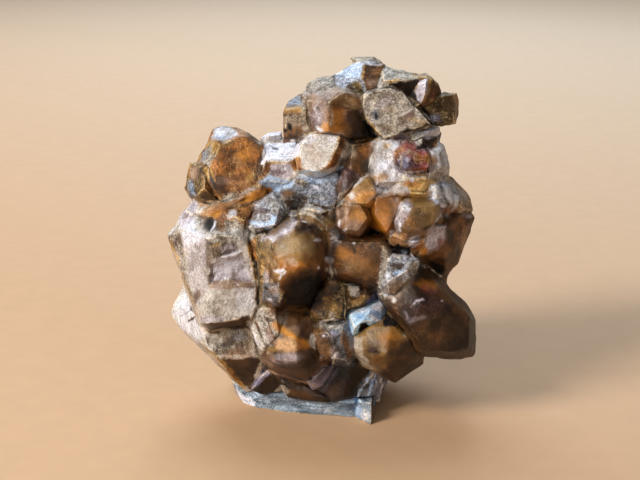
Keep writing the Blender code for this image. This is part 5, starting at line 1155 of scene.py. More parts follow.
# %% Marks of the left
LEFT_MARKS = [
    # The knob: frost on top, a striped bevel, a grainy amber front, a brown bevel at the right; a gold
    # line on its left edge is a painted highlight, and the glow across its front painted light.
    patch("fog", (-11.0, 28.6), (-10.6, 29.6), (-9.8, 30.0), (-8.4, 29.5), (-8.2, 29.0), (-9.6, 28.4),
          much=0.9, soft=0.3), spot("sky", -9.9, 28.9, 0.7, 0.3, 0, 0.5),
    spot("white", -9.9, 29.2, 0.6, 0.35, -20, 0.7),
    patch("dusty", (-12.0, 26.3), (-11.1, 28.5), (-10.5, 28.3), (-10.3, 27.3), (-11.0, 25.6),
          much=0.9, soft=0.3), spot("slate", -11.4, 27.3, 0.3, 0.8, -25, 0.7),
    line("gold", 0.16, (-11.9, 26.6), (-11.5, 27.4), (-10.9, 28.4), rise=0.02),
    spot("gold", -10.5, 27.8, 0.5, 0.6, 0, 0.9), spot("gold", -9.3, 28.2, 0.6, 0.3, 10, 0.8),
    patch("brown", (-7.8, 29.6), (-5.7, 28.4), (-5.5, 26.5), (-6.1, 24.1), (-6.6, 24.6), (-6.1, 27.0),
          (-6.7, 28.4), soft=0.3),
    line("dusty", 0.22, (-7.9, 29.4), (-6.6, 28.8), (-5.8, 28.2)),
    spot("glow", -7.6, 27.1, 1.4, 0.5, 15, 0.55), spot("brown", -8.4, 27.4, 0.6, 0.2, 20, 0.5),
    spot("orange", -9.4, 26.4, 0.6, 1.0, 0, 0.8), spot("umber", -10.0, 24.0, 0.9, 1.2, 20, 0.75),
    spot("rose", -9.6, 24.4, 0.8, 0.4, 0, 0.5), spot("brown", -7.9, 24.7, 1.2, 0.5, 10, 0.7),
    spot("tan", -9.0, 22.9, 0.9, 0.4, 20, 0.7), spot("gold", -7.6, 25.4, 0.3, 0.2, 0, 0.8),
    spot("peach", -8.2, 26.2, 0.9, 0.5, -25, 0.35), spot("gold", -9.0, 25.2, 0.5, 0.25, 15, 0.5),
    spot("gold", -6.9, 24.9, 0.5, 0.3, 50, 0.5), spot("peach", -8.0, 24.0, 0.7, 0.3, 10, 0.4),
    line("umber", 0.22, (-10.0, 28.3), (-9.3, 28.0), (-8.0, 28.9), (-6.8, 28.5), much=0.6),
    line("umber", 0.16, (-11.2, 25.8), (-10.8, 24.6), (-10.2, 23.2), rise=-0.06),
    line("gold", 0.12, (-11.0, 26.2), (-10.9, 25.4), (-10.5, 24.4)),
    # The tab beside it: grey-blue stripes, brown and gold, the gold lines painted highlights on its
    # edges, with a painted shadow below.
    patch("slate", (-13.4, 24.4), (-12.8, 24.8), (-12.4, 23.0), (-13.0, 22.8), much=0.9),
    line("sky", 0.14, (-13.0, 24.6), (-12.9, 23.7), (-12.5, 22.9), much=0.4),
    spot("rose", -12.5, 25.2, 0.5, 0.7, 0, 0.7), spot("orange", -11.3, 23.6, 0.5, 0.7, 20, 0.7),
    spot("umber", -11.9, 25.2, 0.3, 0.7, -15, 0.7), spot("umber", -11.2, 22.9, 0.9, 0.35, 10, 0.6),
    line("umber", 0.14, (-12.1, 26.2), (-11.3, 25.9), rise=-0.06),
    line("gold", 0.24, (-11.4, 25.7), (-11.3, 24.4)),
    line("gold", 0.14, (-13.5, 24.0), (-13.1, 25.8), (-12.7, 26.4)),
    line("black", 0.26, (-11.9, 22.2), (-10.9, 22.1), (-10.3, 22.3), rise=-0.1),
    # The ledge: a pale striped top with a glowing front edge, the glow painted as light, and a cream
    # line along its rim painted as a highlight.
    patch("glow", (-8.4, 22.2), (-6.6, 23.4), (-5.0, 23.9), (-4.9, 23.4), (-6.4, 22.4)),
    line("cream", 0.20, (-12.3, 21.0), (-11.2, 21.9), (-9.9, 22.4), (-8.6, 22.7), rise=0.03),
    line("rose", 0.22, (-8.4, 22.5), (-7.2, 23.4), (-6.4, 23.8)),
    line("gold", 0.14, (-6.5, 23.9), (-4.8, 23.9)), line("brown", 0.14, (-8.8, 22.0), (-7.0, 22.9)),
    spot("umber", -6.9, 22.2, 0.9, 0.22, 25, 0.8),
    # Under it: orange with a painted glow, a black pit painted as the shade in it, a line of white
    # glints, white and tan pieces, and the dusty collar at the left.
    spot("glow", -10.6, 21.1, 1.0, 0.45, 15, 0.8), spot("orange", -9.9, 20.1, 0.6, 0.8, 0, 0.8),
    spot("umber", -11.1, 20.1, 0.8, 0.8), spot("black", -11.1, 20.0, 0.45, 0.5, 0, 0.9),
    line("white", 0.12, (-10.9, 19.4), (-10.6, 19.8), (-10.5, 20.2)),
    spot("tan", -12.2, 20.3, 0.4, 0.6, 0, 0.9),
    spot("white", -8.9, 21.1, 0.5, 0.35, 35, 0.9),
    patch("tan", (-9.4, 20.4), (-8.3, 20.6), (-7.5, 19.6), (-8.2, 18.5), (-9.2, 18.7), soft=0.3),
    spot("cream", -8.6, 19.5, 0.3, 0.35), spot("brown", -7.1, 21.3, 0.5, 0.9, -20, 0.8),
    spot("umber", -10.0, 18.8, 0.7, 0.3, -15, 0.7), spot("gold", -9.6, 18.0, 0.5, 0.2, -30, 0.8),
    patch("lilac", (-12.6, 22.5), (-12.0, 22.2), (-12.2, 21.2), (-12.6, 20.5), (-13.9, 19.6),
          (-14.1, 20.2), (-13.1, 21.2)),
    spot("white", -13.0, 19.9, 0.7, 0.35, 30, 0.6),
    # The prism: a brown flank, a pale face with cracks, a lilac crust in a hollow, a cream foot. A
    # brown strip beside the pale face is painted shadow, white spots on the crust paint glints and
    # lighten its hollow, and gold lines on its edges are painted highlights.
    patch("tan", (-15.3, 18.9), (-14.1, 20.2), (-13.9, 19.0), (-13.6, 16.5), (-13.0, 14.0),
          (-12.5, 12.2), (-12.1, 10.0), (-13.2, 13.0), much=0.9),
    spot("plum", -14.3, 18.5, 0.3, 0.8, 0, 0.5),
    line("gold", 0.2, (-15.0, 18.8), (-14.0, 15.8), (-12.9, 12.8), (-12.2, 10.4), rise=0.02),
    patch("lilac", (-13.8, 19.2), (-12.9, 20.0), (-11.3, 18.6), (-11.3, 15.5), (-11.2, 13.6),
          (-12.0, 12.0), (-12.4, 12.2), (-13.2, 15.0), much=0.55, soft=0.3),
    patch("white", (-13.8, 19.3), (-12.9, 20.0), (-11.8, 18.9), (-12.1, 18.1), (-13.6, 18.0),
          much=0.95, soft=0.4),
    patch("brown", (-11.4, 18.5), (-10.8, 18.4), (-10.8, 15.6), (-11.5, 15.0), much=0.65, soft=0.4),
    spot("brown", -12.3, 12.9, 0.25, 0.5, -20, 0.7),
    patch("dusty", (-11.0, 18.4), (-9.5, 18.3), (-8.3, 18.6), (-8.0, 17.6), (-9.6, 16.5),
          (-11.0, 16.0), much=0.9, soft=0.5),
    spot("brown", -10.4, 17.4, 0.6, 0.7, 0, 0.6), line("gold", 0.14, (-10.9, 17.9), (-9.9, 18.2)),
    spot("lilac", -8.9, 17.6, 0.9, 0.5, 0, 0.8), spot("umber", -9.4, 17.2, 0.7, 0.2, 25, 0.7),
    patch("lilac", (-11.1, 15.8), (-10.2, 16.5), (-8.4, 16.8), (-7.8, 17.3), (-6.9, 16.0),
          (-6.6, 14.4), (-7.8, 14.2), (-9.0, 14.6), (-10.4, 14.4), (-11.1, 14.1), rise=-0.35),
    spot("violet", -9.9, 15.7, 0.9, 0.35, 25, 0.3), spot("violet", -8.8, 16.3, 0.7, 0.2, 15, 0.4),
    spot("white", -9.0, 15.5, 1.8, 0.9, 5, 0.4),
    spot("white", -9.3, 15.2, 0.3, 0.2, 0, 0.8), spot("tan", -8.8, 15.0, 0.9, 0.25, 5, 0.6),
    spot("white", -7.4, 15.2, 0.3, 0.5, 0, 0.6),
    line("white", 0.24, (-10.6, 16.2), (-9.6, 16.8), (-8.4, 17.0), (-7.7, 17.5), rise=0.04),
    spot("white", -10.4, 14.7, 0.4, 0.2, 10, 0.7), spot("white", -8.2, 15.8, 0.5, 0.2, 20, 0.6),
    spot("wine", -10.9, 15.2, 0.25, 0.7, 0, 0.6),
    line("plum", 0.14, (-11.0, 14.1), (-10.5, 15.1), (-9.8, 15.4), rise=-0.05),
    patch("cream", (-8.3, 18.5), (-7.3, 18.2), (-6.6, 15.8), (-6.3, 13.8), (-6.4, 12.6),
          (-6.9, 14.8), (-7.8, 17.3), much=0.8),
    patch("rose", (-11.1, 14.1), (-9.0, 14.6), (-6.7, 14.2), (-6.5, 13.7), (-9.0, 13.6),
          (-11.0, 13.7), much=0.8),
    line("white", 0.12, (-8.4, 14.2), (-8.1, 13.9)), line("plum", 0.12, (-8.3, 13.8), (-6.7, 13.8)),
    patch("white", (-8.6, 13.6), (-6.5, 13.6), (-6.4, 12.0), (-7.2, 11.2), (-8.4, 11.6), much=0.55,
          soft=0.7),
    spot("tan", -10.4, 12.3, 1.3, 0.25, 5, 0.4),
    patch("lilac", (-12.1, 10.9), (-9.4, 10.9), (-9.6, 10.2), (-12.0, 10.0), much=0.7, soft=0.3),
    patch("umber", (-12.1, 10.1), (-10.0, 10.1), (-7.2, 10.9), (-6.8, 10.5), (-7.0, 9.6),
          (-9.3, 9.4), (-11.0, 9.1)),
    line("gold", 0.16, (-12.1, 9.9), (-11.1, 9.3), (-9.4, 9.5)),
    line("gold", 0.18, (-7.3, 18.3), (-6.6, 15.8), (-6.3, 13.8), (-6.3, 12.6), rise=0.02),
    line("black", 0.20, (-7.1, 18.5), (-6.5, 16.2), (-6.15, 14.0), (-6.2, 12.2), rise=-0.08),
    line("orange", 0.20, (-7.0, 18.0), (-6.5, 16.6)),
    # The wedge below: cracked cream at the left, a rough brown top, and a dark face.
    patch("dusty", (-11.6, 9.0), (-10.0, 9.6), (-7.2, 9.6), (-6.5, 8.5), (-5.9, 6.8), (-9.8, 6.6),
          (-11.2, 7.8)),
    spot("umber", -9.2, 8.3, 0.7, 0.4, 20, 0.8), spot("slate", -8.2, 8.8, 0.6, 0.3, 0, 0.5),
    spot("brown", -7.6, 7.9, 0.8, 0.5, 0, 0.6), spot("brown", -8.8, 7.3, 1.4, 0.3, 0, 0.8),
    line("rose", 0.16, (-9.9, 6.9), (-8.2, 6.8), (-6.6, 6.9)),
    patch("umber", (-9.9, 6.6), (-5.9, 6.6), (-6.2, 5.6), (-7.0, 3.6), (-8.6, 4.4)),
    patch("gold", (-11.6, 7.7), (-10.6, 7.4), (-7.4, 3.8), (-7.9, 3.5), much=0.85),
    spot("orange", -8.6, 5.0, 0.9, 0.25, -45, 0.6),
    patch("white", (-14.6, 11.6), (-13.3, 13.2), (-12.2, 10.8), (-11.2, 8.8), (-12.4, 8.2),
          (-14.2, 10.0), much=0.6, soft=0.6),
    line("umber", 0.12, (-14.2, 11.6), (-12.8, 12.4), rise=-0.05),
    line("umber", 0.12, (-13.9, 10.9), (-12.9, 11.5), rise=-0.05),
    line("umber", 0.16, (-13.2, 10.4), (-12.5, 10.8), rise=-0.06),
    spot("umber", -12.8, 11.6, 0.2, 0.4, 30, 0.8), spot("white", -13.7, 11.3, 0.6, 0.5, 0, 0.6),
    patch("violet", (-5.7, 5.9), (-5.1, 5.3), (-6.2, 3.9), (-6.9, 3.5)),
    patch("tan", (-4.0, 4.1), (-3.6, 4.0), (-3.1, 3.4), (-3.4, 3.0), (-4.2, 3.0), (-4.6, 3.4),
          soft=0.1),
]

# %% [markdown]
# ### The middle
# Light goes into the biggest crystal. Its marks paint that light: milky where the light enters,
# amber where it gathers, and nearly black where none comes back, so they have wide soft rims.

# %% Marks of the middle
MIDDLE_MARKS = [
    # The white crystal: a bright top, orange at its ends, lilac and blue facets below.
    patch("white", (-5.6, 28.1), (-2.1, 28.2), (-1.9, 27.1), (-2.9, 26.3), (-5.0, 26.2), (-5.8, 26.0),
          soft=0.1),
    line("slate", 0.12, (-5.1, 27.8), (-4.3, 27.6)), line("plum", 0.2, (-4.9, 28.5), (-2.0, 28.4)),
    spot("white", -2.7, 28.4, 0.2, 0.12), spot("white", -3.3, 28.1, 0.15, 0.12),
    patch("orange", (-5.4, 26.3), (-4.8, 26.2), (-5.0, 25.3), (-6.0, 24.5)),
    patch("orange", (-1.9, 27.1), (-1.9, 25.5), (-2.6, 25.3), (-3.0, 26.2)),
    patch("lilac", (-4.9, 26.1), (-3.0, 26.1), (-2.6, 25.3), (-3.6, 24.5), (-5.1, 25.0)),
    spot("plum", -4.2, 25.3, 0.8, 0.4, 20, 0.7), spot("white", -3.6, 25.6, 0.3, 0.15, 0, 0.9),
    patch("sky", (-6.0, 24.3), (-5.0, 25.0), (-3.6, 24.5), (-2.4, 24.4), (-3.0, 23.7), (-4.2, 23.4),
          (-5.3, 23.8)),
    line("gold", 0.12, (-5.1, 26.2), (-3.0, 26.25), (-2.0, 27.0), rise=0.02),
    # The pale crystal: a pinkish cream front with an orange side and a thin gold edge.
    spot("rose", -0.6, 27.0, 0.7, 1.2, 20, 0.4), spot("white", -1.0, 28.6, 0.9, 0.35, 20, 0.8),
    spot("white", 1.2, 28.6, 0.7, 0.4, -20, 0.6),
    patch("orange", (2.0, 29.1), (2.7, 28.5), (2.2, 27.3), (1.5, 26.0), (0.3, 25.3), (1.1, 26.9),
          (1.8, 28.1)),
    spot("umber", 2.3, 28.0, 0.3, 0.6, 20, 0.7),
    line("gold", 0.16, (1.9, 29.1), (1.8, 28.2), (1.1, 26.8), (0.3, 25.4), rise=0.02),
    # Behind it: brown and rough, going dark, and orange further right.
    spot("dusty", 3.0, 27.2, 0.5, 0.6, 0, 0.7), spot("umber", 2.7, 26.3, 0.9, 0.5, 0, 0.7),
    spot("orange", 4.8, 27.4, 0.7, 0.7, 0, 0.8), spot("dark", 4.7, 25.6, 0.6, 0.8, 20),
    line("gold", 0.14, (3.6, 28.4), (4.8, 28.6), (5.9, 28.5)),
    # The grey slab: blue at its top, a painted reflection of the sky, speckled below; purple-brown
    # beside it.
    line("sky", 0.18, (-2.2, 25.2), (-1.0, 25.4), (0.3, 25.2), (1.4, 25.4), (2.2, 25.8)),
    spot("sky", 0.2, 24.7, 1.8, 0.5, 0, 0.7), spot("white", -1.8, 25.0, 0.4, 0.15, -10, 0.8),
    spot("olive", -1.9, 24.2, 0.6, 0.35, -15, 0.7), spot("white", -0.3, 23.7, 0.5, 0.12, -30, 0.7),
    spot("brown", 1.9, 24.0, 0.3, 1.0, 0, 0.6), spot("tan", -0.3, 22.7, 1.3, 0.3, 0, 0.5),
    patch("plum", (2.2, 25.6), (3.4, 25.5), (4.0, 24.8), (2.3, 23.2), (2.0, 24.0), much=0.8),
    line("umber", 0.12, (2.3, 25.4), (2.2, 23.6)),
    patch("umber", (-3.8, 23.5), (-2.6, 23.4), (-1.3, 22.6), (-1.5, 21.6), (-2.9, 21.4), (-3.6, 22.2),
          soft=0.5),
    spot("dark", -2.6, 22.4, 1.0, 0.7, -30, 0.9), spot("black", -2.2, 22.0, 0.6, 0.35, -20, 0.9),
    spot("brown", -3.3, 23.1, 0.6, 0.35, 0, 0.8),
    line("brown", 0.2, (-1.6, 22.2), (-0.2, 21.9), (0.6, 21.6)),
    patch("black", (0.0, 21.1), (0.8, 21.4), (0.9, 20.9), (0.3, 20.8)),
    spot("white", 0.0, 21.4, 0.3, 0.2, 0, 0.7),
    # Rough stuff with frost between the ledge and the big crystal; its blue is a painted reflection of
    # the sky and its white spots are painted glints.
    patch("sky", (-7.1, 20.4), (-5.2, 20.3), (-4.9, 21.2), (-4.2, 20.8), (-4.3, 20.0), (-5.0, 19.5),
          (-6.3, 19.8), soft=0.3),
    spot("white", -4.8, 19.7, 0.25, 0.2), spot("white", -6.0, 20.1, 0.5, 0.15, 0, 0.8),
    line("lilac", 0.7, (-5.6, 18.6), (-4.3, 18.9), (-3.3, 19.7), (-2.6, 20.4), much=0.9),
    spot("white", -4.9, 18.7, 0.5, 0.25, 10, 0.7), spot("white", -3.6, 19.5, 0.35, 0.15, 40, 0.6),
    patch("cream", (-7.8, 19.4), (-6.9, 20.0), (-6.4, 19.2), (-7.0, 18.4), (-7.6, 18.5), much=0.8),
    spot("orange", -6.7, 18.2, 0.3, 0.4, 0, 0.7), spot("plum", -5.6, 21.4, 0.6, 0.3, 0, 0.7),
    spot("dusty", -4.4, 21.8, 0.5, 0.7, 0, 0.6), spot("slate", -2.7, 21.0, 0.4, 0.4, 0, 0.8),
    spot("white", -3.3, 21.6, 0.15, 0.12), spot("umber", -3.4, 20.6, 0.4, 0.5, 0, 0.6),
    # The big crystal, in painted light and shade: milky above, an amber glow across, and soft shade
    # down to black, with white glints.
    spot("milk", -3.0, 18.0, 1.9, 0.9, 0, 0.8), spot("bronze", -4.9, 17.7, 0.7, 0.6, 0, 0.6),
    patch("amber", (-4.7, 16.7), (-2.4, 17.1), (-0.4, 16.7), (0.6, 16.4), (0.8, 13.0), (-0.4, 11.2),
          (-5.0, 11.2), (-4.4, 14.0), much=0.85, soft=1.5),
    spot("mocha", 0.3, 17.4, 0.9, 1.4, 0, 0.8),
    patch("brown", (-3.6, 15.1), (-1.8, 15.7), (0.6, 16.2), (0.9, 13.0), (-0.3, 11.2), (-4.8, 11.2),
          (-4.2, 13.6), soft=1.2),
    patch("black", (-2.7, 14.6), (-1.4, 15.1), (0.5, 15.4), (0.6, 13.4), (-0.3, 11.4), (-4.2, 11.4),
          (-3.4, 13.4), soft=1.3),
    spot("honey", -2.6, 16.6, 1.2, 0.5, 5, 0.6),
    spot("white", -0.05, 15.7, 0.15, 0.1), spot("white", -0.2, 18.5, 0.3, 0.12, 0, 0.8),
    # Its facets at the left, one of them white, a painted glint, and a gold line on its edge painted
    # as a highlight.
    line("gold", 0.22, (-5.5, 17.9), (-5.8, 16.0), (-5.9, 14.2), rise=0.02),
    patch("bronze", (-5.5, 17.2), (-4.4, 16.2), (-3.9, 15.4), (-4.2, 14.2), (-5.7, 14.2), much=0.7),
    spot("orange", -5.0, 15.3, 0.3, 0.7, 15, 0.4), spot("lilac", -5.4, 14.8, 0.3, 0.6, 0, 0.6),
    patch("white", (-4.7, 15.5), (-3.7, 15.6), (-3.4, 15.2), (-3.9, 14.8), (-4.1, 14.3), (-4.3, 15.0),
          soft=0.13),
    patch("slate", (-5.8, 14.1), (-4.1, 14.2), (-3.9, 12.2), (-4.6, 11.9), (-5.8, 12.2), much=0.8),
    spot("rose", -4.6, 13.5, 0.5, 0.4, 0, 0.7), spot("dark", -5.4, 13.7, 0.25, 0.15, -20),
    spot("white", -5.0, 12.4, 0.3, 0.2, 0, 0.6),
    # The olive rim over its right shoulder, rough and dark inside, with a cream line on it that paints
    # a highlight.
    patch("umber", (-2.7, 20.1), (-1.6, 20.6), (-0.3, 20.0), (0.1, 18.9), (-1.0, 18.9), (-2.2, 19.2),
          much=0.9, soft=0.5),
    spot("dark", -1.4, 19.7, 0.8, 0.4, -20, 0.8),
    line("honey", 0.55, (-2.1, 20.9), (-0.8, 20.7), (0.3, 19.9), (0.8, 18.9), (0.8, 18.1), rise=0.1),
    line("cream", 0.14, (-2.0, 21.1), (-0.9, 21.0), (0.2, 20.3), (0.8, 19.3), much=0.8),
    spot("white", -1.5, 20.3, 0.2, 0.12),
    # The grains in the seam, and the amber-brown block with a painted glow at its top left and a
    # white glint.
    spot("brown", 1.3, 17.6, 0.4, 0.5, 0, 0.6), spot("white", 1.0, 16.5, 0.3, 0.3, 0, 0.7),
    spot("white", 1.4, 18.7, 0.4, 0.12, 10), spot("cream", 1.2, 15.4, 0.5, 0.3, -20, 0.9),
    spot("orange", 1.7, 16.2, 0.3, 0.5, 0, 0.7),
    spot("glow", 2.2, 17.3, 0.8, 0.7, 0, 0.7), spot("amber", 4.2, 16.8, 1.5, 1.0, 0, 0.4),
    spot("umber", 4.6, 14.8, 1.6, 0.5, 0, 0.4), spot("umber", 5.5, 17.9, 0.7, 0.6, 0, 0.5),
    line("umber", 0.12, (3.1, 18.3), (3.4, 17.6), (3.5, 17.2), rise=-0.04),
    spot("honey", 3.4, 15.9, 1.6, 0.6, 0, 0.3),
    spot("white", 3.4, 18.2, 0.18, 0.09),
    # The small crystals under it.
    spot("umber", 1.5, 13.6, 0.8, 0.5, 0, 0.8), spot("gold", 1.0, 11.9, 0.6, 0.8, 0, 0.5),
    spot("gold", 0.6, 12.7, 0.25, 0.15, 0, 0.8), spot("cream", 1.2, 11.0, 0.35, 0.35, 0, 0.4),
    line("black", 0.16, (2.4, 13.9), (2.4, 12.2), (2.3, 10.6), rise=-0.08),
    patch("cream", (2.8, 14.1), (3.9, 13.9), (4.1, 13.1), (3.7, 12.8), (2.9, 12.9)),
    patch("umber", (4.1, 14.0), (5.7, 14.0), (5.9, 13.2), (4.9, 12.8), (4.0, 13.0), soft=0.3),
    patch("gold", (3.2, 12.5), (4.2, 12.9), (5.0, 12.8), (4.3, 12.1), (3.2, 11.9), much=0.6),
    patch("violet", (4.6, 12.2), (5.5, 13.2), (6.0, 12.6), (4.9, 12.1)),
]
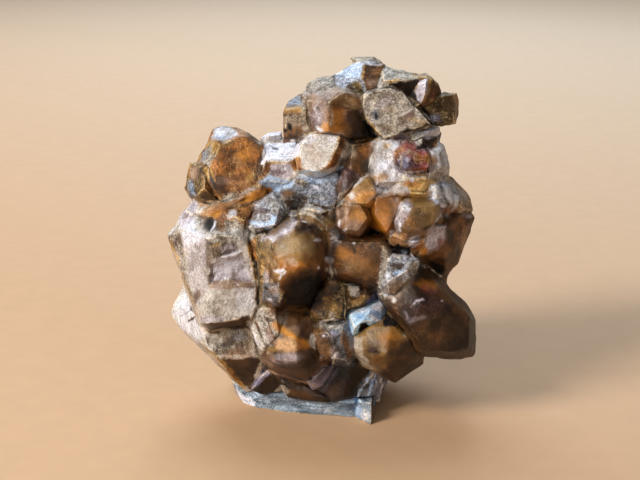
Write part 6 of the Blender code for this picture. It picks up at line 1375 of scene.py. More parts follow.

# %% [markdown]
# ### The right
# Glassy, waxy and frosted stones stand side by side. The small white spots paint the sparkle of
# growth steps that are too fine to model: painted glints.

# %% Marks of the right
RIGHT_MARKS = [
    # The pale block, and the red crystal with a violet left end and a painted glow at its right.
    spot("white", 6.3, 26.0, 0.7, 0.4, 10), spot("white", 7.5, 27.9, 0.5, 0.4, 0, 0.8),
    spot("gold", 6.7, 27.9, 0.5, 0.3, 0, 0.7), spot("peach", 6.2, 24.8, 0.9, 0.4, 10, 0.8),
    line("cream", 0.14, (4.9, 25.2), (5.1, 26.7), (5.8, 28.0), rise=0.02),
    spot("orange", 7.9, 27.2, 0.35, 0.8, -15, 0.9), spot("wine", 8.8, 25.9, 1.2, 0.6, 0, 0.9),
    spot("violet", 8.4, 26.2, 0.5, 0.8, 20, 0.8), spot("lilac", 8.8, 26.5, 0.2, 0.3, 0, 0.6),
    spot("orange", 9.9, 26.7, 0.6, 0.5, -20, 0.8),
    spot("rose", 9.2, 27.1, 0.5, 0.2, 0, 0.5), line("rose", 0.12, (8.0, 25.7), (8.3, 26.9), (9.0, 27.5)),
    spot("glow", 10.8, 26.7, 0.3, 0.5, 0, 0.9),
    line("umber", 0.14, (10.7, 26.8), (10.7, 26.0), (10.9, 25.5), rise=-0.05),
    patch("lilac", (8.4, 25.4), (10.4, 25.5), (10.6, 25.1), (8.6, 25.0)),
    patch("black", (10.5, 25.6), (10.9, 25.9), (11.0, 25.3), (10.8, 25.1), soft=0.1),
    # The clear corner with a white rim, and the stepped ledge below.
    spot("peach", 11.3, 26.3, 0.4, 0.5, 0, 0.8), spot("dusty", 11.8, 25.3, 0.8, 0.5, 20, 0.5),
    line("white", 0.22, (11.4, 27.7), (12.3, 27.5), (12.7, 26.9), (12.6, 26.0), rise=0.02),
    patch("icy", (5.4, 24.3), (7.4, 24.2), (8.9, 23.7), (8.9, 23.2), (7.0, 23.1), (5.7, 23.1),
          soft=0.25, much=0.85),
    line("brown", 0.3, (5.6, 22.9), (7.0, 23.0), (8.9, 22.9), much=0.7),
    spot("orange", 9.2, 24.1, 0.8, 0.35, 0, 0.8), spot("umber", 10.2, 24.4, 0.4, 0.2, 0, 0.7),
    spot("white", 9.2, 24.5, 0.16, 0.14), spot("white", 6.2, 23.5, 0.4, 0.35, 30, 0.9),
    line("cream", 0.16, (9.0, 24.9), (10.6, 24.8), (12.2, 24.9)),
    line("umber", 0.14, (9.2, 23.4), (10.4, 23.3), (10.8, 23.6), rise=-0.06),
    # The shoulder, with a gold line on its edge painted as a highlight, and the grey-white lump on it.
    line("umber", 0.2, (12.8, 25.0), (13.3, 24.0), (13.8, 22.8), (13.8, 21.9), rise=-0.05),
    line("gold", 0.16, (12.9, 25.1), (14.0, 24.0), (15.0, 22.9), (15.1, 21.9), rise=0.02),
    spot("cream", 14.2, 23.0, 0.5, 1.0, 25, 0.5), spot("cream", 13.3, 24.3, 0.4, 0.6, 30, 0.5),
    patch("fog", (11.0, 24.1), (12.6, 24.5), (13.6, 23.2), (13.7, 21.8), (12.5, 21.9), (11.2, 22.3),
          soft=0.3),
    spot("white", 11.6, 23.2, 0.7, 0.7, 0, 0.6), spot("white", 11.5, 22.8, 0.6, 0.25, 0, 0.7),
    spot("white", 13.1, 22.7, 0.3, 0.8, 20, 0.8),
    line("umber", 0.26, (12.1, 23.8), (12.3, 23.0), (12.9, 22.0), much=0.8, rise=-0.05),
    # Orange slope, with its pale rim painted as a highlight, a glow painted as light, and a frosty
    # left end.
    spot("honey", 4.5, 24.1, 1.1, 0.6, 35, 0.8), spot("glow", 4.6, 22.8, 0.9, 0.6, 30, 0.7),
    spot("white", 3.2, 22.9, 0.25, 0.35, 0, 0.8), spot("cream", 2.0, 22.3, 0.5, 0.35, 40, 0.9),
    spot("rose", 2.9, 22.2, 0.5, 0.3, 0, 0.6),
    line("cream", 0.18, (1.8, 22.7), (3.2, 23.9), (4.9, 25.1), rise=0.02),
    # The ball: rose and grey at the left, orange inside with a painted glow, rose-brown below, small
    # glints painted white.
    patch("rose", (1.2, 21.4), (2.0, 21.9), (3.1, 21.7), (2.9, 20.6), (1.7, 19.8), much=0.7, soft=0.3),
    spot("plum", 2.2, 20.9, 0.5, 0.25, 20, 0.6), spot("glow", 3.9, 20.9, 1.0, 0.9, 0, 0.5),
    spot("rose", 3.6, 19.6, 1.2, 0.8, 0, 0.55), spot("brown", 3.4, 18.8, 0.8, 0.4, 0, 0.6),
    spot("gold", 0.9, 20.3, 0.5, 0.7, 20, 0.9), spot("white", 1.95, 20.3, 0.12, 0.3),
    spot("white", 2.5, 19.5, 0.14, 0.12), line("gold", 0.14, (4.3, 22.0), (4.9, 21.3), (4.9, 20.9)),
    line("umber", 0.12, (1.9, 21.8), (3.0, 21.7), (2.9, 20.9), rise=-0.04),
    # The amber wedge, its glow painted as light and its pale top rim as a highlight, and the dark
    # triangle under it.
    spot("brown", 7.3, 22.0, 0.7, 0.7, 0, 0.5), spot("glow", 6.2, 20.9, 0.9, 1.2, 10, 0.35),
    spot("glow", 5.3, 21.9, 0.6, 0.5, 0, 0.5),
    line("rose", 0.22, (4.9, 22.5), (5.8, 22.9), (7.2, 23.1), (8.7, 23.1), rise=0.03),
    patch("dark", (5.1, 20.0), (5.9, 19.6), (6.1, 19.0), (5.2, 18.9), (4.1, 18.4), (4.9, 19.4)),
    spot("white", 5.75, 19.4, 0.12, 0.18),
    # The honey block: grey and rose at its left, olive inside, orange below, with painted white glints.
    patch("lilac", (7.9, 21.9), (8.8, 22.5), (9.3, 22.0), (8.5, 20.4), (7.7, 19.0), (7.3, 20.3),
          much=0.75, soft=0.4),
    spot("white", 8.5, 21.7, 0.5, 0.28, -10), spot("olive", 10.3, 21.4, 1.0, 0.6, 10, 0.4),
    spot("orange", 9.0, 20.1, 0.6, 0.6, 0, 0.7), spot("white", 8.0, 19.9, 0.1, 0.5, 0, 0.8),
    line("lilac", 0.14, (12.1, 22.2), (12.0, 20.9), (11.6, 20.3)),
    line("umber", 0.14, (9.6, 19.3), (10.4, 19.6), (11.8, 20.2), rise=-0.06),
    spot("orange", 12.9, 21.5, 0.7, 0.4, 0, 0.8), spot("white", 12.3, 21.9, 0.2, 0.1, 0, 0.8),
    spot("rose", 14.5, 21.3, 0.6, 0.5, 0, 0.6), spot("lilac", 15.0, 20.9, 0.3, 0.25, 0, 0.8),
    spot("umber", 13.4, 21.0, 0.5, 0.2, 0, 0.7),
    # The dark flank: a lilac facet, an orange band and a glowing right edge, painted as light, as is
    # the small glow at its left.
    patch("lilac", (10.8, 19.4), (11.4, 20.0), (12.7, 20.0), (12.7, 18.6), (11.8, 17.6), (10.8, 17.3),
          (10.4, 18.3), soft=0.3),
    spot("violet", 11.0, 17.8, 0.5, 0.4, 0, 0.6), spot("rose", 9.9, 19.1, 0.5, 0.6, 0, 0.7),
    spot("red", 12.2, 18.3, 0.35, 0.3, 0, 0.7), spot("brown", 12.0, 17.4, 0.9, 0.5, 10, 0.7),
    spot("orange", 9.9, 17.6, 0.8, 0.4, -15, 0.9), spot("glow", 10.3, 17.5, 0.3, 0.25, 0, 0.8),
    spot("orange", 14.1, 19.4, 0.6, 1.3, -10, 0.9), spot("gold", 14.5, 18.2, 0.4, 0.8, -20, 0.6),
    spot("umber", 12.9, 18.9, 0.4, 1.2, 0, 0.8),
    patch("black", (10.9, 16.4), (12.0, 16.2), (12.6, 15.5), (12.4, 14.8), (11.2, 15.4), soft=0.3),
    line("umber", 0.12, (14.3, 20.2), (13.9, 18.3), (13.6, 16.6), rise=-0.05),
    # The lip over the hole, whose black is painted shade, with painted white glints.
    patch("peach", (6.4, 18.9), (8.6, 19.1), (8.8, 18.2), (6.8, 17.9)), spot("black", 6.6, 18.4, 0.14, 0.14),
    patch("lilac", (8.7, 18.4), (9.3, 18.8), (9.9, 19.1), (9.9, 18.2), (9.3, 17.7)),
    spot("white", 9.3, 18.4, 0.3, 0.25, 0, 0.8), spot("white", 7.2, 19.4, 0.2, 0.35, -10, 0.7),
    patch("black", (6.9, 18.0), (7.9, 18.2), (8.5, 17.9), (9.1, 17.8), (9.0, 17.0), (7.1, 17.0)),
    spot("slate", 8.4, 17.4, 0.3, 0.3, 0, 0.8),
    patch("dusty", (6.2, 18.4), (6.9, 17.9), (6.9, 17.0), (6.7, 15.2), (6.4, 14.2), (5.7, 13.6),
          (6.1, 15.4), much=0.8),
    # The top of the big dark crystal: frosted, with glints painted white, and pale grains along its
    # ridge.
    spot("white", 6.8, 15.0, 0.35, 0.35), spot("white", 7.3, 14.4, 0.3, 0.2, 0, 0.9),
    spot("sky", 7.9, 15.2, 0.7, 0.25, 5, 0.8), spot("tan", 9.3, 15.9, 0.8, 0.6, -10, 0.8),
    spot("umber", 7.7, 15.9, 0.8, 0.35, 0, 0.8), spot("white", 8.7, 14.9, 0.2, 0.14, 0, 0.8),
    line("cream", 0.18, (7.1, 16.9), (8.4, 17.0)),
    line("cream", 0.14, (9.5, 16.4), (10.9, 15.7), (12.4, 14.7)),
    # Its big face: milky grey, an orange glow painted as light, plum with painted glints; brown and
    # smooth below, and a black wedge of painted shade at its left.
    spot("milk", 7.7, 13.7, 1.2, 0.7, 25, 0.5), spot("rose", 7.2, 13.1, 0.6, 0.5, 0, 0.5),
    spot("glow", 10.6, 14.1, 1.2, 0.5, -10, 0.8), spot("red", 10.9, 13.5, 1.0, 0.4, -15, 0.5),
    spot("wine", 10.2, 11.6, 2.2, 1.1, 15, 0.9), spot("brown", 12.9, 13.0, 1.5, 0.6, -35, 0.8),
    spot("brown", 14.3, 11.4, 0.8, 0.9, -20, 0.7), spot("lilac", 8.45, 11.0, 0.25, 0.5, 20, 0.9),
    line("lilac", 0.14, (9.1, 11.8), (9.6, 12.4), (10.3, 12.6)),
    spot("white", 12.2, 12.4, 0.15, 0.12, 0, 0.8),
    spot("lilac", 9.7, 10.6, 0.9, 0.3, 15, 0.4), spot("brown", 10.6, 8.6, 2.0, 1.0, 10, 0.5),
    spot("wine", 9.4, 11.2, 0.4, 0.3, 0, 0.9), spot("black", 10.9, 11.2, 0.5, 0.2, 20, 0.7),
    patch("dark", (12.4, 10.0), (15.6, 9.6), (15.6, 6.9), (13.0, 6.6), much=0.6, soft=0.9),
    patch("umber", (6.2, 12.6), (8.2, 12.4), (8.8, 9.4), (6.4, 11.6), soft=0.3),
    spot("orange", 7.6, 11.6, 0.5, 0.5, 0, 0.4), spot("dusty", 6.3, 13.0, 0.3, 0.6, 0, 0.8),
    spot("white", 6.5, 13.1, 0.15, 0.15), spot("cream", 7.4, 12.4, 0.18, 0.18),
    spot("cream", 8.4, 9.1, 0.2, 0.15, 0, 0.8),
    patch("black", (6.4, 11.5), (7.2, 10.8), (8.5, 9.4), (7.6, 10.0), (6.4, 10.0)),
    # The round brown crystal in front of it.
    patch("umber", (5.6, 5.0), (7.3, 3.9), (10.4, 5.8), (10.4, 8.0), (8.6, 8.6), (7.6, 6.4),
          soft=1.0),
    spot("olive", 5.2, 9.1, 1.0, 0.5, 15, 0.3), spot("amber", 7.0, 8.5, 1.1, 0.9, 0, 0.7),
    spot("brown", 7.6, 7.6, 1.2, 0.9, 0, 0.5), spot("olive", 4.4, 7.2, 0.8, 1.2, 10, 0.5),
    spot("plum", 5.2, 7.5, 0.5, 0.25, 20, 0.9), spot("umber", 5.9, 7.2, 0.3, 0.2, 0, 0.8),
    spot("plum", 6.8, 7.2, 0.35, 0.2, -30, 0.7),
    spot("dark", 5.5, 7.3, 0.25, 0.12, 10, 0.9), spot("orange", 5.9, 6.6, 0.6, 0.4, 0, 0.6),
    patch("cream", (3.3, 8.8), (4.4, 8.8), (4.2, 7.4), (5.0, 5.9), (5.6, 5.3), (4.2, 5.8), (3.3, 7.0),
          much=0.55, soft=0.3),
    spot("umber", 8.6, 6.8, 1.8, 1.3, 20, 0.9), spot("dark", 9.2, 7.2, 0.5, 0.3, 0, 0.7),
    line("umber", 0.12, (6.8, 7.4), (7.3, 7.0)),
]

# %% [markdown]
# ### The bottom
# The lowest crystals lean down, away from the light, so their finishes are dark: shade painted into
# their colour. Flutes and pale slivers between them are drawn as lines.

# %% Marks of the bottom
BOTTOM_MARKS = [
    # Fluted cream columns.
    line("cream", 0.5, (-7.0, 10.2), (-6.6, 9.2), (-5.8, 7.9)),
    line("cream", 0.5, (-6.2, 10.0), (-5.6, 8.9), (-5.0, 8.0)),
    line("rose", 0.4, (-5.2, 9.6), (-4.7, 8.7), (-4.3, 8.0)),
    line("umber", 0.16, (-7.2, 9.8), (-6.6, 8.6), (-6.1, 7.4), rise=-0.06),
    line("brown", 0.12, (-6.5, 10.3), (-5.9, 9.0), (-5.5, 8.0), rise=-0.05),
    line("brown", 0.12, (-5.3, 10.7), (-5.0, 9.6), (-4.5, 8.6), rise=-0.05),
    line("umber", 0.12, (-5.4, 8.2), (-4.8, 7.6), (-4.3, 7.2), rise=-0.05),
    line("white", 0.16, (-6.7, 9.3), (-6.2, 8.2)), spot("umber", -5.0, 10.5, 0.35, 0.2, 0, 0.7),
    spot("rose", -5.1, 9.0, 0.35, 0.8, 20, 0.5),
    # The smooth brown crystal: a glow painted as light at its top left, peach and lilac milk in its
    # middle.
    line("glow", 0.6, (-4.4, 10.0), (-3.4, 9.3), (-2.3, 8.6), (-1.4, 8.2)),
    spot("rose", -2.6, 9.6, 0.9, 0.4, 10, 0.3), spot("amber", -1.9, 8.0, 0.8, 0.5, 0, 0.6),
    spot("peach", -3.3, 8.0, 1.1, 0.7, 0, 0.8), line("gold", 0.12, (-3.0, 8.4), (-2.4, 8.1), (-2.3, 7.4)),
    patch("peach", (-4.2, 8.4), (-3.0, 8.5), (-2.3, 8.1), (-2.4, 7.3), (-3.4, 7.3), (-4.3, 7.7),
          soft=0.25, much=0.7),
    spot("lilac", -3.4, 6.6, 1.6, 0.6, 5, 0.6),
    spot("rose", -5.1, 6.6, 0.6, 0.8, 15, 0.6), spot("gold", -4.9, 7.5, 0.5, 0.3, 0, 0.5),
    spot("umber", -2.2, 5.2, 2.2, 0.7, -15, 0.7), spot("dark", -0.9, 6.2, 0.6, 1.2, 0, 0.7),
    line("rose", 0.12, (-5.6, 5.6), (-3.0, 4.6), (-0.9, 4.1), (0.2, 3.4)),
    # Under it: nearly black, shade painted on a face that turns down, with some brown.
    spot("brown", -2.0, 3.1, 1.4, 0.35, -15, 0.35),
    # Grey and brown facets beside it, with a cream knob.
    spot("brown", 0.2, 7.6, 0.8, 1.1, 0, 0.8), spot("brown", 2.7, 8.0, 0.4, 1.3, 10, 0.9),
    spot("violet", 1.1, 9.1, 0.6, 0.35, 0, 0.8), spot("dark", 1.2, 8.4, 0.5, 0.6, 20, 0.7),
    spot("white", 0.4, 8.9, 0.2, 0.12, 0, 0.9),
    patch("lilac", (1.4, 7.3), (2.0, 7.4), (1.9, 6.4), (1.2, 6.5)),
    line("rose", 0.12, (2.2, 9.3), (2.1, 8.3), (1.9, 7.2)), spot("dusty", 0.9, 9.9, 1.4, 0.4, 0, 0.6),
    patch("cream", (-1.0, 9.2), (-0.4, 9.1), (-0.3, 8.2), (-0.6, 7.6), (-1.1, 8.4)),
    line("white", 0.14, (0.1, 10.4), (1.2, 10.5), (2.3, 10.4)),
    # The dark pyramid, the blue and white sliver under it, and the striped fan.
    patch("umber", (0.1, 4.1), (2.0, 4.2), (2.3, 3.0), (1.2, 2.5), much=0.5, soft=0.5),
    patch("violet", (5.4, 5.6), (6.4, 4.2), (6.2, 2.2), (5.4, 2.4), much=0.5, soft=0.3),
    line("sky", 0.16, (4.9, 4.9), (4.3, 3.9), (3.8, 2.9)), line("sky", 0.16, (5.3, 4.6), (4.8, 2.8)),
    patch("dark", (1.8, 6.2), (4.4, 5.6), (3.6, 3.4), (2.2, 2.6), (1.8, 4.2), much=0.7, soft=0.5),
    line("sky", 0.12, (5.4, 5.2), (5.7, 4.2), (5.4, 2.6)),
    line("white", 0.16, (5.9, 5.0), (6.3, 4.1), (5.8, 2.4), rise=0.02),
]

# %% [markdown]
# ### The feldspar
# Feldspar splits along flat planes. Each step of a split is a band of another pale blue or white.

# %% Marks of the feldspar
FELDSPAR_MARKS = [
    # Painted light: a pale blue band on the foot under the cluster, lighter than the shade that the cluster
    # casts there, with a white glint on it.
    patch("feldspar", (1.2, 2.35), (2.2, 3.0), (3.7, 2.8), (4.3, 2.4), (3.4, 2.1), (2.1, 2.2),
          soft=0.1),
    spot("white", 2.3, 2.65, 0.8, 0.2, -5, 0.8),
    line("sky", 0.2, (1.4, 2.25), (2.4, 2.15), (3.3, 2.15)),
    line("slate", 0.16, (1.2, 2.1), (2.4, 1.95), (4.2, 2.05), rise=-0.05),
    spot("sky", 3.4, 10.4, 0.7, 0.5, 30, 0.5), spot("white", 4.0, 11.5, 0.9, 0.3, 10, 0.7),
    patch("white", (5.2, 11.7), (5.9, 12.4), (6.5, 11.7), (6.3, 11.3)),
    patch("violet", (5.0, 11.5), (6.3, 11.3), (6.5, 10.4), (5.0, 10.8), much=0.7),
    line("white", 0.18, (4.9, 10.8), (6.4, 10.2)),
    patch("dark", (3.9, 9.3), (4.2, 10.1), (4.8, 10.3), (5.0, 9.9), (4.6, 9.0), soft=0.15, rise=-0.25),
    patch("white", (-6.2, 28.2), (-5.9, 29.2), (-4.6, 29.5), (-3.7, 29.3), (-3.7, 28.2)),
    patch("white", (10.0, 28.9), (11.0, 29.8), (12.2, 29.9), (12.2, 28.8), (10.8, 28.3)),
    spot("olive", 9.0, 28.7, 0.5, 0.6, 0, 0.6), spot("slate", 9.6, 29.1, 0.4, 0.3, 0, 0.7),
    patch("white", (-8.8, 4.2), (-8.2, 2.0), (-6.6, 1.6), (-6.4, 2.4), (-7.6, 3.0), much=0.9),
    spot("sky", -6.3, 3.2, 0.8, 0.35, 10, 0.8), spot("slate", -3.0, 2.6, 1.8, 0.5, 0, 0.7),
    line("slate", 0.16, (-7.2, 3.6), (-6.0, 2.6), (-4.8, 2.7), rise=-0.05),
    line("slate", 0.14, (-7.6, 2.4), (-6.2, 2.3), rise=-0.04),
    spot("sky", 3.9, 1.4, 0.7, 0.5, -30, 0.8), spot("white", 4.6, 1.0, 0.5, 0.5, 0, 0.8),
    spot("white", 0.6, 1.4, 0.6, 0.3, 0, 0.5),
]

# %% [markdown]
# ## Paint and places
# A crystal that has no name here takes its finish by chance, and each of its facets takes some of
# another, so that the back is as mixed as the front. Then every mark looks for its stone.

# %% Place the marks
BACK_FINISHES = ("olive", "brown", "honey", "orange", "brown", "bronze", "umber", "dark", "amber")
BACK_FACETS = ("cream", "frost", "tan", "gold", "dusty", "umber")
PAINT_SEED = 11
# A mark reaches this far in front of its place and behind it, and further by a share of its size.
MARK_DEPTH, DEPTH_BY_SIZE = 0.8, 0.7

MARKS = [*CROWN_MARKS, *LEFT_MARKS, *MIDDLE_MARKS, *RIGHT_MARKS, *BOTTOM_MARKS]
painting = np.random.default_rng(PAINT_SEED)
for crystal in crystals:
    named = finish_of.get(crystal["name"])
    chosen = FINISHES[named or str(painting.choice(BACK_FINISHES))]
    crystal["marks"] = MARKS
    crystal["paint"] = np.tile(chosen, (len(crystal["facets"]), 1))
    if not named:
        for facet in crystal["paint"]:
            facet += painting.uniform() ** 2 * (FINISHES[str(painting.choice(BACK_FACETS))] - facet)


def place_marks(marks, bodies):
    """Each mark's place on the stone, and how far in front of it and behind it the mark reaches."""
    for mark in marks:
        size = max(mark["high"] - mark["low"])
        mark["place"] = first_seen(*mark["at"], bodies)
        mark["depth"] = MARK_DEPTH + DEPTH_BY_SIZE * size
    print(len(marks), "marks")


place_marks(MARKS, crystals)

# %% [markdown]
# ## Wear
# Every flat grid is now worn. A soft maximum over the planes rounds the edges, more here and less
# there. It passes from one plane to the next over a width, as real wear does, and costs no more
# than the planes themselves.

# %% Wear and finish
EDGE_WEAR = (0.012, 0.045)
# Some crystals are worn rounder than the rest, by these factors.
ROUNDER = {
    "middle": 6.0, "middle_cap": 2.0, "bottom_middle": 4.5, "right_ball": 2.5, "right_dark": 2.0,
    "crown_front": 2.5, "brown_block": 2.0, "honey_block": 2.5, "orange_slope": 1.6,
}
BLEND = 0.04


def mix(first, second, share):
    """The first at share 0, the second at share 1, and in between by even steps."""
    share = np.asarray(share)
    return first + (second - first) * (share[:, None] if first.ndim > share.ndim else share)


def painted(crystal, points):
    """The finish of the facet at each place, blended a little where facets meet."""
    beyond = points @ crystal["normals"].T - crystal["reaches"]
    share = np.exp((beyond - beyond.max(axis=1)[:, None]) / BLEND)
    return share @ crystal["paint"] / share.sum(axis=1)[:, None]


def soft_planes(crystal, beyond, rough_edge):
    """How high a soft maximum of the distances is at each place, and which way it climbs. The wear
    is the width over which one plane passes into the next."""
    wear = EDGE_WEAR[0] + (EDGE_WEAR[1] - EDGE_WEAR[0]) * smooth(0.5 + 0.7 * rough_edge)
    wear = (wear * ROUNDER.get(crystal["name"], 1.0))[:, None]
    pull = np.exp(np.minimum(beyond, 0.0) / wear)
    climb = pull @ crystal["normals"] / pull.sum(axis=1)[:, None]
    return wear[:, 0] * np.log(pull.sum(axis=1)), climb

# %% [markdown]
# ## Drawing the marks
# A mark is drawn as a painter would: a new finish over the old one, as strong as its mask. The rim
# of the mask is ragged, because no stain in stone has a clean edge.

# %% Draw the marks
# Clouds as (size in millimetres, seed, layers).
RAGGED_CLOUD = (0.8, 3, 4)
RAGGED_BY = 0.16
# A mark with a softer rim than this is ragged in full.
RAGGED_FROM = 0.18
MARK_MARGIN = 0.15
EDGE_ON = 0.05


def draw_marks(crystal, points, outward, state):
    """Blends each mark's finish into the state of the points that it reaches, and gives how far
    they rise. A mark fades at its ragged rim, with depth, and where the stone turns away."""
    seen = on_the_plate(points)
    facing = np.einsum("ij,ij->i", outward, unit_rows(EYE - points))
    ragged = RAGGED_BY * cloud(points, *RAGGED_CLOUD)
    low, high = seen.min(axis=0), seen.max(axis=0)
    drawn = np.zeros(len(points))
    for mark in crystal["marks"]:
        edge = MARK_MARGIN + mark["soft"]
        if (mark["low"] - edge > high).any() or (mark["high"] + edge < low).any():
            continue
        near = (seen > mark["low"] - edge).all(axis=1) & (seen < mark["high"] + edge).all(axis=1)
        near = np.flatnonzero(near & (facing > EDGE_ON))
        deep = np.abs((points[near] - mark["place"]) @ PLATE_OUT) / mark["depth"]
        inside = within(mark, seen[near]) + ragged[near] * min(1.0, mark["soft"] / RAGGED_FROM)
        mask = mark["much"] * smooth(0.5 + inside / mark["soft"])
        mask *= smooth(3.0 - 3.0 * deep) * smooth(4 * facing[near])
        state[near] = mix(state[near], FINISHES[mark["paint"]], mask)
        drawn[near] += mark["rise"] * mask
    return drawn

# %% [markdown]
# ## A crust of small crystals
# In the corners between crystals sits a crust of much smaller ones. They are blocks on a lattice,
# each off its place and turned its own way, and the highest one at a place is the one that shows.

# %% A heap of small blocks
BLOCK_REACH, BLOCK_TOP = 0.43, 0.7
BLOCK_SHIFT, BLOCK_SLIMNESS = 0.25, 1.3
ANY_WAY = (0.3, -0.5, 0.8)
# Two heaps as (size in millimetres, seed, share), the finer one on the coarser.
HEAPS = ((1.0, 41, 1.0), (0.55, 51, 0.5))


def druse(points, size, seed):
    """The blocks as a height from 0 to 1. A block falls away evenly with the largest of its three
    distances, below a flat top."""
    cell = np.floor(points / size - 0.5).astype(np.int64)
    height = np.zeros(len(points))
    for step in CELL_CORNERS:
        at = cell + step
        draws = np.stack([lattice_number(at, seed + draw) for draw in range(6)], axis=1)
        away = points / size - (at + 0.5 + BLOCK_SHIFT * draws[:, :3])
        ahead = unit_rows(draws[:, 3:])
        beside = unit_rows(np.cross(ahead, ANY_WAY))
        axes = np.stack([BLOCK_SLIMNESS * ahead, beside, np.cross(ahead, beside)], axis=1)
        reach = np.abs(np.einsum("ikj,ij->ik", axes, away)).max(axis=1)
        height = np.maximum(height, 1.0 - reach / BLOCK_REACH)
    return np.minimum(height / BLOCK_TOP, 1.0)

# %% [markdown]
# ## Relief and seams
# Crystals that grew together don't stand apart like pebbles. Where two meet, the corner between
# them is filled, wide in some places and not at all in others, and each takes on some of the
# other's finish. Clouds raise and sink the facets, and shade is painted into the seams.

# %% Dress one body
# How far from a seam the fill, the shared finish, the small crystals and the painted shade reach.
FILL_REACH, SHARE_REACH, CRUST_REACH, SHADE_REACH = 1.1, 0.6, 0.8, 0.25
CRUST_HEIGHT = 0.22
# How much the painted shade darkens the stone and its film at a seam.
SEAM_SHADE = 0.62
# A broken or worn edge is paler and catches the light: a thin pale line along it is painted into
# the film's colour and cover, part wear and part painted highlight.
RIM_WIDTH = 0.14
RIM_WEAR_AND_HIGHLIGHT = linear(232, 208, 160)
# Clouds that all crystals share, and a crystal's own, which add its seed to theirs.
SEAM_CLOUD, CRUST_CLOUD = (1.9, 9, 3), (2.6, 21, 2)
EDGE_CLOUD, SWELL, RIPPLE = (1.1, 0, 2), (2.4, 2, 2), (0.7, 4, 3)
TONE_CLOUD, DUST_CLOUD = (1.3, 6, 4), (0.8, 8, 4)


def dress(crystal, points, triangles):
    """Worn places of the points, the same triangles, and the looks: stone, film, state and body,
    and the place along the crystal's own axes."""

    def own(size, seed, layers):
        """A cloud of this crystal's own."""
        return cloud(points, size, crystal["seed"] + seed, layers)

    rough_edge = own(*EDGE_CLOUD)
    beyond = points @ crystal["normals"].T - crystal["reaches"]
    over, climb = soft_planes(crystal, beyond, rough_edge)
    steepness = np.linalg.norm(climb, axis=1)
    outward = climb / steepness[:, None]

    gap, owner = to_the_seam(points, crystal)
    gap = np.maximum(gap, 0.0)
    here = cloud(points, *SEAM_CLOUD)
    filled = FILL_REACH * smooth(0.45 + 0.9 * here) + 0.05
    fill = 0.25 * filled * np.clip(1.0 - gap / filled, 0.0, 1.0) ** 2
    state = painted(crystal, points)
    shared = 0.5 * smooth(1.0 - gap / SHARE_REACH)
    for number, other in enumerate(crystal["neighbours"]):
        near = np.flatnonzero((owner == number) & (shared > 0.0))
        state[near] = mix(state[near], painted(other, points[near]), shared[near])
    drawn = draw_marks(crystal, points, outward, state)

    crust = smooth(1.0 - gap / CRUST_REACH) * smooth(0.2 + 1.1 * cloud(points, *CRUST_CLOUD))
    crumb = state[:, CRUMB] + CRUST_HEIGHT * crust * smooth(1.3 - state[:, WAXY])
    lift = state[:, RELIEF] * (1.5 * own(*SWELL) + 1.6 * own(*RIPPLE)) + drawn + fill
    stood = np.flatnonzero(crumb > 0.01)
    heap = sum(share * druse(points[stood], size, seed) for size, seed, share in HEAPS)
    lift[stood] += crumb[stood] * (heap - 0.5)
    shaped = points - climb * (over / steepness**2)[:, None] + outward * lift[:, None]
    shaped[:, 2] = np.maximum(shaped[:, 2], 0.0)

    order = np.argsort(beyond, axis=1)[:, -2:]
    edge = np.take_along_axis(beyond, order, axis=1) @ (-1.0, 1.0)
    normals = crystal["normals"]
    bend = np.einsum("ij,ij->i", normals[order[:, 0]], normals[order[:, 1]])
    # Painted highlight, with some wear: a thin pale line along sharp edges, kept off dark and waxy stone.
    rim = smooth(1.0 - edge / RIM_WIDTH) * smooth(0.6 + 0.8 * rough_edge)
    rim *= np.minimum(1.0, 6.0 * state[:, PALE].mean(axis=1)) * smooth((0.9 - bend) / 0.35)
    rim *= 1.0 - np.minimum(1.0, 1.4 * state[:, WAXY])
    tone = mix(state[:, DEEP], state[:, PALE], smooth(0.5 + 0.75 * own(*TONE_CLOUD)))
    film = mix(state[:, FILM], np.array(RIM_WEAR_AND_HIGHLIGHT), 0.7 * rim)
    dusty = 0.12 * outward[:, 2] + 0.22 * own(*DUST_CLOUD)
    cover = np.clip(state[:, COVER] + dusty + 0.8 * rim + 0.25 * crust, 0.0, 1.0)
    # Painted shade: the stone and its film turn darker close to a seam, more where the seam cloud is low.
    seam_shade = SEAM_SHADE * smooth(1.0 - gap / SHADE_REACH) * smooth(0.4 - 1.2 * here)
    seam_lit = (1.0 - seam_shade)[:, None]
    surface = np.stack([cover, state[:, ROUGH], state[:, CLEAR]], axis=1)
    looks = (
        tone * seam_lit, film * seam_lit, surface, state[:, [GRIT, WAXY, GLOSS]],
        points @ crystal["long_first"].T,
    )
    return shaped, triangles, looks

# %% [markdown]
# ## Grown together
# The crystals of one lobe are joined by Boolean union into one closed solid, since they are one
# stone. A union keeps the looks of the points, but not where it makes new ones along a seam.

# %% Build and join
FRONT_PITCH, FOOT_PITCH, BACK_PITCH = 0.13, 0.18, 0.24
LOOKS = ("tone", "film", "state", "body", "grain")
# The alpha of a look says whether the point had one before the join.
KNOWN, KNOWN_WITHIN = 0.5, 0.01


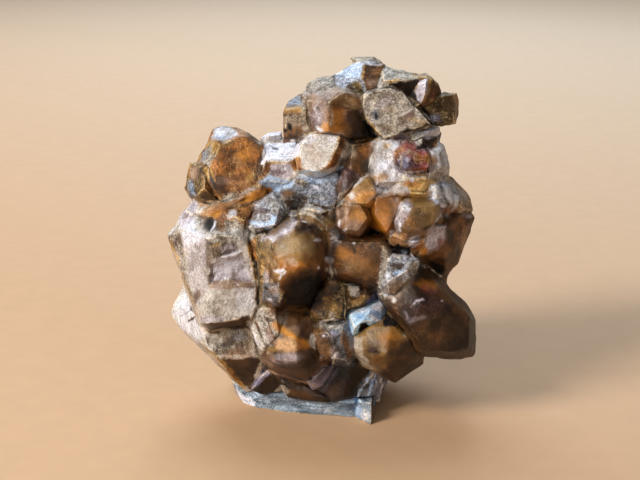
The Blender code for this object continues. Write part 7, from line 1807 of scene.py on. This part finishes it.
def object_from(name, points, triangles, looks=(), material=None):
    """A mesh object in metres, with its looks as attributes of its points: the stone's colour, the
    film's, the state (cover, rough, clear), the body (grit, waxy, gloss), and the place along the
    crystal's own axes."""
    mesh = bpy.data.meshes.new(name)
    mesh.vertices.add(len(points))
    mesh.vertices.foreach_set("co", (points * MM).astype(np.float32).ravel())
    mesh.loops.add(3 * len(triangles))
    mesh.loops.foreach_set("vertex_index", triangles.astype(np.int32).ravel())
    mesh.polygons.add(len(triangles))
    mesh.polygons.foreach_set("loop_start", np.arange(0, 3 * len(triangles), 3, dtype=np.int32))
    mesh.update(calc_edges=True)
    for title, values in zip(LOOKS, looks):
        rgba = np.full((len(points), 4), KNOWN, np.float32)
        rgba[:, :3] = values
        layer = mesh.attributes.new(title, "FLOAT_COLOR", "POINT")
        layer.data.foreach_set("color", rgba.ravel())
    if material:
        mesh.materials.append(material)
    return shown(name, mesh)


def shown(name, mesh):
    """An object of the mesh, in the scene."""
    made = bpy.data.objects.new(name, mesh)
    bpy.context.scene.collection.objects.link(made)
    return made


def carry_looks(mesh):
    """A join makes new points along its seams. Each takes the mean look of its neighbours, round
    after round, until every point has one."""
    count = len(mesh.vertices)
    ends = np.zeros(2 * len(mesh.edges), np.int32)
    mesh.edges.foreach_get("vertices", ends)
    ends = np.concatenate([ends.reshape(-1, 2), ends.reshape(-1, 2)[:, ::-1]])
    for title in LOOKS:
        rgba = np.zeros(4 * count, np.float32)
        layer = mesh.attributes[title]
        layer.data.foreach_get("color", rgba)
        rgba = rgba.reshape(-1, 4)
        known = np.abs(rgba[:, 3] - KNOWN) < KNOWN_WITHIN
        while not known.all():
            reach = ends[known[ends[:, 0]] & ~known[ends[:, 1]]]
            if not len(reach):
                break
            total = np.zeros((count, 4))
            np.add.at(total, reach[:, 1], np.append(rgba[reach[:, 0], :3], np.ones((len(reach), 1)), 1))
            met = total[:, 3] > 0
            rgba[met, :3] = total[met, :3] / total[met, 3:]
            known |= met
        rgba[:, 3] = 1.0
        layer.data.foreach_set("color", rgba.ravel())


def join(name, parts, cutters=()):
    """One object from the union of the parts, less the cutters."""
    base = parts[0]
    groups = []
    for title, operation, members in (("joined", "UNION", parts[1:]), ("cut", "DIFFERENCE", cutters)):
        if not members:
            continue
        group = bpy.data.collections.new(title)
        groups.append(group)
        for member in members:
            group.objects.link(member)
        step = base.modifiers.new(title, "BOOLEAN")
        step.operation = operation
        step.operand_type = "COLLECTION"
        step.collection = group
        step.solver = "MANIFOLD"
    graph = bpy.context.evaluated_depsgraph_get()
    mesh = bpy.data.meshes.new_from_object(base.evaluated_get(graph))
    mesh.name = name
    carry_looks(mesh)
    for group in groups:
        bpy.data.collections.remove(group)
    for part in parts:
        bpy.data.objects.remove(part)
    return shown(name, mesh)


def piece_of(name, bodies, pitch, material, cutters=()):
    """The bodies, meshed, dressed and joined into one piece."""
    parts = [
        object_from(body["name"], *dress(body, *crystal_mesh(body, pitch)), material)
        for body in bodies
    ]
    piece = join(name, parts, cutters)
    print(piece.name, len(piece.data.polygons), "faces")
    return piece

# %% [markdown]
# ## Feldspar
# The pale foot and the loose grains are feldspar, which splits into blocks with stepped, silky
# faces. They are made as the crystals are, from planes. A grown copy of each cuts its pocket in
# the zircon.

# %% Feldspar bodies
FOOT_GAP, GRAIN_GAP = 0.3, 0.06
FELDSPAR_PAINT = {
    "feldspar_foot": "foot", "feldspar_grain_centre": "feldspar", "feldspar_grain_crown": "ivory",
    "feldspar_grain_upper": "white",
}


def block_facets(x, y, length, width, height, turn, splits):
    """Four walls that lean a little, a top that slopes, one corner split away, and the ground."""
    angle = math.radians(turn)
    ahead = np.array([math.cos(angle), math.sin(angle), 0.0])
    beside = np.array([-math.sin(angle), math.cos(angle), 0.0])
    up = np.array([0.0, 0.0, 1.0])
    ground = np.array([x, y, 0.0])
    facets = [(-up, 0.0)]
    for wall, reach in ((ahead, length), (beside, width), (-ahead, length), (-beside, width)):
        lean = splits.uniform(-BLOCK_LEAN, BLOCK_LEAN)
        normal = math.cos(lean) * wall + math.sin(lean) * up
        facets.append((normal, np.dot(ground, wall) * math.cos(lean) + 0.5 * reach))
    slope = splits.uniform(-2 * BLOCK_LEAN, 2 * BLOCK_LEAN, 2)
    top = unit(up + slope[0] * ahead + slope[1] * beside)
    facets.append((top, np.dot(ground + height * up, top)))
    corner = unit(splits.choice((-1, 1)) * ahead + splits.choice((-1, 1)) * beside + up)
    reach = np.dot((0.5 * length, 0.5 * width, height), CORNER_SPLIT)
    facets.append((corner, np.dot(ground, corner) + reach))
    return facets


def body_of(name, facets, grow=0.0):
    """A sliced body without neighbours, its planes moved out by grow."""
    body = {
        "name": name, "facets": [(normal, reach + grow) for normal, reach in facets],
        "neighbours": [], "seed": FIRST_SEED + SEED_STEP * len(crystals),
    }
    set_planes(body)
    slice_body(body)
    return body


splits = np.random.default_rng(SPLIT_SEED)
feldspar = {
    "feldspar_foot": [hull_facets(corners) for corners in (FOOT_FRONT, FOOT_SPUR)]
    + [block_facets(*block, splits) for block in FOOT_BLOCKS],
}
for name, corners in FELDSPAR_GRAINS.items():
    feldspar[name] = [hull_facets(crystal_corners(*corners))]
rocks = {}
for name, bodies in feldspar.items():
    rocks[name] = [body_of(f"{name}_{number}", facets) for number, facets in enumerate(bodies)]
    for body in rocks[name]:
        body["marks"] = FELDSPAR_MARKS
        body["paint"] = np.tile(FINISHES[FELDSPAR_PAINT[name]], (len(body["facets"]), 1))
place_marks(FELDSPAR_MARKS, [body for bodies in rocks.values() for body in bodies])


def pocket_cutter(name, facets, gap):
    """A body grown by the gap, each facet a plain fan of triangles."""
    body = body_of(name, facets, gap)
    triangles = [
        (ring[0], ring[step], ring[step + 1])
        for ring, _ in body["rings"]
        for step in range(1, len(ring) - 1)
    ]
    return object_from(name, body["corners"], np.array(triangles))

# %% [markdown]
# ## Four layers of stone
# Weathered zircon is dull, fresh zircon is waxy because light spreads inside it, a thin clear
# crystal lets it through, and dust or frost lies on top. Each is one plain shader. Sums of sockets
# are written as sums, through a small class, and every other node comes from one method.

# %% Materials
class Value:
    """A number or a colour that varies over a surface: an output of a shader node."""

    def __init__(self, recipe, socket):
        self.recipe, self.socket = recipe, socket

    def math(self, operation, first, second):
        """A Math node on two numbers or values."""
        return self.recipe.node("ShaderNodeMath", {"operation": operation}, {0: first, 1: second})

    def __add__(self, other):
        return self.math("ADD", self, other)

    def __sub__(self, other):
        return self.math("SUBTRACT", self, other)

    def __rsub__(self, other):
        return self.math("SUBTRACT", other, self)

    def __mul__(self, other):
        return self.math("MULTIPLY", self, other)

    __radd__ = __add__
    __rmul__ = __mul__

    def size(self):
        """The distance from nought."""
        return self.math("ABSOLUTE", self, 0.0)

    def clipped(self, low=0.0, high=1.0):
        """Kept from low to high."""
        return self.recipe.node("ShaderNodeClamp", {}, {0: self, 1: low, 2: high})


class Recipe:
    """A material and its nodes."""

    def __init__(self, name):
        self.material = bpy.data.materials.new(name)
        self.material.use_nodes = True
        self.tree = self.material.node_tree
        self.tree.nodes.clear()

    def node(self, kind, settings, sockets, output=0):
        """A node of a kind: its settings first, then its sockets' values or links."""
        made = self.tree.nodes.new(kind)
        for title, value in settings.items():
            setattr(made, title, value)
        for title, value in sockets.items():
            if isinstance(value, Value):
                self.tree.links.new(value.socket, made.inputs[title])
            else:
                made.inputs[title].default_value = value
        return Value(self, made.outputs[output]) if made.outputs else None

    def tinted(self, colour, shade):
        """A colour times a shade of grey."""
        return self.node(
            "ShaderNodeMix", {"data_type": "RGBA", "blend_type": "MULTIPLY"},
            {0: 1.0, 6: colour, 7: shade}, 2)

    def noise(self, size_mm, detail, place):
        """A cloud from 0 to 1, with lumps of a size in millimetres."""
        return self.node(
            "ShaderNodeTexNoise", {},
            {"Vector": place, "Scale": 1.0 / (size_mm * MM), "Detail": detail, "Roughness": 0.6})

    def shader(self, sockets):
        """The one shader that every layer is made of."""
        return self.node("ShaderNodeBsdfPrincipled", {}, sockets)

    def finished(self, surface):
        """The material with that surface."""
        self.node("ShaderNodeOutputMaterial", {}, {"Surface": surface})
        return self.material

# %% [markdown]
# ## The stone
# Mottle, streaks, grains and a net of cracks come from noise, in sizes read off the real stone.
# They darken the stone, make the dust patchy and dent the surface. The mesh says how much of each
# layer there is: the dust's mask is sharpened, so that dust ends in an edge and not in a haze.

# %% Stone
# Sizes in millimetres of the mottle, streaks, grains, cracks' net, small crystals and dents.
MOTTLE, STREAK, GRAIN, NET, TIPS, DENT = 0.6, 0.24, 0.15, 0.9, 0.32, 0.07


def stone(name, ior, glow):
    """Bare stone, waxy stone, clear stone and the film on them, mixed by the looks of the mesh.
    Glow is how far red, green and blue light spread inside it, in millimetres."""
    recipe = Recipe(name)

    def look(title):
        """One of the looks that the mesh carries."""
        return recipe.node("ShaderNodeAttribute", {"attribute_name": title}, {})

    def parts(whole):
        """The three numbers of a look."""
        return (recipe.node("ShaderNodeSeparateColor", {}, {0: whole}, each) for each in range(3))

    def stretched(share):
        """Places along the crystal's axes in metres, drawn out along the first."""
        return recipe.node("ShaderNodeVectorMath", {"operation": "MULTIPLY"},
                           {0: look("grain"), 1: (share * MM, MM, MM)})

    place = recipe.node("ShaderNodeTexCoord", {}, {}, "Object")
    tone, film = look("tone"), look("film")
    cover, rough, clear = parts(look("state"))
    grit, waxy, gloss = parts(look("body"))
    mottle = recipe.noise(MOTTLE, 6.0, stretched(0.4)) - 0.5
    streak = recipe.noise(STREAK, 4.0, stretched(0.12)) - 0.5
    grain = recipe.noise(GRAIN, 5.0, place) - 0.5
    speck = grain + 0.7 * streak
    vein = (recipe.noise(NET, 4.0, stretched(0.5)) - 0.5).size()
    crack = 1.0 - (30.0 * vein).clipped()
    tips = recipe.node(
        "ShaderNodeTexVoronoi", {"distance": "MANHATTAN"},
        {"Vector": place, "Scale": 1.0 / (TIPS * MM)})
    mask = ((cover + grit * (1.7 * speck + 0.9 * mottle)) * 1.5 - 0.4).clipped()
    height = grit * (speck * (0.5 + 0.8 * mask) + mottle * 0.5 - 0.35 * crack) - 0.9 * gloss * tips
    bump = recipe.node(
        "ShaderNodeBump", {}, {"Strength": 0.8, "Distance": DENT * MM, "Height": height})
    shade = 0.98 + grit * (1.5 * mottle + 2.5 * speck - 0.4 * crack)
    bare = recipe.tinted(tone, shade.clipped(0.3, 1.9))
    bare_rough = (rough + 0.25 * grain).clipped()
    dull = recipe.shader({
        "Base Color": bare, "Roughness": bare_rough, "IOR": ior, "Specular IOR Level": 0.12,
        "Normal": bump})
    wax = recipe.shader({
        "Base Color": bare, "Roughness": bare_rough, "IOR": ior, "Specular IOR Level": 0.2,
        "Subsurface Weight": 0.75, "Subsurface Radius": glow, "Subsurface Scale": MM,
        "Normal": bump})
    glass = recipe.shader({
        "Base Color": bare, "Roughness": rough, "IOR": ior, "Transmission Weight": 1.0,
        "Normal": bump})
    dust = recipe.shader({
        "Base Color": recipe.tinted(film, (0.97 + 2.0 * speck - 0.4 * crack).clipped(0.35, 1.2)),
        "Roughness": (0.62 - 0.45 * gloss).clipped(), "IOR": 1.5, "Specular IOR Level": 0.4,
        "Normal": bump})
    layers = dull
    for share, layer in ((waxy, wax), (clear, glass), (mask, dust)):
        layers = recipe.node("ShaderNodeMixShader", {}, {0: share, 1: layers, 2: layer})
    return recipe.finished(layers)


zircon = stone("zircon", 1.92, (0.8, 0.6, 0.4))
feldspar_stone = stone("feldspar", 1.53, (1.0, 1.0, 1.1))
print(len(zircon.node_tree.nodes), "nodes in each stone")

# %% [markdown]
# ## The lobes
# One lobe is what a finger would feel as one knob of crystals. Each is meshed, joined and hung from
# the root, and the CAD node that it takes the place of is hidden.

# %% Build the lobes
pockets = []
for name, bodies in feldspar.items():
    for number, facets in enumerate(bodies):
        gap = FOOT_GAP if name == "feldspar_foot" else GRAIN_GAP
        pockets.append(pocket_cutter(f"{name}_pocket_{number}", facets, gap))
for lobe in [*LOBES, "back"]:
    members = [crystal for crystal in crystals if lobe_of.get(crystal["name"], "back") == lobe]
    pitch = BACK_PITCH if lobe == "back" else FRONT_PITCH
    piece = piece_of("zircon_" + lobe, members, pitch, zircon, pockets)
    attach(piece, "root")
    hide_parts("zircon_crystals")
for name, bodies in rocks.items():
    piece = piece_of(name + "_rock", bodies, FOOT_PITCH, feldspar_stone)
    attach(piece, "root")
    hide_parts(name)
    "feldspar" if name == "feldspar_foot" else "feldspar_grain"
for pocket in pockets:
    bpy.data.objects.remove(pocket)


def shade_smooth(mesh):
    """Every face smooth."""
    mesh.polygons.foreach_set("use_smooth", np.ones(len(mesh.polygons), bool))


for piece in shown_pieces():
    shade_smooth(piece.data)
    piece.data.set_sharp_from_angle(angle=math.radians(35))

# %% [markdown]
# ## A plain studio
# A warm sheet of paper bends up behind the stone. A window shines from the left, the sky from
# above and behind, and a weak light fills the front. The camera stands at the eye.

# %% Floor, light and camera
FLOOR_HALF, FLOOR_BEFORE, FLOOR_BEHIND = 0.9, 0.9, 0.5
WALL_BEND, WALL_HIGH = 0.25, 0.7
BEND_STEPS = 24
# The paper's colour in painted shade and in painted light.
SHADOW_PAPER, LIT_PAPER = (0.58, 0.36, 0.20, 1.0), (0.84, 0.66, 0.48, 1.0)


def backdrop():
    """A profile carried sideways: flat floor, a quarter of a circle, and a wall."""
    bend = np.linspace(0, math.pi / 2, BEND_STEPS)
    wall_at = FLOOR_BEHIND + WALL_BEND
    y = np.concatenate([[-FLOOR_BEFORE], FLOOR_BEHIND + WALL_BEND * np.sin(bend), [wall_at]])
    z = np.concatenate([[0.0], WALL_BEND * (1 - np.cos(bend)), [WALL_HIGH]])
    x = np.array([-FLOOR_HALF, FLOOR_HALF])
    count = len(y)
    points = np.stack([np.repeat(x, count), np.tile(y, 2), np.tile(z, 2)], axis=1)
    at = np.arange(count - 1)
    quads = np.stack([at, at + count, at + count + 1, at + 1], axis=1)
    triangles = np.concatenate([quads[:, :3], quads[:, [0, 2, 3]]])
    return points / MM, triangles


paper = Recipe("backdrop")
place = paper.node("ShaderNodeTexCoord", {}, {}, "Object")
fibre = paper.noise(3.0, 3.0, place)
beside, behind = (paper.node("ShaderNodeSeparateXYZ", {}, {0: place}, axis) for axis in (0, 1))
# Painted shade and light: the paper has its shaded colour at the front and the left, and turns to its lit
# colour behind and to the right.
paper_shade_and_light = paper.node(
    "ShaderNodeMix", {"data_type": "RGBA"},
    {0: (2.6 * behind + 2.5 * beside).clipped(), 6: SHADOW_PAPER, 7: LIT_PAPER}, 2)
colour = paper.tinted(paper_shade_and_light, 0.94 + 0.12 * fibre)
card = paper.finished(paper.shader({"Base Color": colour, "Roughness": 0.8}))
floor = object_from("floor", *backdrop(), material=card)
shade_smooth(floor.data)

# %% Lights
AIM = Vector((0.0, 0.0, 0.018))


def softbox(name, place, size, watts, colour):
    """A square light at a place in metres, turned to the middle of the cluster."""
    lamp = bpy.data.lights.new(name, "AREA")
    lamp.size, lamp.energy, lamp.color = size, watts, colour
    made = shown(name, lamp)
    made.location = place
    made.rotation_euler = (AIM - made.location).to_track_quat("-Z", "Y").to_euler()


softbox("window", (-0.30, -0.18, 0.26), 0.14, 1.9, (1.0, 0.97, 0.93))
softbox("skylight", (-0.05, 0.26, 0.36), 0.30, 1.7, (0.72, 0.85, 1.0))
softbox("front_fill", (-0.1, -0.5, 0.2), 0.4, 0.7, (1.0, 0.94, 0.88))

world = bpy.data.worlds.new("room")
world.use_nodes = True
world.node_tree.nodes["Background"].inputs["Color"].default_value = (0.9, 0.92, 1.0, 1.0)
world.node_tree.nodes["Background"].inputs["Strength"].default_value = 0.12
bpy.context.scene.world = world
print(len(bpy.data.lights), "lights")

# %% Camera
LENS_MM, SENSOR_MM = 69.75, 36.0
camera = bpy.data.cameras.new("camera")
camera.lens, camera.sensor_width = LENS_MM, SENSOR_MM
camera.clip_start, camera.clip_end = 0.01, 10.0
camera_object = shown("camera", camera)
camera_object.matrix_world = Matrix.Translation(Vector(EYE * MM)) @ Matrix(
    np.stack([PLATE_RIGHT, PLATE_UP, PLATE_OUT], axis=1).tolist()).to_4x4()
bpy.context.scene.camera = camera_object
bpy.context.scene.view_settings.view_transform = "Standard"
print("camera at", [round(side, 1) for side in EYE], "mm")
